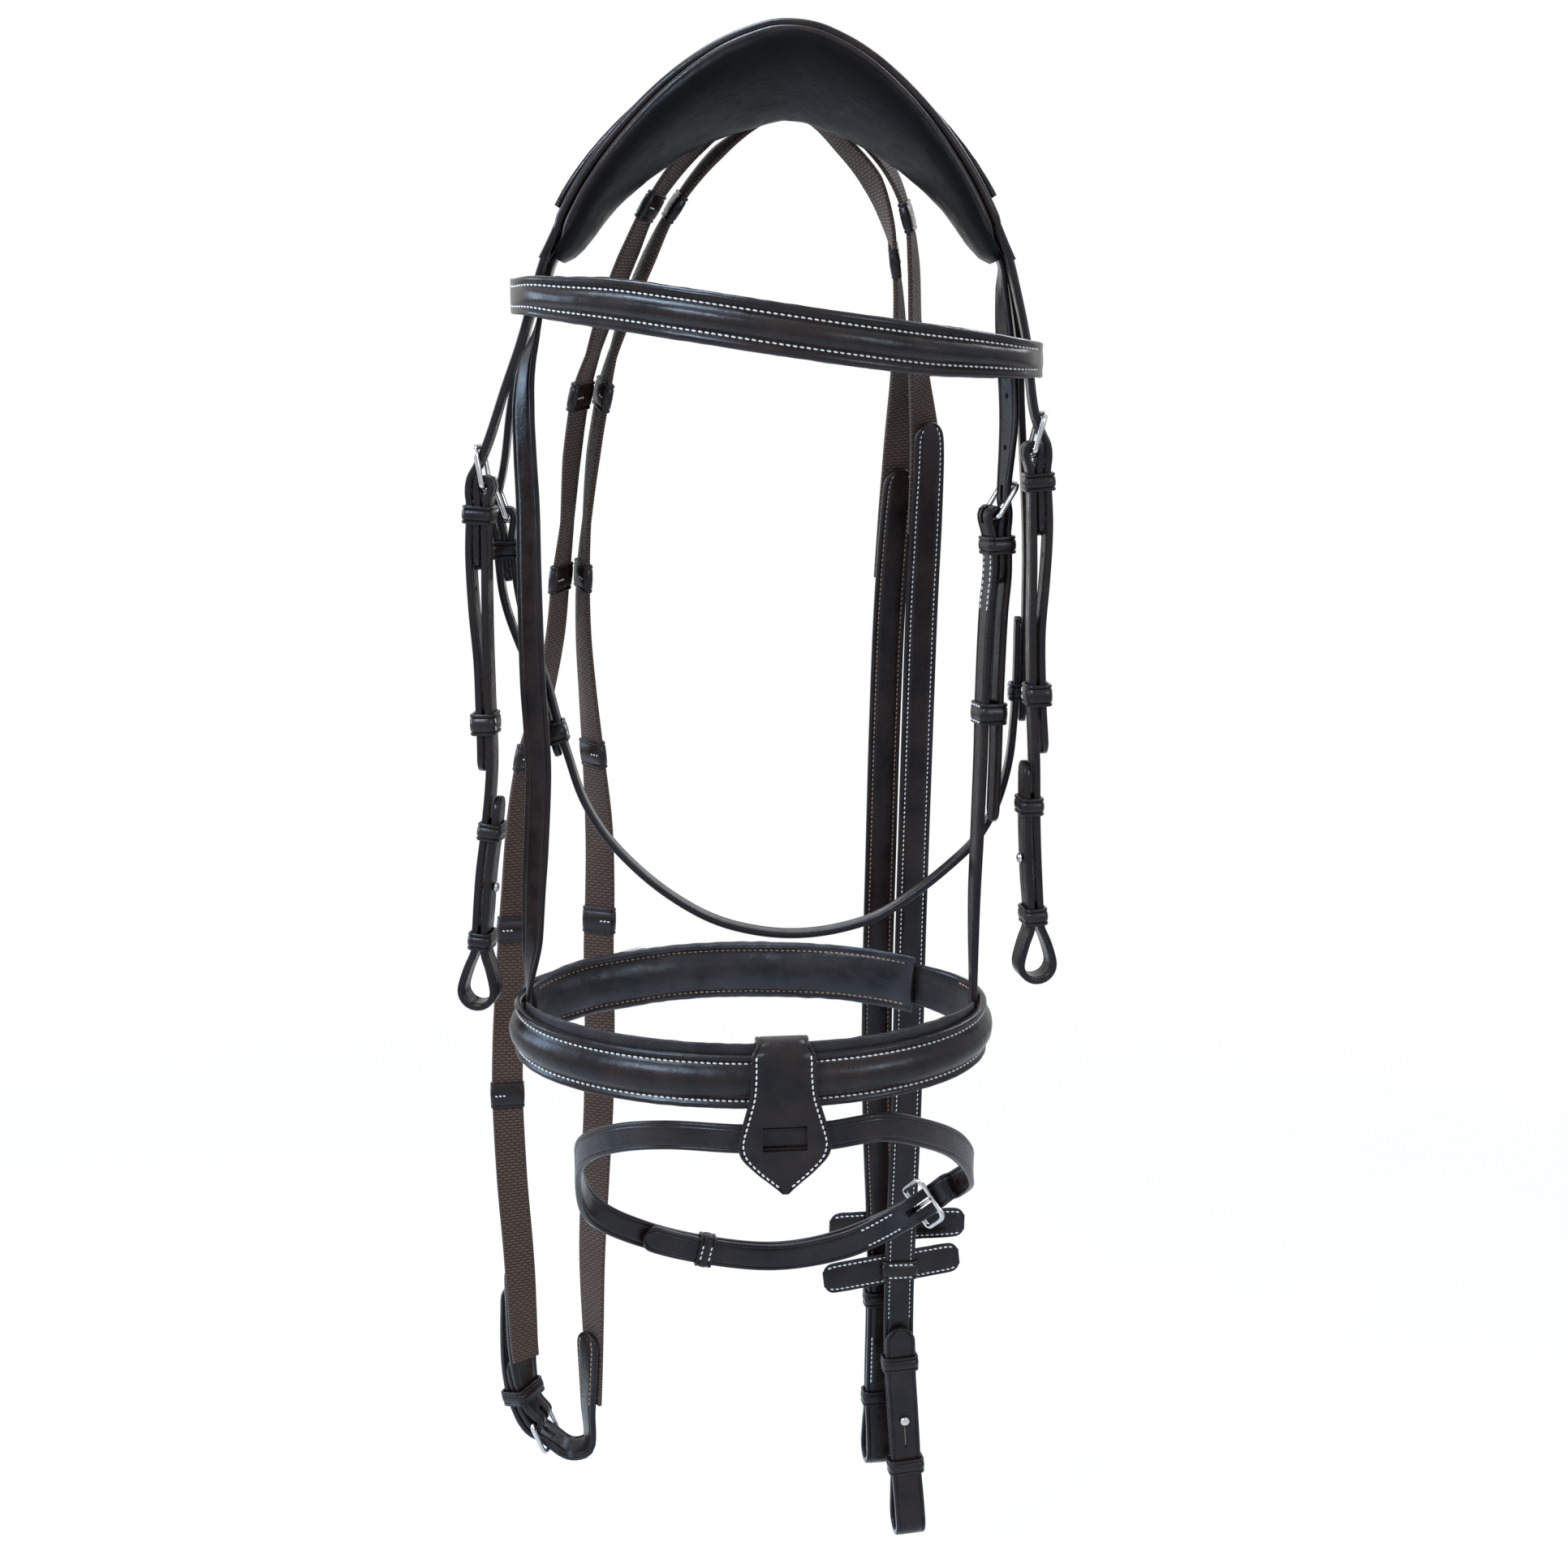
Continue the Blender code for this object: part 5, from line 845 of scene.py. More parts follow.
def steel_look():
    """Polished steel with faint rubbing."""
    look = Shader("bright_steel", Metallic=1.0)
    rub = look.noise(260.0, 5.0)
    look.join(look.mix(look.ramp(rub, 0.0, 1.0), STEEL_DARK, STEEL_LIGHT), "Base Color")
    look.join(look.ramp(rub, 0.12, 0.26), "Roughness")
    look.join(look.bump(rub, 0.05, 0.0002), "Normal")
    return look.material


LEATHER_LIGHT = (0.0215, 0.0132, 0.0112, 1.0)
LEATHER_DARK = (0.0054, 0.0035, 0.0032, 1.0)
EDGE_COLOUR = (0.0100, 0.0078, 0.0080, 1.0)
SOFT_LIGHT = (0.0110, 0.0082, 0.0080, 1.0)
SOFT_DARK = (0.0030, 0.0024, 0.0026, 1.0)
# The lining of the noseband and chin pad, lighter and bluer than the other linings: the leather's
# own dark colour with a painted bluish sheen.
LINING_SHEEN_LIGHT = (0.0330, 0.0290, 0.0330, 1.0)
LINING_SHEEN_DARK = (0.0110, 0.0095, 0.0110, 1.0)
# The poll pad's leather, darker than the other linings: painted shade for the pad's underside,
# which faces away from the lamps.
POLL_PAINTED_SHADE_LIGHT = (0.0052, 0.0042, 0.0044, 1.0)
WEB_LIGHT = (0.118, 0.070, 0.055, 1.0)
# Near black, for between the bumps of the weave: painted shade in its grooves.
WEB_GROOVE_SHADE = (0.0058, 0.0036, 0.0032, 1.0)
SHEEN_COLOUR = (0.62, 0.80, 1.0, 1.0)
STEEL_LIGHT = (0.55, 0.56, 0.58, 1.0)
STEEL_DARK = (0.36, 0.37, 0.39, 1.0)
WHITE_THREAD = (0.74, 0.79, 0.84, 1.0), (0.52, 0.55, 0.58, 1.0)
TAN_THREAD = (0.40, 0.27, 0.17, 1.0), (0.25, 0.16, 0.10, 1.0)

LEATHER_LOOK = leather("bridle_leather", LEATHER_LIGHT, LEATHER_DARK, 0.27, 0.24, 0.24, 0.26)
SOFT_LOOK = leather("soft_lining", SOFT_LIGHT, SOFT_DARK, 0.32, 0.32, 0.46, 0.19)
# A lighter, bluer copy of the lining leather: painted sheen.
LINING_SHEEN_LOOK = leather("smooth_lining_painted_sheen", LINING_SHEEN_LIGHT, LINING_SHEEN_DARK, 0.30, 0.30, 0.40, 0.26)
# A darker copy of the lining leather for the poll pad: painted shade.
POLL_PAINTED_SHADE_LOOK = leather("poll_leather_painted_shade", POLL_PAINTED_SHADE_LIGHT, SOFT_DARK, 0.36, 0.32, 0.46, 0.09)
WEB_LOOK = woven("rein_web", WEB_LIGHT, WEB_GROOVE_SHADE)
STEEL = steel_look()
THREAD_LOOKS = {"white": thread_look("white_thread", *WHITE_THREAD),
                "tan": thread_look("tan_thread", *TAN_THREAD)}


class Band:
    """A strap's surface: where its centreline, face and edges are at every length along it."""

    def __init__(self, route, stations, aside=0.0):
        self.rows = self.fine(stations)
        self.spots = []
        self.lengths = [0.0]
        last = len(self.rows) - 1
        for index, row in enumerate(self.rows):
            before = self.rows[max(index - 1, 0)]
            after = self.rows[min(index + 1, last)]
            lead = Vector((after[0] - before[0], after[1] - before[1])).normalized()
            centre, ahead, face, width = route.frame(row[0])
            centre = centre + row[1] * face + aside * width
            self.spots.append((centre, lead.x * ahead + lead.y * face,
                               lead.x * face - lead.y * ahead, width))
            if index:
                self.lengths.append(self.lengths[-1] + (centre - self.spots[-2][0]).length)
        self.length = self.lengths[-1]

    @staticmethod
    def fine(stations):
        """The stations with more of them on a smooth line between."""
        flat = [Vector(row[:3]) for row in stations]
        corners = [2 * flat[0] - flat[1]] + flat + [2 * flat[-1] - flat[-2]]
        rows = []
        for index, (first, second) in enumerate(zip(stations, stations[1:])):
            parts = max(1, round((flat[index + 1] - flat[index]).length / RING_STEP))
            for step in range(parts):
                share = step / parts
                here = Route.between(corners[index:index + 4], share)
                rows.append((*here, *(a + share * (b - a) for a, b in zip(first[3:], second[3:]))))
        rows.append(tuple(stations[-1]))
        return rows

    def find(self, along, onward=True):
        """The length on the band where it first, or last, passes a length of its route."""
        pairs = range(len(self.rows) - 1)
        for index in (pairs if onward else reversed(pairs)):
            first, second = self.rows[index][0], self.rows[index + 1][0]
            if (first - along) * (second - along) <= 0.0 and first != second:
                low, high = self.lengths[index:index + 2]
                return low + (along - first) / (second - first) * (high - low)
        return self.length

    def at(self, length):
        """Centre, direction, face, width direction, half width and half thickness."""
        index = min(max(bisect.bisect_right(self.lengths, length) - 1, 0), len(self.rows) - 2)
        span = self.lengths[index + 1] - self.lengths[index]
        share = min(max((length - self.lengths[index]) / span, 0.0), 1.0)
        parts = [a.lerp(b, share) for a, b in zip(self.spots[index], self.spots[index + 1])]
        low, high = self.rows[index], self.rows[index + 1]
        return (parts[0], *(part.normalized() for part in parts[1:]),
                *((low[item] + share * (high[item] - low[item])) / 2 for item in (2, 3)))

    def spread(self, start, end, count):
        """What at gives, at even steps between two lengths."""
        return [self.at(start + (end - start) * index / count) for index in range(count + 1)]


# Outlines of a strap's cross-section. Each maker takes a width, a thickness and the rise of a
# padded roll, and gives points as offset aside, height over the face, and wear of the edge.
def mirrored(upper, lower):
    """A whole outline from the right half of its upper side and of its lower side."""
    right = upper + lower[::-1]
    return right + [(-aside, high, wear) for aside, high, wear in right[::-1] if aside > 1e-9]


def flat_profile(width, thickness, _):
    """A strap of leather with creased faces and rounded edges."""
    half, top = width / 2, thickness / 2
    near = min(CREASE_IN, 0.42 * half)
    slim = min(CREASE_HALF, 0.2 * near)
    bevel = min(0.62 * top, 0.5 * near)
    sides = [[(0.0, side * top, 0.0), (0.45 * half, side * top, 0.0),
              (half - near - slim, side * top, 0.0),
              (half - near, side * (top - CREASE_DEEP), 0.15),
              (half - near + slim, side * top, 0.0), (half - bevel, side * top, 0.35),
              (half - 0.45 * bevel, side * (top - 0.16 * bevel), 0.8),
              (half - 0.12 * bevel, side * (top - 0.52 * bevel), 1.0),
              (half, side * (top - bevel), 1.0)] for side in (1, -1)]
    return mirrored(*sides)


def roll_profile(roll_share, flange_rise):
    """A maker of outlines with a round padded roll between two seams and soft flanges."""
    def profile(width, thickness, rise):
        half, top = width / 2, thickness / 2
        roll = roll_share * width
        strength = min(1.0, rise / 0.002)
        shares = [index / CURVE_STEPS for index in range(CURVE_STEPS + 1)]
        upper = [(roll * share, top + rise * (1.0 - share ** 2.4), 0.0) for share in shares]
        dip = 0.00035 * strength
        rim = flange_rise * strength
        upper += [(roll + aside, top - part * dip, 0.0)
                  for aside, part in ((0.0004, 0.4), (0.0009, 1.0), (0.0014, 0.2))]
        flange = half - roll - 0.0014
        upper += [(roll + 0.0014 + share * flange, top + rim * high, 0.1)
                  for share, high in ((0.22, 0.55), (0.45, 1.0), (0.68, 0.9))]
        upper += [(half - 0.14 * flange, top + 0.35 * rim, 0.5),
                  (half - 0.04 * flange, 0.65 * top, 0.9), (half, 0.2 * top, 1.0)]
        lower = [(0.0, -top, 0.0), (0.5 * half, -top, 0.0), (half - 0.9 * top, -top, 0.2),
                 (half - 0.35 * top, -0.86 * top, 0.8), (half, -0.45 * top, 1.0)]
        return mirrored(upper, lower)
    return profile


def ribbed_profile(width, thickness, _):
    """A woven web with a rib for each warp yarn and a selvedge at each edge."""
    half, top = width / 2, thickness / 2
    upper = [(0.95 * half * index / (2 * WEB_RIBS), top - (index + 1) % 2 * WEB_RIB_DEEP, 0.0)
             for index in range(2 * WEB_RIBS + 1)]
    upper += [(0.975 * half, 0.75 * top, 0.5), (half, 0.3 * top, 1.0)]
    return mirrored(upper, [(aside, -high, wear) for aside, high, wear in upper])


def pad_profile(groove=0.0, groove_half=0.0):
    """A maker of outlines of a soft lining: sewn flat on one side, crowned on the other.

    The flat side may have a groove along its middle for a strap.
    """
    def profile(width, thickness, _):
        half = width / 2
        if groove:
            flat = [(0.0, -groove, 0.0), (groove_half - 0.0002, -groove, 0.0),
                    (groove_half, -0.0002, 0.0), (0.7 * half, 0.0, 0.0), (0.93 * half, 0.0, 0.0)]
        else:
            flat = [(share * half, 0.0, 0.0) for share in (0.0, 0.3, 0.55, 0.8, 0.93)]
        flat += [(0.985 * half, -0.06 * thickness, 0.3), (half, -0.2 * thickness, 0.3)]
        crowned = []
        for index in range(12):
            angle = math.pi / 2 * index / 12
            crowned.append((half * math.sin(angle) ** 0.8,
                            -thickness * (0.20 + 0.80 * math.cos(angle) ** 0.75), 0.0))
        return mirrored(flat, crowned)
    return profile


def quilted_profile(width, thickness, _):
    """A lining with a padded middle between two sewn channels."""
    half = width / 2
    flat = [(0.0, 0.0, 0.0), (0.55 * half, 0.0, 0.0), (0.93 * half, 0.0, 0.0),
            (0.985 * half, -0.06 * thickness, 0.3), (half, -0.22 * thickness, 0.3)]
    shares = [index / CURVE_STEPS for index in range(CURVE_STEPS + 1)]
    crowned = [(0.97 * QUILT_SEAM * half * share, -thickness * (1.0 - 0.40 * share ** 2.6), 0.0)
               for share in shares]
    beside = 1.03 * QUILT_SEAM
    crowned += [(QUILT_SEAM * half, -0.52 * thickness, 0.0),
                (beside * half, -0.58 * thickness, 0.0)]
    crowned += [((beside + share * (1.0 - beside)) * half, -high * thickness, 0.1)
                for share, high in ((0.35, 0.68), (0.7, 0.62), (0.9, 0.48))]
    return mirrored(flat, crowned)


# Meshes and pieces.
def circle(sides, first=0.0):
    """The cosine and sine of even steps round a circle."""
    angles = [math.tau * (step + first) / sides for step in range(sides)]
    return [(math.cos(angle), math.sin(angle)) for angle in angles]


def quads(rings, count, start=0, closed=False):
    """Faces between rings of places that follow one another."""
    faces = []
    for index in range(rings if closed else rings - 1):
        here = start + index * count
        there = start + (index + 1) % rings * count
        for step in range(count):
            after = (step + 1) % count
            faces.append((here + step, here + after, there + after, there + step))
    return faces


def new_mesh(name, places, faces):
    """A mesh from places and faces."""
    mesh = bpy.data.meshes.new(name)
    mesh.from_pydata(places, [], faces)
    mesh.update()
    return mesh


def new_object(name, data, place=(0.0, 0.0, 0.0)):
    """An object in the scene."""
    made = bpy.data.objects.new(name, data)
    made.location = place
    bpy.context.scene.collection.objects.link(made)
    return made


def turn_out(mesh):
    """Point the faces of a closed mesh outwards."""
    mesh.calc_loop_triangles()
    volume = 0.0
    for triangle in mesh.loop_triangles:
        first, second, third = (mesh.vertices[index].co for index in triangle.vertices)
        volume += first.dot(second.cross(third))
    if volume < 0.0:
        mesh.flip_normals()


def skin(name, rings, lengths=None, asides=None, wear=None, closed=False):
    """A mesh through rings of places, with a map of lengths in centimetres and worn edges."""
    count = len(rings[0])
    total = count * len(rings)
    faces = quads(len(rings), count, 0, closed)
    if not closed:
        faces += [tuple(reversed(range(count))), tuple(range(total - count, total))]
    mesh = new_mesh(name, [place for ring in rings for place in ring], faces)
    if lengths is None:
        lengths = [0.001 * index for index in range(len(rings))]
    layer = mesh.uv_layers.new(name="lengths")
    for corner in mesh.loops:
        ring, step = divmod(corner.vertex_index, count)
        aside = asides[ring][step] if asides else 0.0
        layer.data[corner.index].uv = (100 * aside, 100 * lengths[ring])
    worn = mesh.attributes.new("edge", "FLOAT", "POINT")
    worn.data.foreach_set("value", (wear or [0.0] * count) * len(rings))
    mesh.shade_smooth()
    turn_out(mesh)
    mesh.set_sharp_from_angle(angle=math.radians(SHARP_EDGE))
    return mesh


def dress(name, mesh, look, node, stands_for=False):
    """A piece of the visible model on the body of a CAD node, which it may stand for."""
    made = new_object(name, mesh)
    mesh.materials.clear()
    mesh.materials.append(look)
    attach(made, BODY_OF[node])
    if stands_for:
        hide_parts(node)
    return made


def dress_node(node, rings, look=STEEL, slot="steel", **how):
    """The one piece that stands for a CAD node, through rings of places."""
    dress(node + "_dressed", skin(node + "_surface", rings, **how), look, node, True)


def strap(node, route, stations, look=LEATHER_LOOK, profile=flat_profile,
          aside=0.0, rough=0.0, part=""):
    """A strap in place of a CAD node. Returns it and its band, for what is sewn on it."""
    band = Band(route, stations, aside)
    rings = []
    asides = []
    for row, (centre, _, face, width) in zip(band.rows, band.spots):
        outline = profile(*row[2:5])
        ring = [centre + b * width + d * face for b, d, _ in outline]
        if rough:
            ring = [place + rough * noise.noise(place * WRINKLE_SCALE)
                    * (place - centre).normalized() for place in ring]
        rings.append(ring)
        asides.append([b if d > 0.0 else 2 * row[2] - b for b, d, _ in outline])
    mesh = skin(node + part, rings, band.lengths, asides, [wear for _, _, wear in outline])
    return dress(node + (part or "_dressed"), mesh, look, node, True), band


def pad(node, route, stations, look, profile, aside=0.0):
    """A padded piece in place of a CAD node. Returns its band."""
    made, band = strap(node, route, stations, look, profile, aside, PAD_ROUGH)
    return band


# Stitching.
def capsule(centre, ahead, up, length, radius):
    """The places and faces of one stitch."""
    side = ahead.cross(up).normalized()
    up = side.cross(ahead).normalized()
    places = [centre - 0.5 * length * ahead]
    for along, full in STITCH_SHAPE:
        places += [centre + along * length * ahead + full * radius * (c * up + s * side)
                   for c, s in circle(STITCH_SIDES)]
    places.append(centre + 0.5 * length * ahead)
    far = len(places) - 1 - STITCH_SIDES
    faces = quads(len(STITCH_SHAPE), STITCH_SIDES, 1)
    for step in range(STITCH_SIDES):
        after = (step + 1) % STITCH_SIDES
        faces += [(0, 1 + after, 1 + step), (far + step, far + after, len(places) - 1)]
    return places, faces


class Thread:
    """The stitches of one colour on one body, gathered into one piece."""

    def __init__(self, node, colour):
        self.node = node
        self.colour = colour
        self.places = []
        self.faces = []

    def stitch(self, centre, ahead, up, length=STITCH_LENGTH, radius=THREAD):
        """Add one stitch."""
        places, faces = capsule(centre, ahead, up, length, radius)
        base = len(self.places)
        self.places += places
        self.faces += [tuple(base + index for index in face) for face in faces]

    def along(self, places, pitch=STITCH_PITCH, length=STITCH_LENGTH, radius=THREAD, tilt=0.10):
        """Add stitches along a line of places with their face directions."""
        lengths = [0.0]
        for first, second in zip(places, places[1:]):
            lengths.append(lengths[-1] + (second[0] - first[0]).length)
        count = max(1, round(lengths[-1] / pitch))
        for index in range(count):
            here = (index + 0.5) * lengths[-1] / count
            found = min(max(bisect.bisect_right(lengths, here) - 1, 0), len(places) - 2)
            span = lengths[found + 1] - lengths[found]
            share = (here - lengths[found]) / span if span else 0.0
            first, second = places[found], places[found + 1]
            up = first[1].lerp(second[1], share).normalized()
            ahead = (second[0] - first[0]).normalized()
            ahead = (ahead + tilt * ahead.cross(up)).normalized()
            self.stitch(first[0].lerp(second[0], share), ahead, up, length, radius)

    def bar(self, base, across, up, reach, **how):
        """Add a straight row across a place, to a reach on either side."""
        self.along([(base + side * reach * across, up) for side in (-1, 1)], **how)

    def across(self, band, place, inset=0.0012, side=1, **how):
        """Add a row across a face of a band."""
        centre, _, face, width, half, top = band.at(place)
        self.bar(centre + side * top * face, width, side * face, half - inset, **how)

    def seam(self, band, start, end, inset=SEAM_IN, side=1, edge=1, lift=0.0, share=None, **how):
        """Add a row on a face of a band, in from one edge or at a share of the width."""
        places = []
        for centre, _, face, width, half, top in band.spread(
                start, end, max(2, round(abs(end - start) / RING_STEP))):
            off = max(half - inset, 0.0) if share is None else 2 * share * half
            places.append((centre + edge * off * width + side * (top + lift) * face, side * face))
        self.along(places, **how)

    def finish(self):
        """Make the piece."""
        if self.faces:
            name = f"{BODY_OF[self.node]}_{self.colour}_thread"
            mesh = new_mesh(name, self.places, self.faces)
            mesh.shade_smooth()
            dress(name, mesh, THREAD_LOOKS[self.colour], self.node)


threads = {}


def thread(node, colour="white"):
    """The thread of one colour on the body that a node belongs to."""
    key = (BODY_OF[node], colour)
    if key not in threads:
        threads[key] = Thread(node, colour)
    return threads[key]


def seams(node, band, start, end, colour="white", sides=(1,), **how):
    """Rows along both edges of a band, on its face for side 1 and on its back for side -1."""
    for edge in (-1, 1):
        for side in sides:
            thread(node, colour).seam(band, start, end, edge=edge, side=side, **how)


def quilt_rows(node, band):
    """The two rows of natural thread in the channels of a lining."""
    spots = band.spread(QUILT_END, band.length - QUILT_END,
                        round((band.length - 2 * QUILT_END) / RING_STEP))
    for edge in (-1, 1):
        thread(node, "tan").along([
            (centre + edge * QUILT_SEAM * half * width - (1.06 * top + 0.0001) * face, -face)
            for centre, _, face, width, half, top in spots])


# Metal and keepers.
def rounded_path(corners, radii, steps=6):
    """A closed line through corners in a plane, each rounded with its own radius."""
    path = []
    for index, (corner, radius) in enumerate(zip(corners, radii)):
        first = corner + radius * (corners[index - 1] - corner).normalized()
        second = corner + radius * (corners[(index + 1) % len(corners)] - corner).normalized()
        for step in range(steps + 1):
            share = step / steps
            path.append(first.lerp(corner, share).lerp(corner.lerp(second, share), share))
    return path


def outwards(path):
    """The directions out of a closed line in a plane."""
    leads = [path[(index + 1) % len(path)] - path[index - 1] for index in range(len(path))]
    return [Vector((lead.y, -lead.x)).normalized() for lead in leads]


def oblong(left, right, low, high):
    """The corners of an oblong in a plane."""
    return [Vector(corner) for corner in ((left, low), (left, high), (right, high), (right, low))]


def buckle_frame(node, route, bar, width, side=1, room=BUCKLE_ROOM):
    """A buckle's frame with a thinner bar and a fuller rounded outer end."""
    half = width / 2 + room + WIRE
    origin, reach, outward, across, face = buckle_axes(route, bar, side)
    path = rounded_path(oblong(0.0, reach, -half, half), [share * half for share in FRAME_ROUNDS])
    rings = []
    for here, out in zip(path, outwards(path)):
        fuller = 1.0 + FRAME_FULLER * min(1.0, max(0.0, here.x / reach))
        ring = []
        for c, s in circle(WIRE_SIDES, 0.5):
            flat = here + WIRE * fuller * c * out
            ring.append(origin + flat.x * outward + flat.y * across + WIRE * s * face)
        rings.append(ring)
    dress_node(node, rings, closed=True)


def buckle_tongue(node, route, bar, side=1):
    """A buckle's tongue: a tapered prong hooked round the bar."""
    origin, reach, outward, across, face = buckle_axes(route, bar, side)
    hook = WIRE + GAP + TONGUE_THICKNESS / 2
    start, sweep, steps = TONGUE_HOOK
    angles = [math.radians(start - index * sweep / steps) for index in range(steps + 1)]
    path = [Vector((hook * math.cos(angle), hook * math.sin(angle))) for angle in angles]
    path += [Vector((index / TONGUE_PRONG * (reach + WIRE), hook))
             for index in range(1, TONGUE_PRONG + 1)]
    rings = []
    last = len(path) - 1
    for index, here in enumerate(path):
        lead = (path[min(index + 1, last)] - path[max(index - 1, 0)]).normalized()
        out = Vector((-lead.y, lead.x))
        along = max(0.0, (index - steps - 1) / TONGUE_PRONG)
        taper = 1.0 - TONGUE_TAPER * along if index < last else TONGUE_POINT
        ring = []
        for c, s in circle(TONGUE_SIDES):
            flat = here + c * taper * TONGUE_THICKNESS / 2 * out
            ring.append(origin + flat.x * outward + flat.y * face
                        + s * taper * TONGUE_WIDTH / 2 * across)
        rings.append(ring)
    dress_node(node, rings)


def buckle(names, route, bar, width, side=1, room=BUCKLE_ROOM):
    """A buckle's frame and its tongue."""
    buckle_frame(names.format("buckle"), route, bar, width, side, room)
    buckle_tongue(names.format("tongue"), route, bar, side)


def keeper_rings(axes, tall, wide, wall, length):
    """The rings of a leather loop: round its layers, with rounded rims and two creases."""
    centre, ahead, face, across = axes
    outline = rounded_path(oblong(wide, -wide, -tall, tall),
                           [min(KEEPER_ROUND, 0.8 * tall)] * 4, 5)
    half = length / 2
    rim = [(-half + 0.0003, 0.0, 0.0), (-half, 0.35 * wall, 0.8), (-half, 0.7 * wall, 1.0),
           (-half + 0.0003, 0.93 * wall, 0.8), (-half + 0.0007, wall, 0.2),
           (-half + 0.0014, wall, 0.0), (-half + 0.0019, wall - 0.0006, 0.1),
           (-half + 0.0024, wall, 0.0)]
    rim += [(0.0, 1.16 * wall, 0.0)] + [(-a, high, wear) for a, high, wear in rim[::-1]]
    rings = []
    for here, out in zip(outline, outwards(outline)):
        ring = []
        for along, high, _ in rim:
            flat = here + high * out
            ring.append(centre + along * ahead + flat.x * across + flat.y * face)
        rings.append(ring)
    return rings, [along for along, _, _ in rim], [wear for _, _, wear in rim]


def keeper(node, route, along, low, high, width, length=KEEPER_LENGTH, slack=SLACK):
    """A leather loop round the layers between two heights. Returns its axes and reaches."""
    centre, ahead, face, across = route.frame(along)
    axes = centre + (low + high) / 2 * face, ahead, face, across
    tall = abs(high - low) / 2 + LEATHER / 2 + slack
    wide = width / 2 + slack
    rings, asides, wear = keeper_rings(axes, tall, wide, KEEPER_WALL, length)
    dress_node(node, rings, LEATHER_LOOK, "leather", asides=[asides] * len(rings), wear=wear,
               closed=True)
    return *axes, tall + KEEPER_WALL, wide + KEEPER_WALL


def keeper_rows(node, box, apart, reach=0.72):
    """Two rows of stitches across both faces of a keeper, to a share of its half width."""
    origin, ahead, face, across, tall, wide = box
    for side in (-1, 1):
        for aside in (-apart, apart):
            thread(node).bar(origin + side * tall * face + aside * ahead, across, side * face,
                             reach * wide)


def keeper_join(node, box):
    """The stitches that close a runner, beside one edge of its faces."""
    origin, ahead, face, across, tall, wide = box
    for side in (-1, 1):
        base = origin + side * tall * face - JOIN_ASIDE * wide * across
        for aside in (-JOIN_APART, JOIN_APART):
            thread(node).stitch(base + aside * ahead, (ahead + 0.25 * across).normalized(),
                                side * face, JOIN_LONG)


def stud(node, route, along, side=-1):
    """A hook stud: a neck through the returned end of a strap and a domed head."""
    centre, _, face, _ = route.frame(along)
    axis = side * face
    aside = axis.orthogonal().normalized()
    other = axis.cross(aside)
    seat = RETURN_OUT + LEATHER / 2 + GAP
    outline = [(STUD_NECK, LEATHER / 2 + GAP), (STUD_NECK, seat - 0.0003),
               (STUD_NECK + 0.0003, seat), (STUD_HEAD - 0.0002, seat + GAP),
               (STUD_HEAD, seat + GAP + 0.0003)]
    outline += [(full * STUD_HEAD, seat + high * STUD_DOME) for full, high in STUD_CURVE]
    dress_node(node, [[centre + high * axis + radius * (c * aside + s * other)
                       for c, s in circle(STUD_SIDES)] for radius, high in outline])


# Holes and slots.
def cut(made, name, places, faces):
    """Take a closed body away from a piece."""
    mesh = new_mesh(name, places, faces)
    turn_out(mesh)
    other = new_object(name, mesh)
    change = made.modifiers.new("cut", "BOOLEAN")
    change.operation = "DIFFERENCE"
    change.solver = "EXACT"
    change.object = other
    bpy.context.view_layer.update()
    graph = bpy.context.evaluated_depsgraph_get()
    mesh = bpy.data.meshes.new_from_object(made.evaluated_get(graph), depsgraph=graph,
                                           preserve_all_data_layers=True)
    made.modifiers.clear()
    made.data = mesh
    bpy.data.objects.remove(other, do_unlink=True)


def pierce(made, holes, radius=HOLE):
    """Cut round holes through a piece, each given by its place and direction."""
    places = []
    faces = []
    for centre, axis in holes:
        side = axis.orthogonal().normalized()
        other = axis.cross(side)
        base = len(places)
        for high in (-HOLE_REACH, HOLE_REACH):
            places += [centre + high * axis + radius * (c * side + s * other)
                       for c, s in circle(WIRE_SIDES)]
        faces += quads(2, WIRE_SIDES, base)
        faces += [tuple(base + step for step in reversed(range(WIRE_SIDES))),
                  tuple(base + WIRE_SIDES + step for step in range(WIRE_SIDES))]
    cut(made, "pins", places, faces)


def slot(made, centre, axes, reaches):
    """Cut a slot shaped as a box, with pairs of reaches along three axes from a centre."""
    places = [centre + a * axes[0] + b * axes[1] + c * axes[2]
              for a in reaches[0] for b in reaches[1] for c in reaches[2]]
    cut(made, "slot", places,
        [(0, 1, 3, 2), (4, 6, 7, 5), (0, 4, 5, 1), (2, 3, 7, 6), (0, 2, 6, 4), (1, 5, 7, 3)])


def slot_for_fold(made, route, bar, side=1):
    """Cut the slot in a fold that its tongue moves in."""
    origin, _, *axes = buckle_axes(route, bar, side)
    half = SLOT_WIDTH / 2
    slot(made, origin, axes, ((-1.6 * FOLD, 2.0 * FOLD), (-half, half), (-2.0 * FOLD, 2.0 * FOLD)))


def slot_for_billet(made, route, bar, side=1):
    """Cut the hole in a billet that the tongue goes through."""
    origin, reach, *axes = buckle_axes(route, bar, side)
    half = SLOT_WIDTH / 2
    slot(made, origin, axes, ((0.12 * reach, 0.90 * reach), (-half, half), (-FOLD, 3.0 * FOLD)))


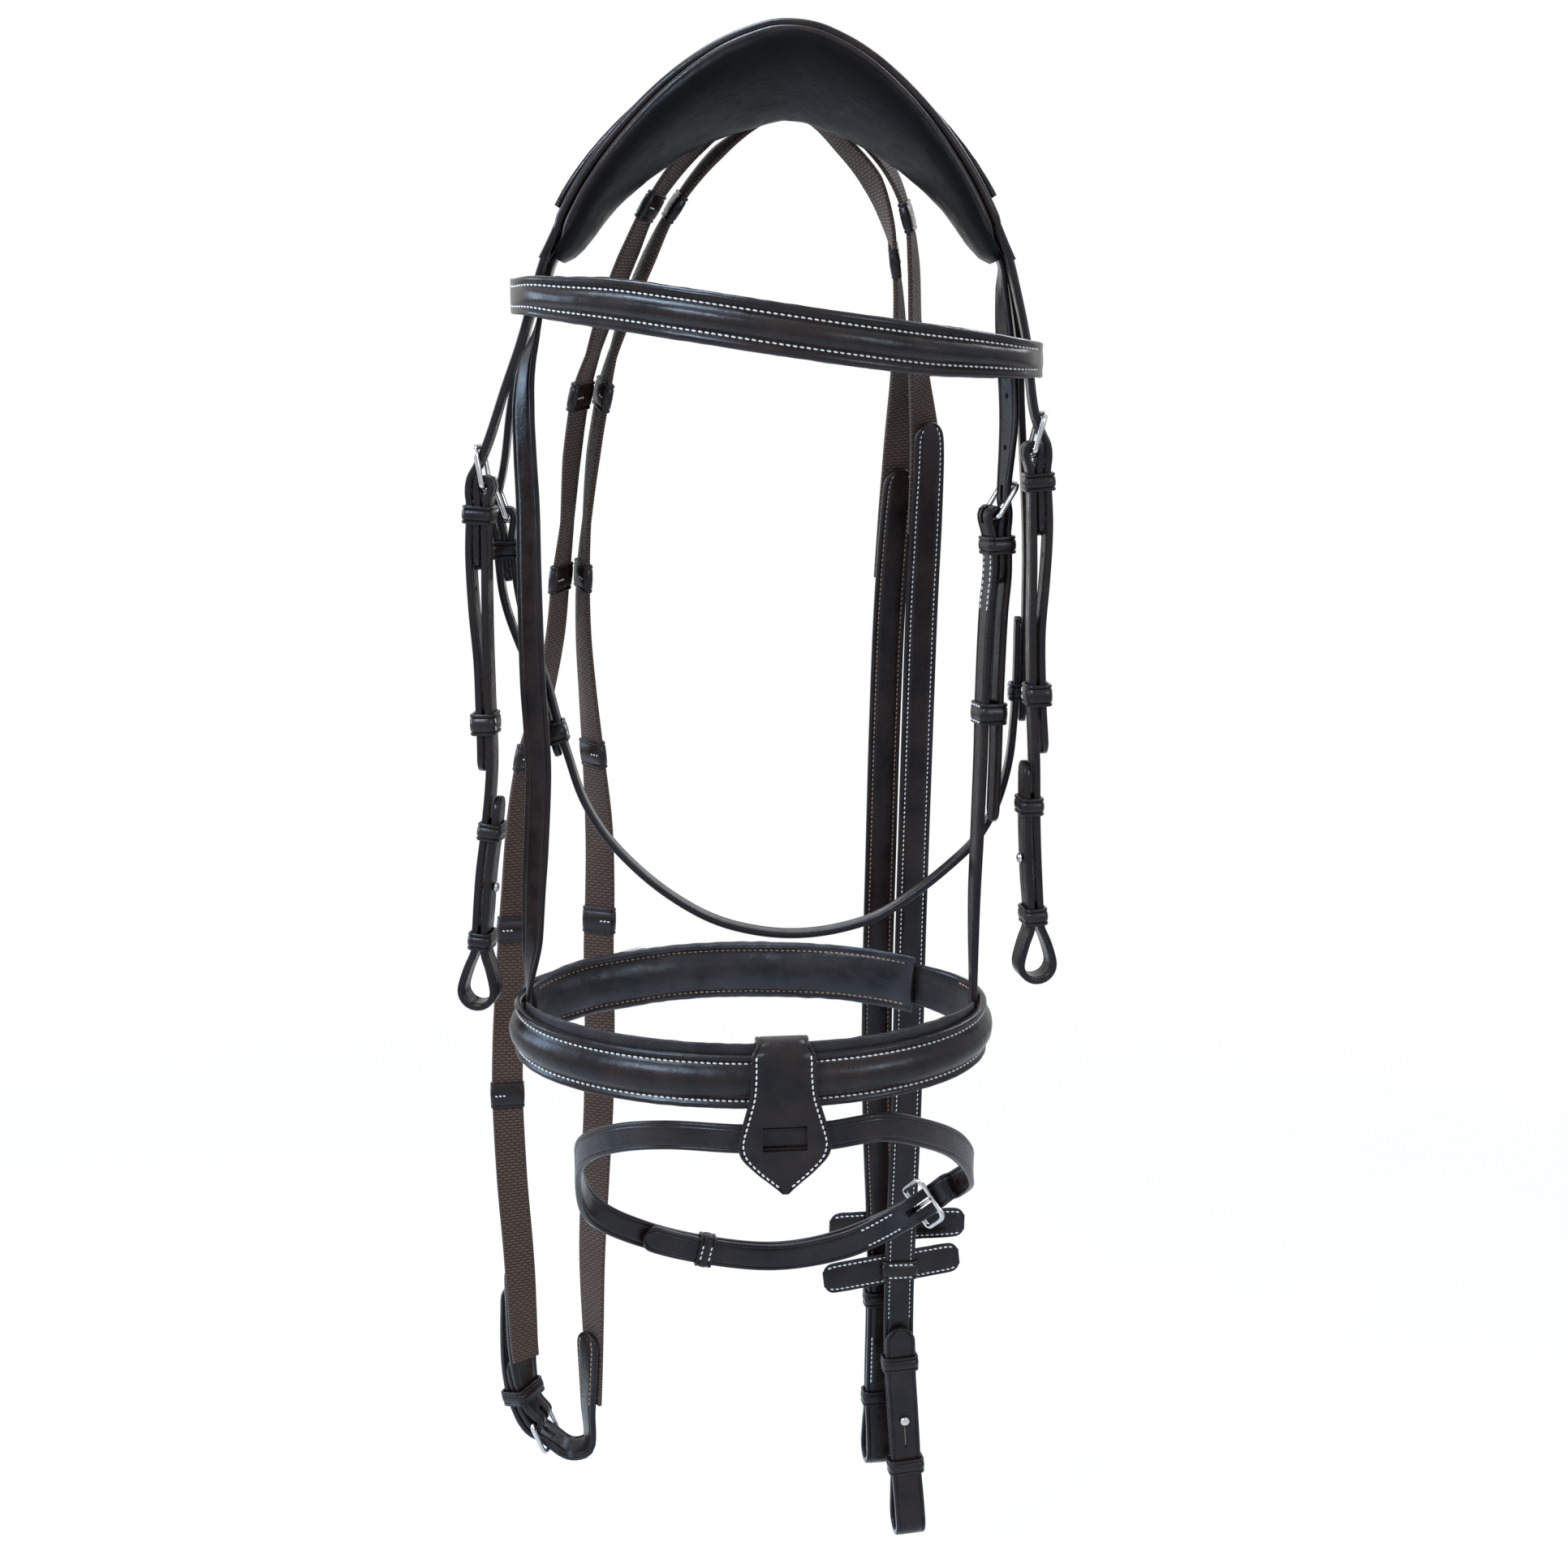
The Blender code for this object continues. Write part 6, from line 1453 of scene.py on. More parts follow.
def hook_slit(made, node, route, marks, side):
    """Cut the hole for a hook stud and the slit that lets it open."""
    _, ahead, face, across = route.frame(marks["stud"])
    middle = route.place(marks["stud"], side * RETURN_OUT)
    pierce(made, [(middle, face)], STUD_NECK + 2 * GAP)
    slot(made, middle, (ahead, across, face),
         ((0.0, SLIT_LENGTH), (-SLIT_HALF, SLIT_HALF), (-LEATHER, LEATHER)))
    raw = middle + 0.55 * SLIT_LENGTH * ahead + side * 0.25 * LEATHER * face
    thread(node, "tan").stitch(raw, ahead, side * face, 0.85 * SLIT_LENGTH, SLIT_HALF)


def punch(made, route, out, start, end):
    """A row of round holes along a strap."""
    count = int((end - start) / HOLE_PITCH) + 1
    pierce(made, [(route.place(start + index * HOLE_PITCH, out), route.frame(start)[2])
                  for index in range(count)])


# What every buckled strap has.
def chape(node, names, route, bar, rows, width, side=1, room=BUCKLE_ROOM):
    """A strap folded round its buckle, with the buckle and its tongue. Returns it and its band."""
    made, band = strap(node, route, rows)
    slot_for_fold(made, route, bar, side)
    buckle(names, route, bar, width, side, room)
    return made, band


def fold_stitch(node, band, bar):
    """The row of thread across a folded end, close to its buckle."""
    thread(node).across(band, band.find(bar + FOLD_ROW), FOLD_ROW_IN, -1, **FOLD_STITCH)


# The headpiece.
poll_profile = pad_profile(GROOVE, SLIP_WIDTH / 2 + 2 * GAP)
cover_profile = roll_profile(COVER_ROLL, COVER_FLANGE)


def billet(part, route, drops, width):
    """A billet of the headpiece, from inside the crown, through its buckle, to its tip."""
    bar, end = (crossing(route, drops[key]) for key in ("bar", "billet"))
    lead = bar - LEAD_IN
    count = max(2, round(lead / STEP))
    rows = [(lead * index / count, max(0.0, (index / count - 0.4) / 0.6) * LEAD_HEIGHT)
            for index in range(count)]
    clear = bar + CHAPE + width / 2 + CHAPE_CLEAR
    rows += billet_places(bar, end - width / 2, 1, (clear, BILLET_LOW))
    made, _ = strap("headpiece", route, pointed(level(rows, width)), part=part)
    slot_for_billet(made, route, bar)
    punch(made, route, BILLET_OUT, bar + BILLET_HOLES[0], end - BILLET_HOLES[1])


def cord(node, part, places, radius):
    """A thin rolled edge of leather along a line of places, tapered at both ends."""
    line = Route(places, [0.0] * len(places), FRONT)
    steps = round(line.length / RING_STEP)
    rings = []
    for index in range(steps + 1):
        share = index / steps
        full = radius * min(1.0, 0.15 + CORD_TAPER * min(share, 1.0 - share))
        centre, _, face, across = line.frame(share * line.length)
        rings.append([centre + full * (c * face + s * across) for c, s in circle(CORD_SIDES)])
    mesh = skin(node + part, rings, [RING_STEP * index for index in range(steps + 1)])
    dress(node + part, mesh, LEATHER_LOOK, node)


def dress_headpiece(crown, sides, throat, throat_right):
    """The crown with its rolled edges and billets, its pad and its cover."""
    rows = []
    for index in range(CROWN_STATIONS + 1):
        share = index / CROWN_STATIONS
        width = CROWN_END + (CROWN_MIDDLE - CROWN_END) * math.sin(math.pi * share) ** 1.5
        width *= 1.0 - CROWN_NARROW * max(0.0, 1.0 - CROWN_TAPER * min(share, 1.0 - share))
        rows.append((share * crown.length, 0.0, width, CROWN_LEATHER, 0.0))
    strap("headpiece", crown, rows)
    for name, edge in (("front", -1), ("back", 1)):
        for part, out, inset, radius in CROWN_CORDS:
            cord("headpiece", f"_{part}_{name}",
                 [crown.place(row[0], out, edge * (row[2] / 2 - inset)) for row in rows[1:-1]],
                 radius)
    for side, route in sides.items():
        billet("_billet_" + side, route, CHEEK_DROPS[side], CHEEK_WIDTH)
    billet("_billet_throat", throat, THROAT_DROPS, THROAT_WIDTH)
    end = crossing(throat_right, THROAT_DROPS["root_end"]) - THROAT_WIDTH / 2
    strap("headpiece", throat_right, pointed(run(0.0, end, 0.0, THROAT_WIDTH)),
          part="_throat_root")

    rows = []
    for index in range(PAD_STATIONS + 1):
        share = PAD_FROM + (1.0 - 2.0 * PAD_FROM) * index / PAD_STATIONS
        swell = math.sin(math.pi * share) ** 1.3
        near = min(1.0, PAD_TAPER * (min(share, 1.0 - share) - PAD_ROOM))
        ends = math.sqrt(1.0 - (1.0 - near) ** 2)
        rows.append((share * crown.length, -CROWN_LEATHER / 2 - 5 * GAP,
                     (PAD_END + (PAD_MIDDLE - PAD_END) * swell) * (0.48 + 0.52 * ends),
                     PAD_THICKNESS * (0.80 + 0.20 * swell) * (0.30 + 0.70 * ends), GROOVE))
    # The pad takes the darker look, with its painted shade.
    pad("poll_pad", crown, rows, POLL_PAINTED_SHADE_LOOK, poll_profile)
    shares = sorted({min(max(index / CROWN_STATIONS, COVER_START), COVER_END)
                     for index in range(1, CROWN_STATIONS)})
    out = (CROWN_LEATHER + THIN_LEATHER) / 2 + 4 * GAP
    strap("headpiece_cover", crown,
          [(share * crown.length, out, COVER_WIDTH, THIN_LEATHER, COVER_RISE) for share in shares],
          profile=cover_profile, rough=PAD_ROUGH)


# The sides.
def dress_cheek(side, route):
    """One cheekpiece: strap, buckle, tongue, keepers, runner and hook stud."""
    node = "cheek_strap_" + side
    marks = at_drops(route, CHEEK_DROPS[side])
    rows = folded_end(marks["bar"], CHAPE, CHEEK_WIDTH)
    rows += run(marks["bar"] + FOLD_REACH, marks["lower"], 0.0, CHEEK_WIDTH)[1:]
    rows += bit_loop(marks, CHEEK_WIDTH)
    made, band = chape(node, "cheek_{}_" + side, route, marks["bar"], rows, CHEEK_WIDTH)
    hook_slit(made, node, route, marks, -1)
    fold_stitch(node, band, marks["bar"])
    keeper("cheek_keeper_" + side, route, marks["keeper"], 0.0, BILLET_OUT, CHEEK_WIDTH)
    runner = "cheek_runner_" + side
    keeper_join(runner, keeper(runner, route, marks["runner"], 0.0, RUNNER_OUT, CHEEK_WIDTH,
                               RUNNER_LENGTH))
    for place in ("upper", "lower"):
        keeper(f"bit_keeper_{place}_{side}", route, marks[place], 0.0, -RETURN_OUT, CHEEK_WIDTH)
    stud("bit_stud_" + side, route, marks["stud"])
    seams(node, band, band.find(marks["upper"] + KEEPER_LENGTH),
          band.find(marks["lower"] - KEEPER_LENGTH))


def dress_throatlatch(throat, throat_right):
    """The throatlatch with its buckle, keepers and runner."""
    node = "throatlatch_strap"
    bar, keeper_at, runner_at = (crossing(throat, THROAT_DROPS[key])
                                 for key in ("bar", "keeper", "runner"))
    rows = folded_end(bar, 0.8 * CHAPE, THROAT_WIDTH)
    rows += run(bar + FOLD_REACH, throat.length - THROAT_WIDTH / 2, 0.0, THROAT_WIDTH)[1:]
    _, band = chape(node, "throatlatch_{}", throat, bar, pointed(rows), THROAT_WIDTH)
    fold_stitch(node, band, bar)
    keeper("throatlatch_keeper", throat, keeper_at, 0.0, BILLET_OUT, THROAT_WIDTH)
    runner = "throatlatch_runner"
    keeper_join(runner, keeper(runner, throat, runner_at, 0.0, RUNNER_OUT, THROAT_WIDTH,
                               RUNNER_LENGTH))
    keeper_rows(node, keeper("throatlatch_lap_keeper", throat_right,
                             crossing(throat_right, THROAT_DROPS["lap"]), -PITCH, 0.0,
                             THROAT_WIDTH), ROWS_APART["lap"])


def dress_sliphead(crown, hanger):
    """The strap that carries the noseband, and its right hanger."""
    marks = at_drops(hanger, HANGER_DROPS)
    bar = marks["bar"]
    places = [spot(row) for row in SLIP_LEFT_SHARES]
    turns = turns_of(SLIP_LEFT_SHARES)
    for index in range(CROWN_STATIONS + 1):
        along = crown.length * index / CROWN_STATIONS
        places.append(crown.place(along, -SLIP_UNDER))
        turns.append(crown.turns[crown.find(along)[0]])
    places += [spot(row) for row in SLIP_RIGHT_SHARES]
    turns += turns_of(SLIP_RIGHT_SHARES)
    for along, out in billet_places(bar, marks["tip"], 1, None, FINE_STEP)[1:]:
        places.append(hanger.place(along, out))
        turns.append(hanger.turns[hanger.find(along)[0]])
    slip = Route(places, turns, FRONT)
    rows = run(0.0, slip.length - SLIP_WIDTH / 2, 0.0, SLIP_WIDTH, THIN_LEATHER)
    made, _ = strap("sliphead", slip, pointed(rows))
    slot_for_billet(made, hanger, bar)
    holes = [crossing(slip, drop, slip.length / 2) for drop in SLIP_HOLES]
    pierce(made, [(slip.place(along), slip.frame(along)[2]) for along in holes])

    node = "hanger_strap"
    rows = folded_end(bar, 0.8 * CHAPE, SLIP_WIDTH)
    rows += run(bar + FOLD_REACH, hanger.length, 0.0, SLIP_WIDTH)[1:]
    _, band = chape(node, "hanger_{}", hanger, bar, rows, SLIP_WIDTH)
    fold_stitch(node, band, bar)
    seams(node, band, band.find(bar + FOLD_REACH, False),
          band.find(bar + HANGER_SEAM_END, False), sides=(-1, 1))
    keeper("hanger_keeper", hanger, marks["keeper"], 0.0, BILLET_OUT, SLIP_WIDTH)
    runner = "hanger_runner"
    keeper_rows(runner, keeper(runner, hanger, marks["runner"], 0.0, BILLET_OUT, SLIP_WIDTH,
                               RUNNER_LENGTH), ROWS_APART["hanger"])


def dress_browband():
    """The browband and its lining."""
    brow = route_from(BROW_SHARES, DOWN, UP)
    left, right = brow.marks[BROW_FRONT_LEFT], brow.marks[BROW_FRONT_RIGHT]
    rows = []
    count = round(brow.length / (0.8 * STEP))
    for index in range(count + 1):
        along = brow.length * index / count
        share = (along - left) / (right - left)
        swell = math.sin(math.pi * share) if 0.0 < share < 1.0 else 0.0
        rows.append((along, 0.0, BROW_END + (BROW_MIDDLE - BROW_END) * min(1.0, 1.35 * swell),
                     THIN_LEATHER, BROW_RISE * min(1.0, 2.2 * swell)))
    _, band = strap("browband", brow, rows, profile=roll_profile(BROW_ROLL, FLANGE_RISE),
                    rough=FLANGE_ROUGH)
    seams("browband", band, band.find(left - BROW_SEAM_START), band.find(right - BROW_SEAM_END),
          share=BROW_ROLL + SEAM_DIP, lift=-ROLL_SUNK, pitch=ROLL_PITCH)
    rows = []
    for index in range(BROW_PAD_STEPS + 1):
        ends = min(1.0, 0.45 + 4.0 * min(index, BROW_PAD_STEPS - index) / BROW_PAD_STEPS)
        share = 0.12 + 0.76 * index / BROW_PAD_STEPS
        rows.append((left + share * (right - left), -THIN_LEATHER / 2 - GAP,
                     BROW_MIDDLE * (0.75 + 0.25 * ends), BROW_PAD * ends, 0.0))
    pad("browband_lining", brow, rows, SOFT_LOOK, pad_profile())


# The noseband.
def clamp(value):
    """A value kept between none and one."""
    return min(1.0, max(0.0, value))


def dress_noseband():
    """The noseband, its lining and pad, and the flash tab and strap."""
    places = []
    for index in range(LAPS * NOSE_PLACES + 1):
        angle = math.tau * index / NOSE_PLACES
        places.append(Vector((NOSE_MIDDLE_SHARES[0] * SPREAD - NOSE_ACROSS * math.sin(angle),
                              NOSE_ALONG * math.cos(angle),
                              -NOSE_DROP + NOSE_TILT * math.cos(angle))))
    nose = Route(places, [0.0] * len(places), DOWN, UP)
    lap = nose.marks[NOSE_PLACES]

    def nose_at(degrees):
        """The length on the first lap at an angle from the front, positive to the right."""
        place = (degrees + 180.0) / 360.0 * NOSE_PLACES
        index = int(place)
        return nose.marks[index] + (place - index) * (nose.marks[index + 1] - nose.marks[index])

    bar = nose_at(NOSE_BAR_AT)
    rows = folded_end(bar, 1.2 * CHAPE, CHIN_WIDTH)
    narrow_left, broad_left, broad_right, narrow_right = (nose_at(at) for at in NOSE_BROAD)
    for row in run(bar + FOLD_REACH, narrow_right, 0.0, CHIN_WIDTH, step=0.7 * STEP)[1:]:
        along = row[0]
        share = min(clamp((along - narrow_left) / (broad_left - narrow_left)),
                    clamp((narrow_right - along) / (narrow_right - broad_right)))
        front = math.cos(math.pi * (along - nose_at(0.0)) / lap) ** 2
        wide = CHIN_WIDTH + share * (NOSE_SIDE + (NOSE_FRONT - NOSE_SIDE) * front - CHIN_WIDTH)
        rows.append((along, 0.0, wide, LEATHER, NOSE_RISE * clamp(3.0 * share - 2.0)))
    rows += run(rows[-1][0], bar + lap - LEAD_IN, 0.0, CHIN_WIDTH)[1:]
    end = nose_at(NOSE_TIP_AT) + lap
    node = "noseband_strap"
    rows = pointed(rows + level(billet_places(bar + lap, end), CHIN_WIDTH))
    made, band = strap(node, nose, rows, profile=roll_profile(NOSE_ROLL, FLANGE_RISE),
                       rough=FLANGE_ROUGH)
    slot_for_fold(made, nose, bar)
    slot_for_billet(made, nose, bar + lap)
    punch(made, nose, BILLET_OUT, bar + lap + NOSE_HOLES[0], end - NOSE_HOLES[1])
    fold_stitch(node, band, bar)
    first, last = band.find(nose_at(NOSE_SEAM[0]), False), band.find(nose_at(NOSE_SEAM[1]))
    seams(node, band, first, last, share=NOSE_ROLL + SEAM_DIP, lift=-ROLL_SUNK, pitch=ROLL_PITCH)
    seams(node, band, first, last, "tan", (-1,))
    buckle("noseband_{}", nose, bar, CHIN_WIDTH)

    rows = []
    for index in range(NOSE_PAD_STEPS + 1):
        ends = min(1.0, 0.45 + 3.5 * min(index, NOSE_PAD_STEPS - index) / NOSE_PAD_STEPS)
        rows.append((nose_at(NOSE_LINING_AT * (2.0 * index / NOSE_PAD_STEPS - 1.0)),
                     -LEATHER / 2 - 2 * GAP, NOSE_LINING * (0.8 + 0.2 * ends), NOSE_PAD * ends,
                     0.0))
    # Both linings of the noseband take the look with painted sheen.
    quilt_rows("noseband_lining", pad("noseband_lining", nose, rows, LINING_SHEEN_LOOK,
                                      quilted_profile, NOSE_LINING_ASIDE))
    rows = []
    for index in range(NOSE_PAD_STEPS + 1):
        share = index / NOSE_PAD_STEPS
        ends = min(1.0, 0.30 + 4.0 * (1.0 - share))
        thin = min(1.0, CHIN_PAD_THIN + 5.0 * max(0.0, share - CHIN_PAD_STEP))
        along = nose_at(CHIN_PAD_AT + CHIN_PAD_SWEEP * share)
        under = FOLD - BAR_OUT if abs(along - bar - lap) < CHIN_DIP else 0.0
        rows.append((along, -under - LEATHER / 2 - 2 * GAP,
                     CHIN_PAD_HEIGHT * (0.8 + 0.2 * ends), CHIN_PAD * thin * ends, 0.0))
    quilt_rows("chin_pad", pad("chin_pad", nose, rows, LINING_SHEEN_LOOK, quilted_profile))
    dress_flash(*nose.frame(nose_at(TAB_ANGLE)))


def dress_flash(centre, ahead, face, down):
    """The tab over the front of the noseband and the strap that it holds."""
    places = [centre + out * face + drop * down for out, drop, _ in TAB_ROWS]
    tab = Route(places, [0.0] * len(places), ahead, face)
    stations = []
    for index, row in enumerate(TAB_ROWS):
        fuller = TAB_FULLER * min(1.0, index / 3) if index < TAB_FRONT else 0.0
        stations.append((tab.marks[index], 0.0, row[2] + fuller, TAB_LEATHER, 0.0))
    made, band = strap("flash_tab", tab, stations)
    top, foot, wide = WINDOW
    middle = centre + WINDOW_OUT * face + ((top + foot) / 2 - WINDOW_RIM) * down
    tall = (foot - top) / 2 - 1.6 * WINDOW_RIM
    slot(made, middle, (ahead, face, down),
         ((-wide / 2, wide / 2), (-WINDOW_DEPTH / 2, WINDOW_DEPTH / 2), (-tall, tall)))
    seams("flash_tab", band, TAB_SEAM_START, band.find(tab.marks[TAB_SEAM_END]),
          inset=TAB_SEAM_INSET)

    node = "flash_strap"
    ring = [spot(row) for row in FLASH_SHARES]
    behind = centre + FLASH_FRONT_OUT * face + FLASH_FRONT_DROP * down
    ring[FLASH_FRONT_INDEX:FLASH_FRONT_INDEX] = [behind + share * FLASH_FRONT_REACH * ahead
                                                 for share in FLASH_FRONT_STEPS]
    places = ring * LAPS + [ring[0]]
    flash = Route(places, [0.0] * len(places), DOWN, UP)
    lap = flash.marks[len(ring)]
    before, after = flash.marks[FLASH_BAR_INDEX + len(FLASH_FRONT_STEPS):][:2]
    bar = before + FLASH_BAR_SHARE * (after - before)
    again = bar + lap
    rows = folded_end(bar, FLASH_CHAPE, FLASH_WIDTH, -1)
    rows += run(bar + FOLD_REACH, again - LEAD_IN, 0.0, FLASH_WIDTH)[1:]
    low = -PITCH - GAP
    rows += level(billet_places(again, again + FLASH_TAIL - FLASH_WIDTH / 2, -1,
                                (again + FLASH_CHAPE + FLASH_WIDTH / 2, low)), FLASH_WIDTH)
    made, band = chape(node, "flash_{}", flash, bar, pointed(rows), FLASH_WIDTH, -1,
                       FLASH_BUCKLE_ROOM)
    slot_for_billet(made, flash, again, -1)
    pierce(made, [(flash.place(again - step), flash.frame(again - step)[2])
                  for step in FLASH_HOLES])
    seams(node, band, FLASH_SEAM_IN, band.find(bar + FLASH_SEAM_IN), sides=(-1, 1))
    seams(node, band, band.find(again + FOLD_REACH, False),
          band.find(again + FLASH_SEAM_END, False), sides=(-1, 1))
    box = keeper("flash_keeper", flash, bar + FLASH_KEEPER, 0.0, low, FLASH_WIDTH)
    keeper_rows("flash_keeper", box, ROWS_APART["flash"], 0.5)


# The reins.
def dress_reins():
    """Both reins, the buckle that joins them and their stops."""
    outer = route_from(REIN_OUTER_SHARES, FRONT)
    bar = outer.marks[REIN_BUCKLE_INDEX]
    places = []
    turns = []
    tail = billet_places(bar, bar + REIN_TAIL, 1, None, FINE_STEP)
    for along, out in tail[:0:-1]:
        lift = 2 * GAP if along > bar - FRAME_LENGTH / 2 else 0.0
        places.append(outer.place(along, out + lift))
        turns.append(-outer.turns[outer.find(along)[0]])
    for share, out in REIN_TURN:
        places.append(outer.place(bar - share * FRAME_LENGTH, out))
        turns.append(-outer.turns[0])
    inner = Route(places + [spot(row) for row in REIN_INNER_SHARES],
                  turns + turns_of(REIN_INNER_SHARES), FRONT)

    # The outer rein.
    node = "rein_outer_tab"
    end = bar + REIN_TAB
    rows = folded_end(bar, REIN_CHAPE, REIN_WIDTH)
    rows += run(bar + FOLD_REACH, end, TAB_OUT, REIN_WIDTH)[1:]
    made, band = strap(node, outer, pointed(rows))
    slot_for_fold(made, outer, bar)
    fold_stitch(node, band, bar)
    seams(node, band, band.find(end - REIN_LAP, False), band.length - LAP_SEAM_END)
    dress_rein("outer", outer, end - REIN_LAP)
    buckle("rein_{}", outer, bar, REIN_WIDTH)
    keeper("rein_keeper", outer, bar + REIN_KEEPER, 0.0, BILLET_OUT, REIN_WIDTH, slack=3 * SLACK)

    # The inner rein, whose end goes through the buckle.
    node = "rein_inner_billet"
    end = inner.marks[len(tail) - 1] + REIN_INNER_REACH
    rows = tip(REIN_WIDTH / 2, 0.0, REIN_WIDTH, LEATHER, -1.0)[::-1]
    rows += run(REIN_WIDTH / 2, end, 0.0, REIN_WIDTH)[1:]
    made, band = strap(node, inner, pointed(rows))
    slot_for_billet(made, outer, bar)
    seams(node, band, band.find(end - 0.7 * REIN_LAP), band.length - LAP_SEAM_END, "tan")
    dress_rein("inner", inner, end - 0.7 * REIN_LAP)


def sleeves(node, route, middles):
    """The leather stops sewn round a web, as one piece."""
    places = []
    faces = []
    tall = STOP_THICKNESS / 2 - SLEEVE_WALL
    wide = STOP_WIDTH / 2 - SLEEVE_WALL
    for middle in middles:
        centre, ahead, face, across = route.frame(middle)
        base = centre + WEB_OUT * face
        rings, _, _ = keeper_rings((base, ahead, face, across), tall, wide, SLEEVE_WALL,
                                   STOP_LENGTH + STOP_RAMP)
        faces += quads(len(rings), len(rings[0]), len(places), True)
        places += [place for ring in rings for place in ring]
        for side in (-1, 1):
            high = base + side * (tall + SLEEVE_WALL) * face + SLEEVE_ROW * STOP_WIDTH * across
            for step in (-1, 0, 1):
                thread(node).stitch(high + step * SLEEVE_PITCH * across,
                                    (across + 0.35 * ahead).normalized(), side * face,
                                    SLEEVE_STITCH)
    mesh = new_mesh(node + "_sleeves", places, faces)
    turn_out(mesh)
    mesh.shade_smooth()
    dress(node + "_sleeves", mesh, LEATHER_LOOK, node)


def dress_rein(side, route, start):
    """A rein's web with its stops, its leather bit end, stud, keepers and martingale stop."""
    top = top_of(route)
    marks = at_drops(route, REIN_DROPS[side], top)
    left, right = STOP_SHARES[side]
    node = "rein_web_" + side
    strap(node, route, run(start, marks["web"], WEB_OUT, REIN_WIDTH, WEB, 0.0, 0.5 * STEP),
          WEB_LOOK, ribbed_profile)
    sleeves(node, route, [crossing(route, share * DROP, REIN_TAB, top) for share in left]
            + [crossing(route, share * DROP, top) for share in right])

    node = "rein_strap_" + side
    onto = RETURN_SIDE[side]
    first = marks["strap"] + REIN_WIDTH / 2
    rows = tip(first, 0.0, REIN_WIDTH, LEATHER, -1.0)[::-1]
    rows += run(first, marks["lower"], 0.0, REIN_WIDTH)[1:] + bit_loop(marks, REIN_WIDTH, onto)
    made, band = strap(node, route, rows)
    hook_slit(made, node, route, marks, onto)
    for colour, face_side in ((REIN_THREADS[side], 1), ("tan", -1)):
        seams(node, band, REIN_SEAM_IN, band.find(marks["tip"] - LAP_SEAM_END), colour,
              (face_side,), **REIN_STITCH)
    thread(node).seam(band, band.find(marks["stud"] - STUD_SEAM[0]),
                      band.find(marks["lower"] - STUD_SEAM[1]), side=-onto)
    stud("rein_stud_" + side, route, marks["stud"], onto)
    for place in ("upper", "lower"):
        keeper(f"rein_bit_keeper_{place}_{side}", route, marks[place], 0.0, onto * RETURN_OUT,
               REIN_WIDTH)
    dress_stop(side, route, marks["stop"])


def dress_stop(side, route, place):
    """A martingale stop: a keeper on the rein, with two wings behind it."""
    node = "rein_stop_" + side
    box = keeper(node, route, place, 0.0, 0.0, REIN_WIDTH, 0.6 * MARTINGALE_HEIGHT)
    keeper_rows(node, box, ROWS_APART["stop"], 0.7)
    centre, ahead, face, across = box[:4]
    lean = math.radians(MARTINGALE_TURN[side])
    along = math.cos(lean) * across + math.sin(lean) * ahead
    behind = centre - (LEATHER / 2 + SLACK + 0.85 * KEEPER_WALL + WING_BACK) * face
    behind = behind - MARTINGALE_ASIDE[side] * along
    half = MARTINGALE_LENGTH / 2
    wings = Route([behind + share * half * along for share in (-1.0, 0.0, 1.0)], [0.0] * 3,
                  along.cross(face))
    rows = []
    for index in range(TIP_STEPS + 1):
        angle = math.pi / 2 * index / TIP_STEPS
        rows.append((WING_TIP * (1.0 - math.sin(angle)), 0.0,
                     MARTINGALE_HEIGHT * max(0.5, math.cos(angle) ** 0.7), WING_THICKNESS,
                     WING_RISE * math.cos(angle)))
    rows = rows[::-1] + [(2 * half - row[0], *row[1:]) for row in rows]
    _, band = strap(node, wings, rows, profile=roll_profile(WING_ROLL, 0.0), part="_wings",
                    rough=FLANGE_ROUGH)
    seams(node, band, WING_SEAM_IN, band.length - WING_SEAM_IN, share=WING_ROLL + WING_SEAM)
    for end in (WING_ROW_IN, band.length - WING_ROW_IN):
        thread(node).across(band, end, WING_ROW_SHORT)


def dress_all():
    """Make every visible piece."""
    crown = route_from(CROWN_ROWS_SHARES, FRONT)
    cheeks = {side: side_route(crown, start, inward, CHEEK_ASIDE, CHEEK_SHARES[side], across)
              for side, start, inward, across in (("left", 0.0, 1, BACK),
                                                  ("right", crown.length, -1, FRONT))}
    throat = side_route(crown, 0.0, 1, THROAT_ASIDE, THROAT_LEFT_SHARES, BACK)
    throat_right = side_route(crown, crown.length, -1, THROAT_ASIDE, THROAT_RIGHT_SHARES, FRONT)
    dress_headpiece(crown, cheeks, throat, throat_right)
    for side, route in cheeks.items():
        dress_cheek(side, route)
    dress_throatlatch(throat, throat_right)
    dress_sliphead(crown, route_from(HANGER_RIGHT_SHARES, FRONT))
    dress_browband()
    dress_noseband()
    dress_reins()
    for made in threads.values():
        made.finish()


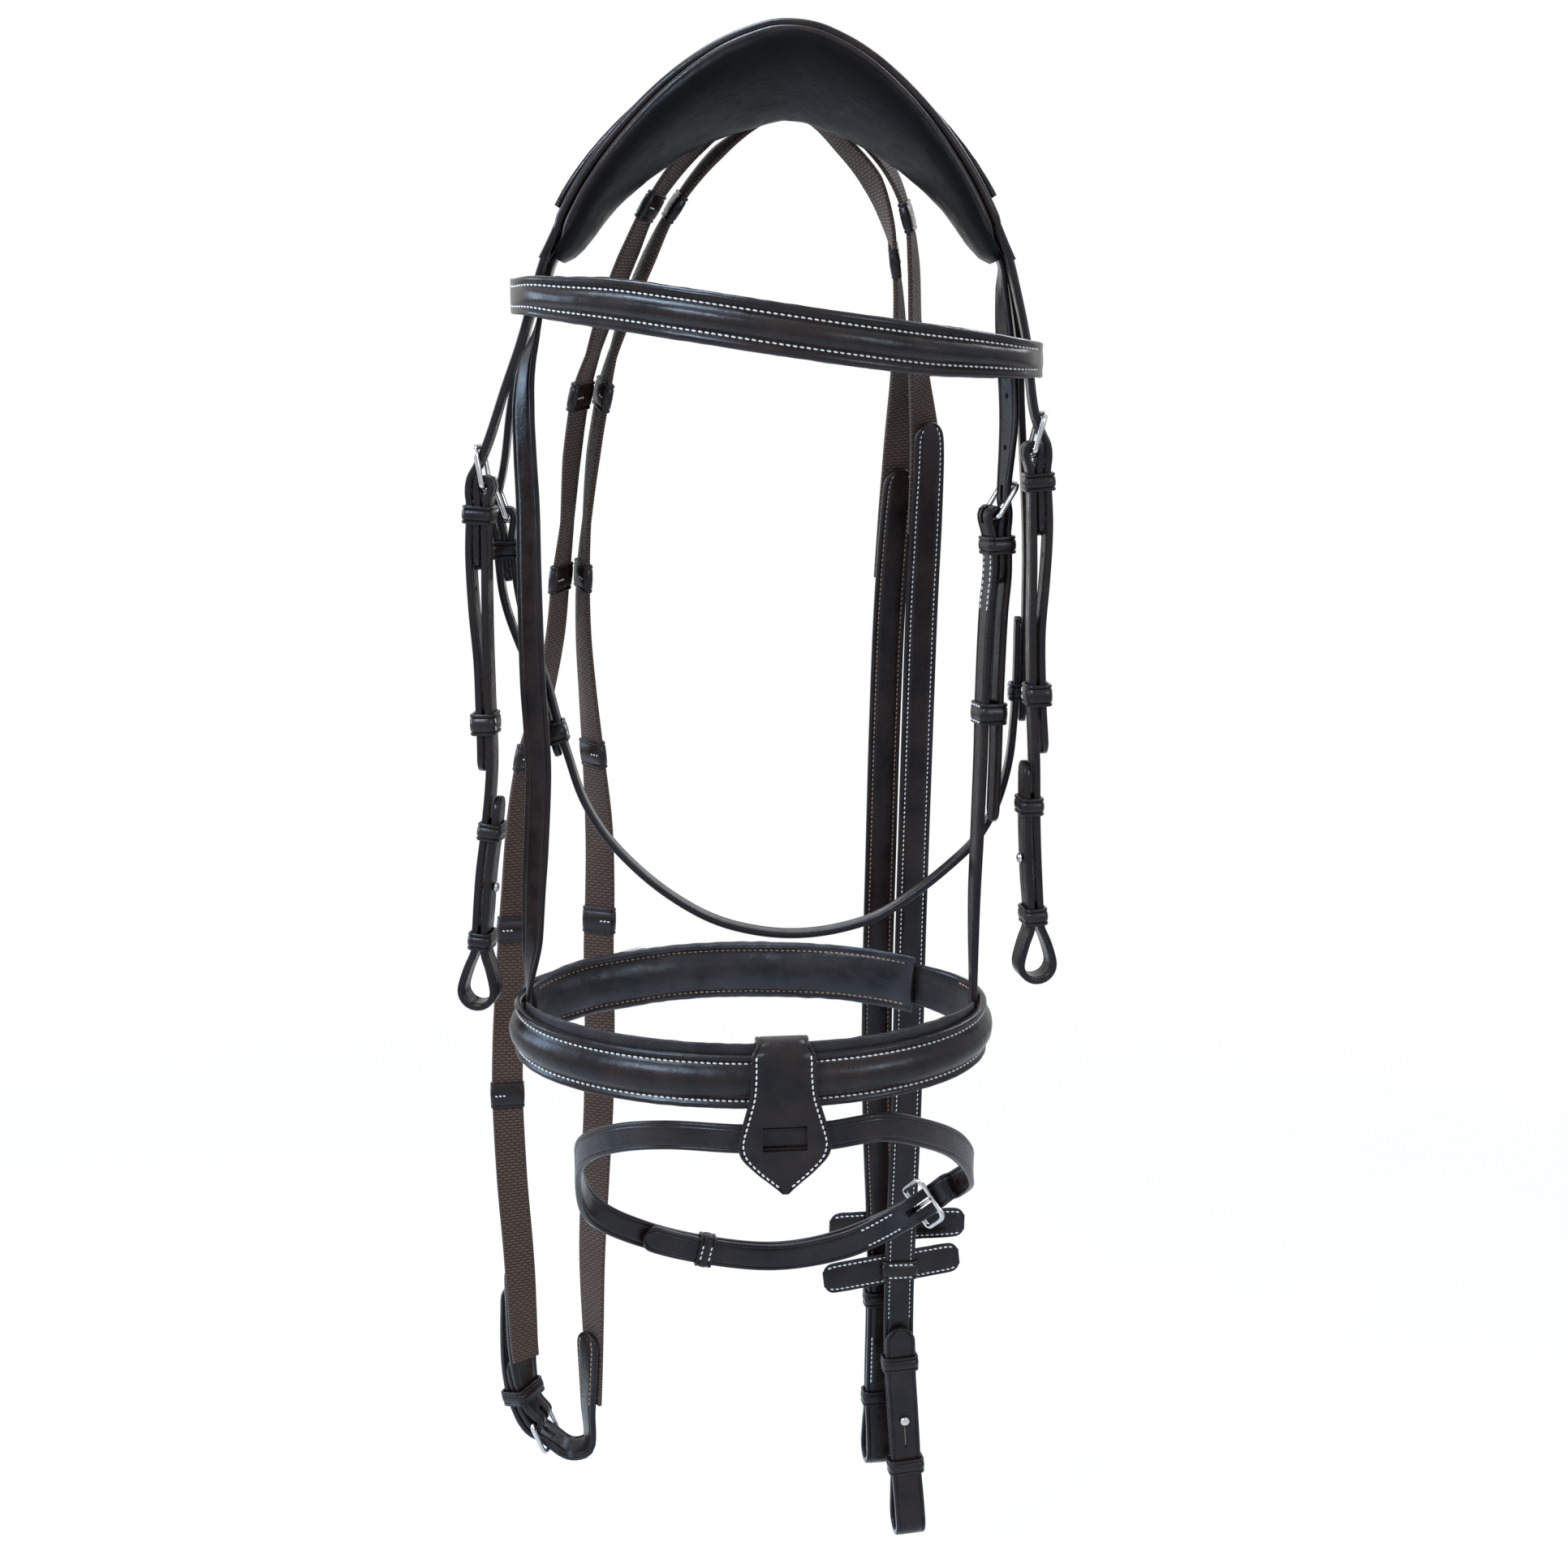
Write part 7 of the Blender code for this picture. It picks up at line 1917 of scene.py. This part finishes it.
# The camera, the floor and the light.
CAMERA_PLACE = (-0.0036, -1.2, -0.1076)
CAMERA_DIP = 10.75
CAMERA_LENS = 54.88
CAMERA_SENSOR = 36.0
AIM = Vector((0.0, 0.0, -0.40))
FLOOR_DROP = 0.870
FLOOR_REACH = 3.0
FLOOR_COLOUR = (0.86, 0.86, 0.86, 1.0)
FLOOR_GLOW = 0.62
FLOOR_NEAR = 0.35
FLOOR_FAR = 1.60
WORLD_LIGHT = 0.32
WHITE = (1.0, 1.0, 1.0, 1.0)
LAMPS = (("key", (-0.90, -1.20, 0.80), (0.42, 0.42), 27.0, (0.90, 0.95, 1.0)),
         ("fill", (1.2, -1.2, 0.3), (0.45, 0.45), 9.0, (1.0, 0.97, 0.93)),
         ("sky", (-0.35, 0.20, 1.15), (0.6, 0.6), 24.0, (0.70, 0.85, 1.0)),
         ("window", (-1.40, 0.15, 0.10), (0.5, 0.8), 16.0, (0.66, 0.83, 1.0)),
         ("rim", (0.8, 0.9, 0.7), (0.5, 0.5), 8.0, (0.90, 0.95, 1.0)))


def light_and_camera():
    """Make the camera, a pale floor, soft lamps and a white surround."""
    eye = bpy.data.cameras.new("camera")
    eye.lens = CAMERA_LENS
    eye.sensor_width = CAMERA_SENSOR
    viewer = new_object("camera", eye, CAMERA_PLACE)
    viewer.rotation_euler = (math.radians(90.0 - CAMERA_DIP), 0.0, 0.0)
    bpy.context.scene.camera = viewer

    look = Shader("floor_look", Roughness=0.9, Base_Color=FLOOR_COLOUR)
    seen = look.node("ShaderNodeLightPath").outputs["Is Camera Ray"]
    reach = look.node("ShaderNodeVectorMath", {0: look.places()}, operation="LENGTH")
    glow = look.node("ShaderNodeMapRange", {
        "Value": reach.outputs["Value"], "From Min": FLOOR_NEAR, "From Max": FLOOR_FAR,
        "To Min": FLOOR_GLOW, "To Max": 1.0,
    }, interpolation_type="SMOOTHSTEP").outputs["Result"]
    both = look.node("ShaderNodeMixShader", {
        0: look.maths("MULTIPLY", seen, glow), 1: look.surface.outputs[0],
        2: look.node("ShaderNodeEmission").outputs[0],
    })
    look.tree.links.new(both.outputs[0], look.tree.nodes["Material Output"].inputs["Surface"])
    corners = [(x * FLOOR_REACH, y * FLOOR_REACH, 0.0)
               for x, y in ((-1, -1), (1, -1), (1, 1), (-1, 1))]
    mesh = new_mesh("floor", corners, [(0, 1, 2, 3)])
    mesh.materials.append(look.material)
    new_object("floor", mesh, (0.0, 0.0, -FLOOR_DROP))

    for name, place, size, power, colour in LAMPS:
        lamp = bpy.data.lights.new(name, "AREA")
        lamp.shape = "RECTANGLE"
        lamp.size, lamp.size_y = size
        lamp.energy = power
        lamp.color = colour
        made = new_object(name, lamp, place)
        made.rotation_euler = (AIM - made.location).to_track_quat("-Z", "Y").to_euler()

    world = bpy.data.worlds.new("surround")
    world.use_nodes = True
    tree = world.node_tree
    tree.nodes.clear()
    rays = add_node(tree, "ShaderNodeLightPath").outputs
    seen = add_node(tree, "ShaderNodeMath", {0: rays["Is Camera Ray"], 1: rays["Is Glossy Ray"]},
                    operation="MAXIMUM")
    dim, plain = (add_node(tree, "ShaderNodeBackground", {"Color": WHITE, "Strength": strength})
                  for strength in (WORLD_LIGHT, 1.0))
    choice = add_node(tree, "ShaderNodeMixShader", {0: seen.outputs[0], 1: dim.outputs[0],
                                                    2: plain.outputs[0]})
    add_node(tree, "ShaderNodeOutputWorld", {"Surface": choice.outputs[0]})
    bpy.context.scene.world = world
    bpy.context.scene.view_settings.view_transform = "Standard"


dress_all()
light_and_camera()
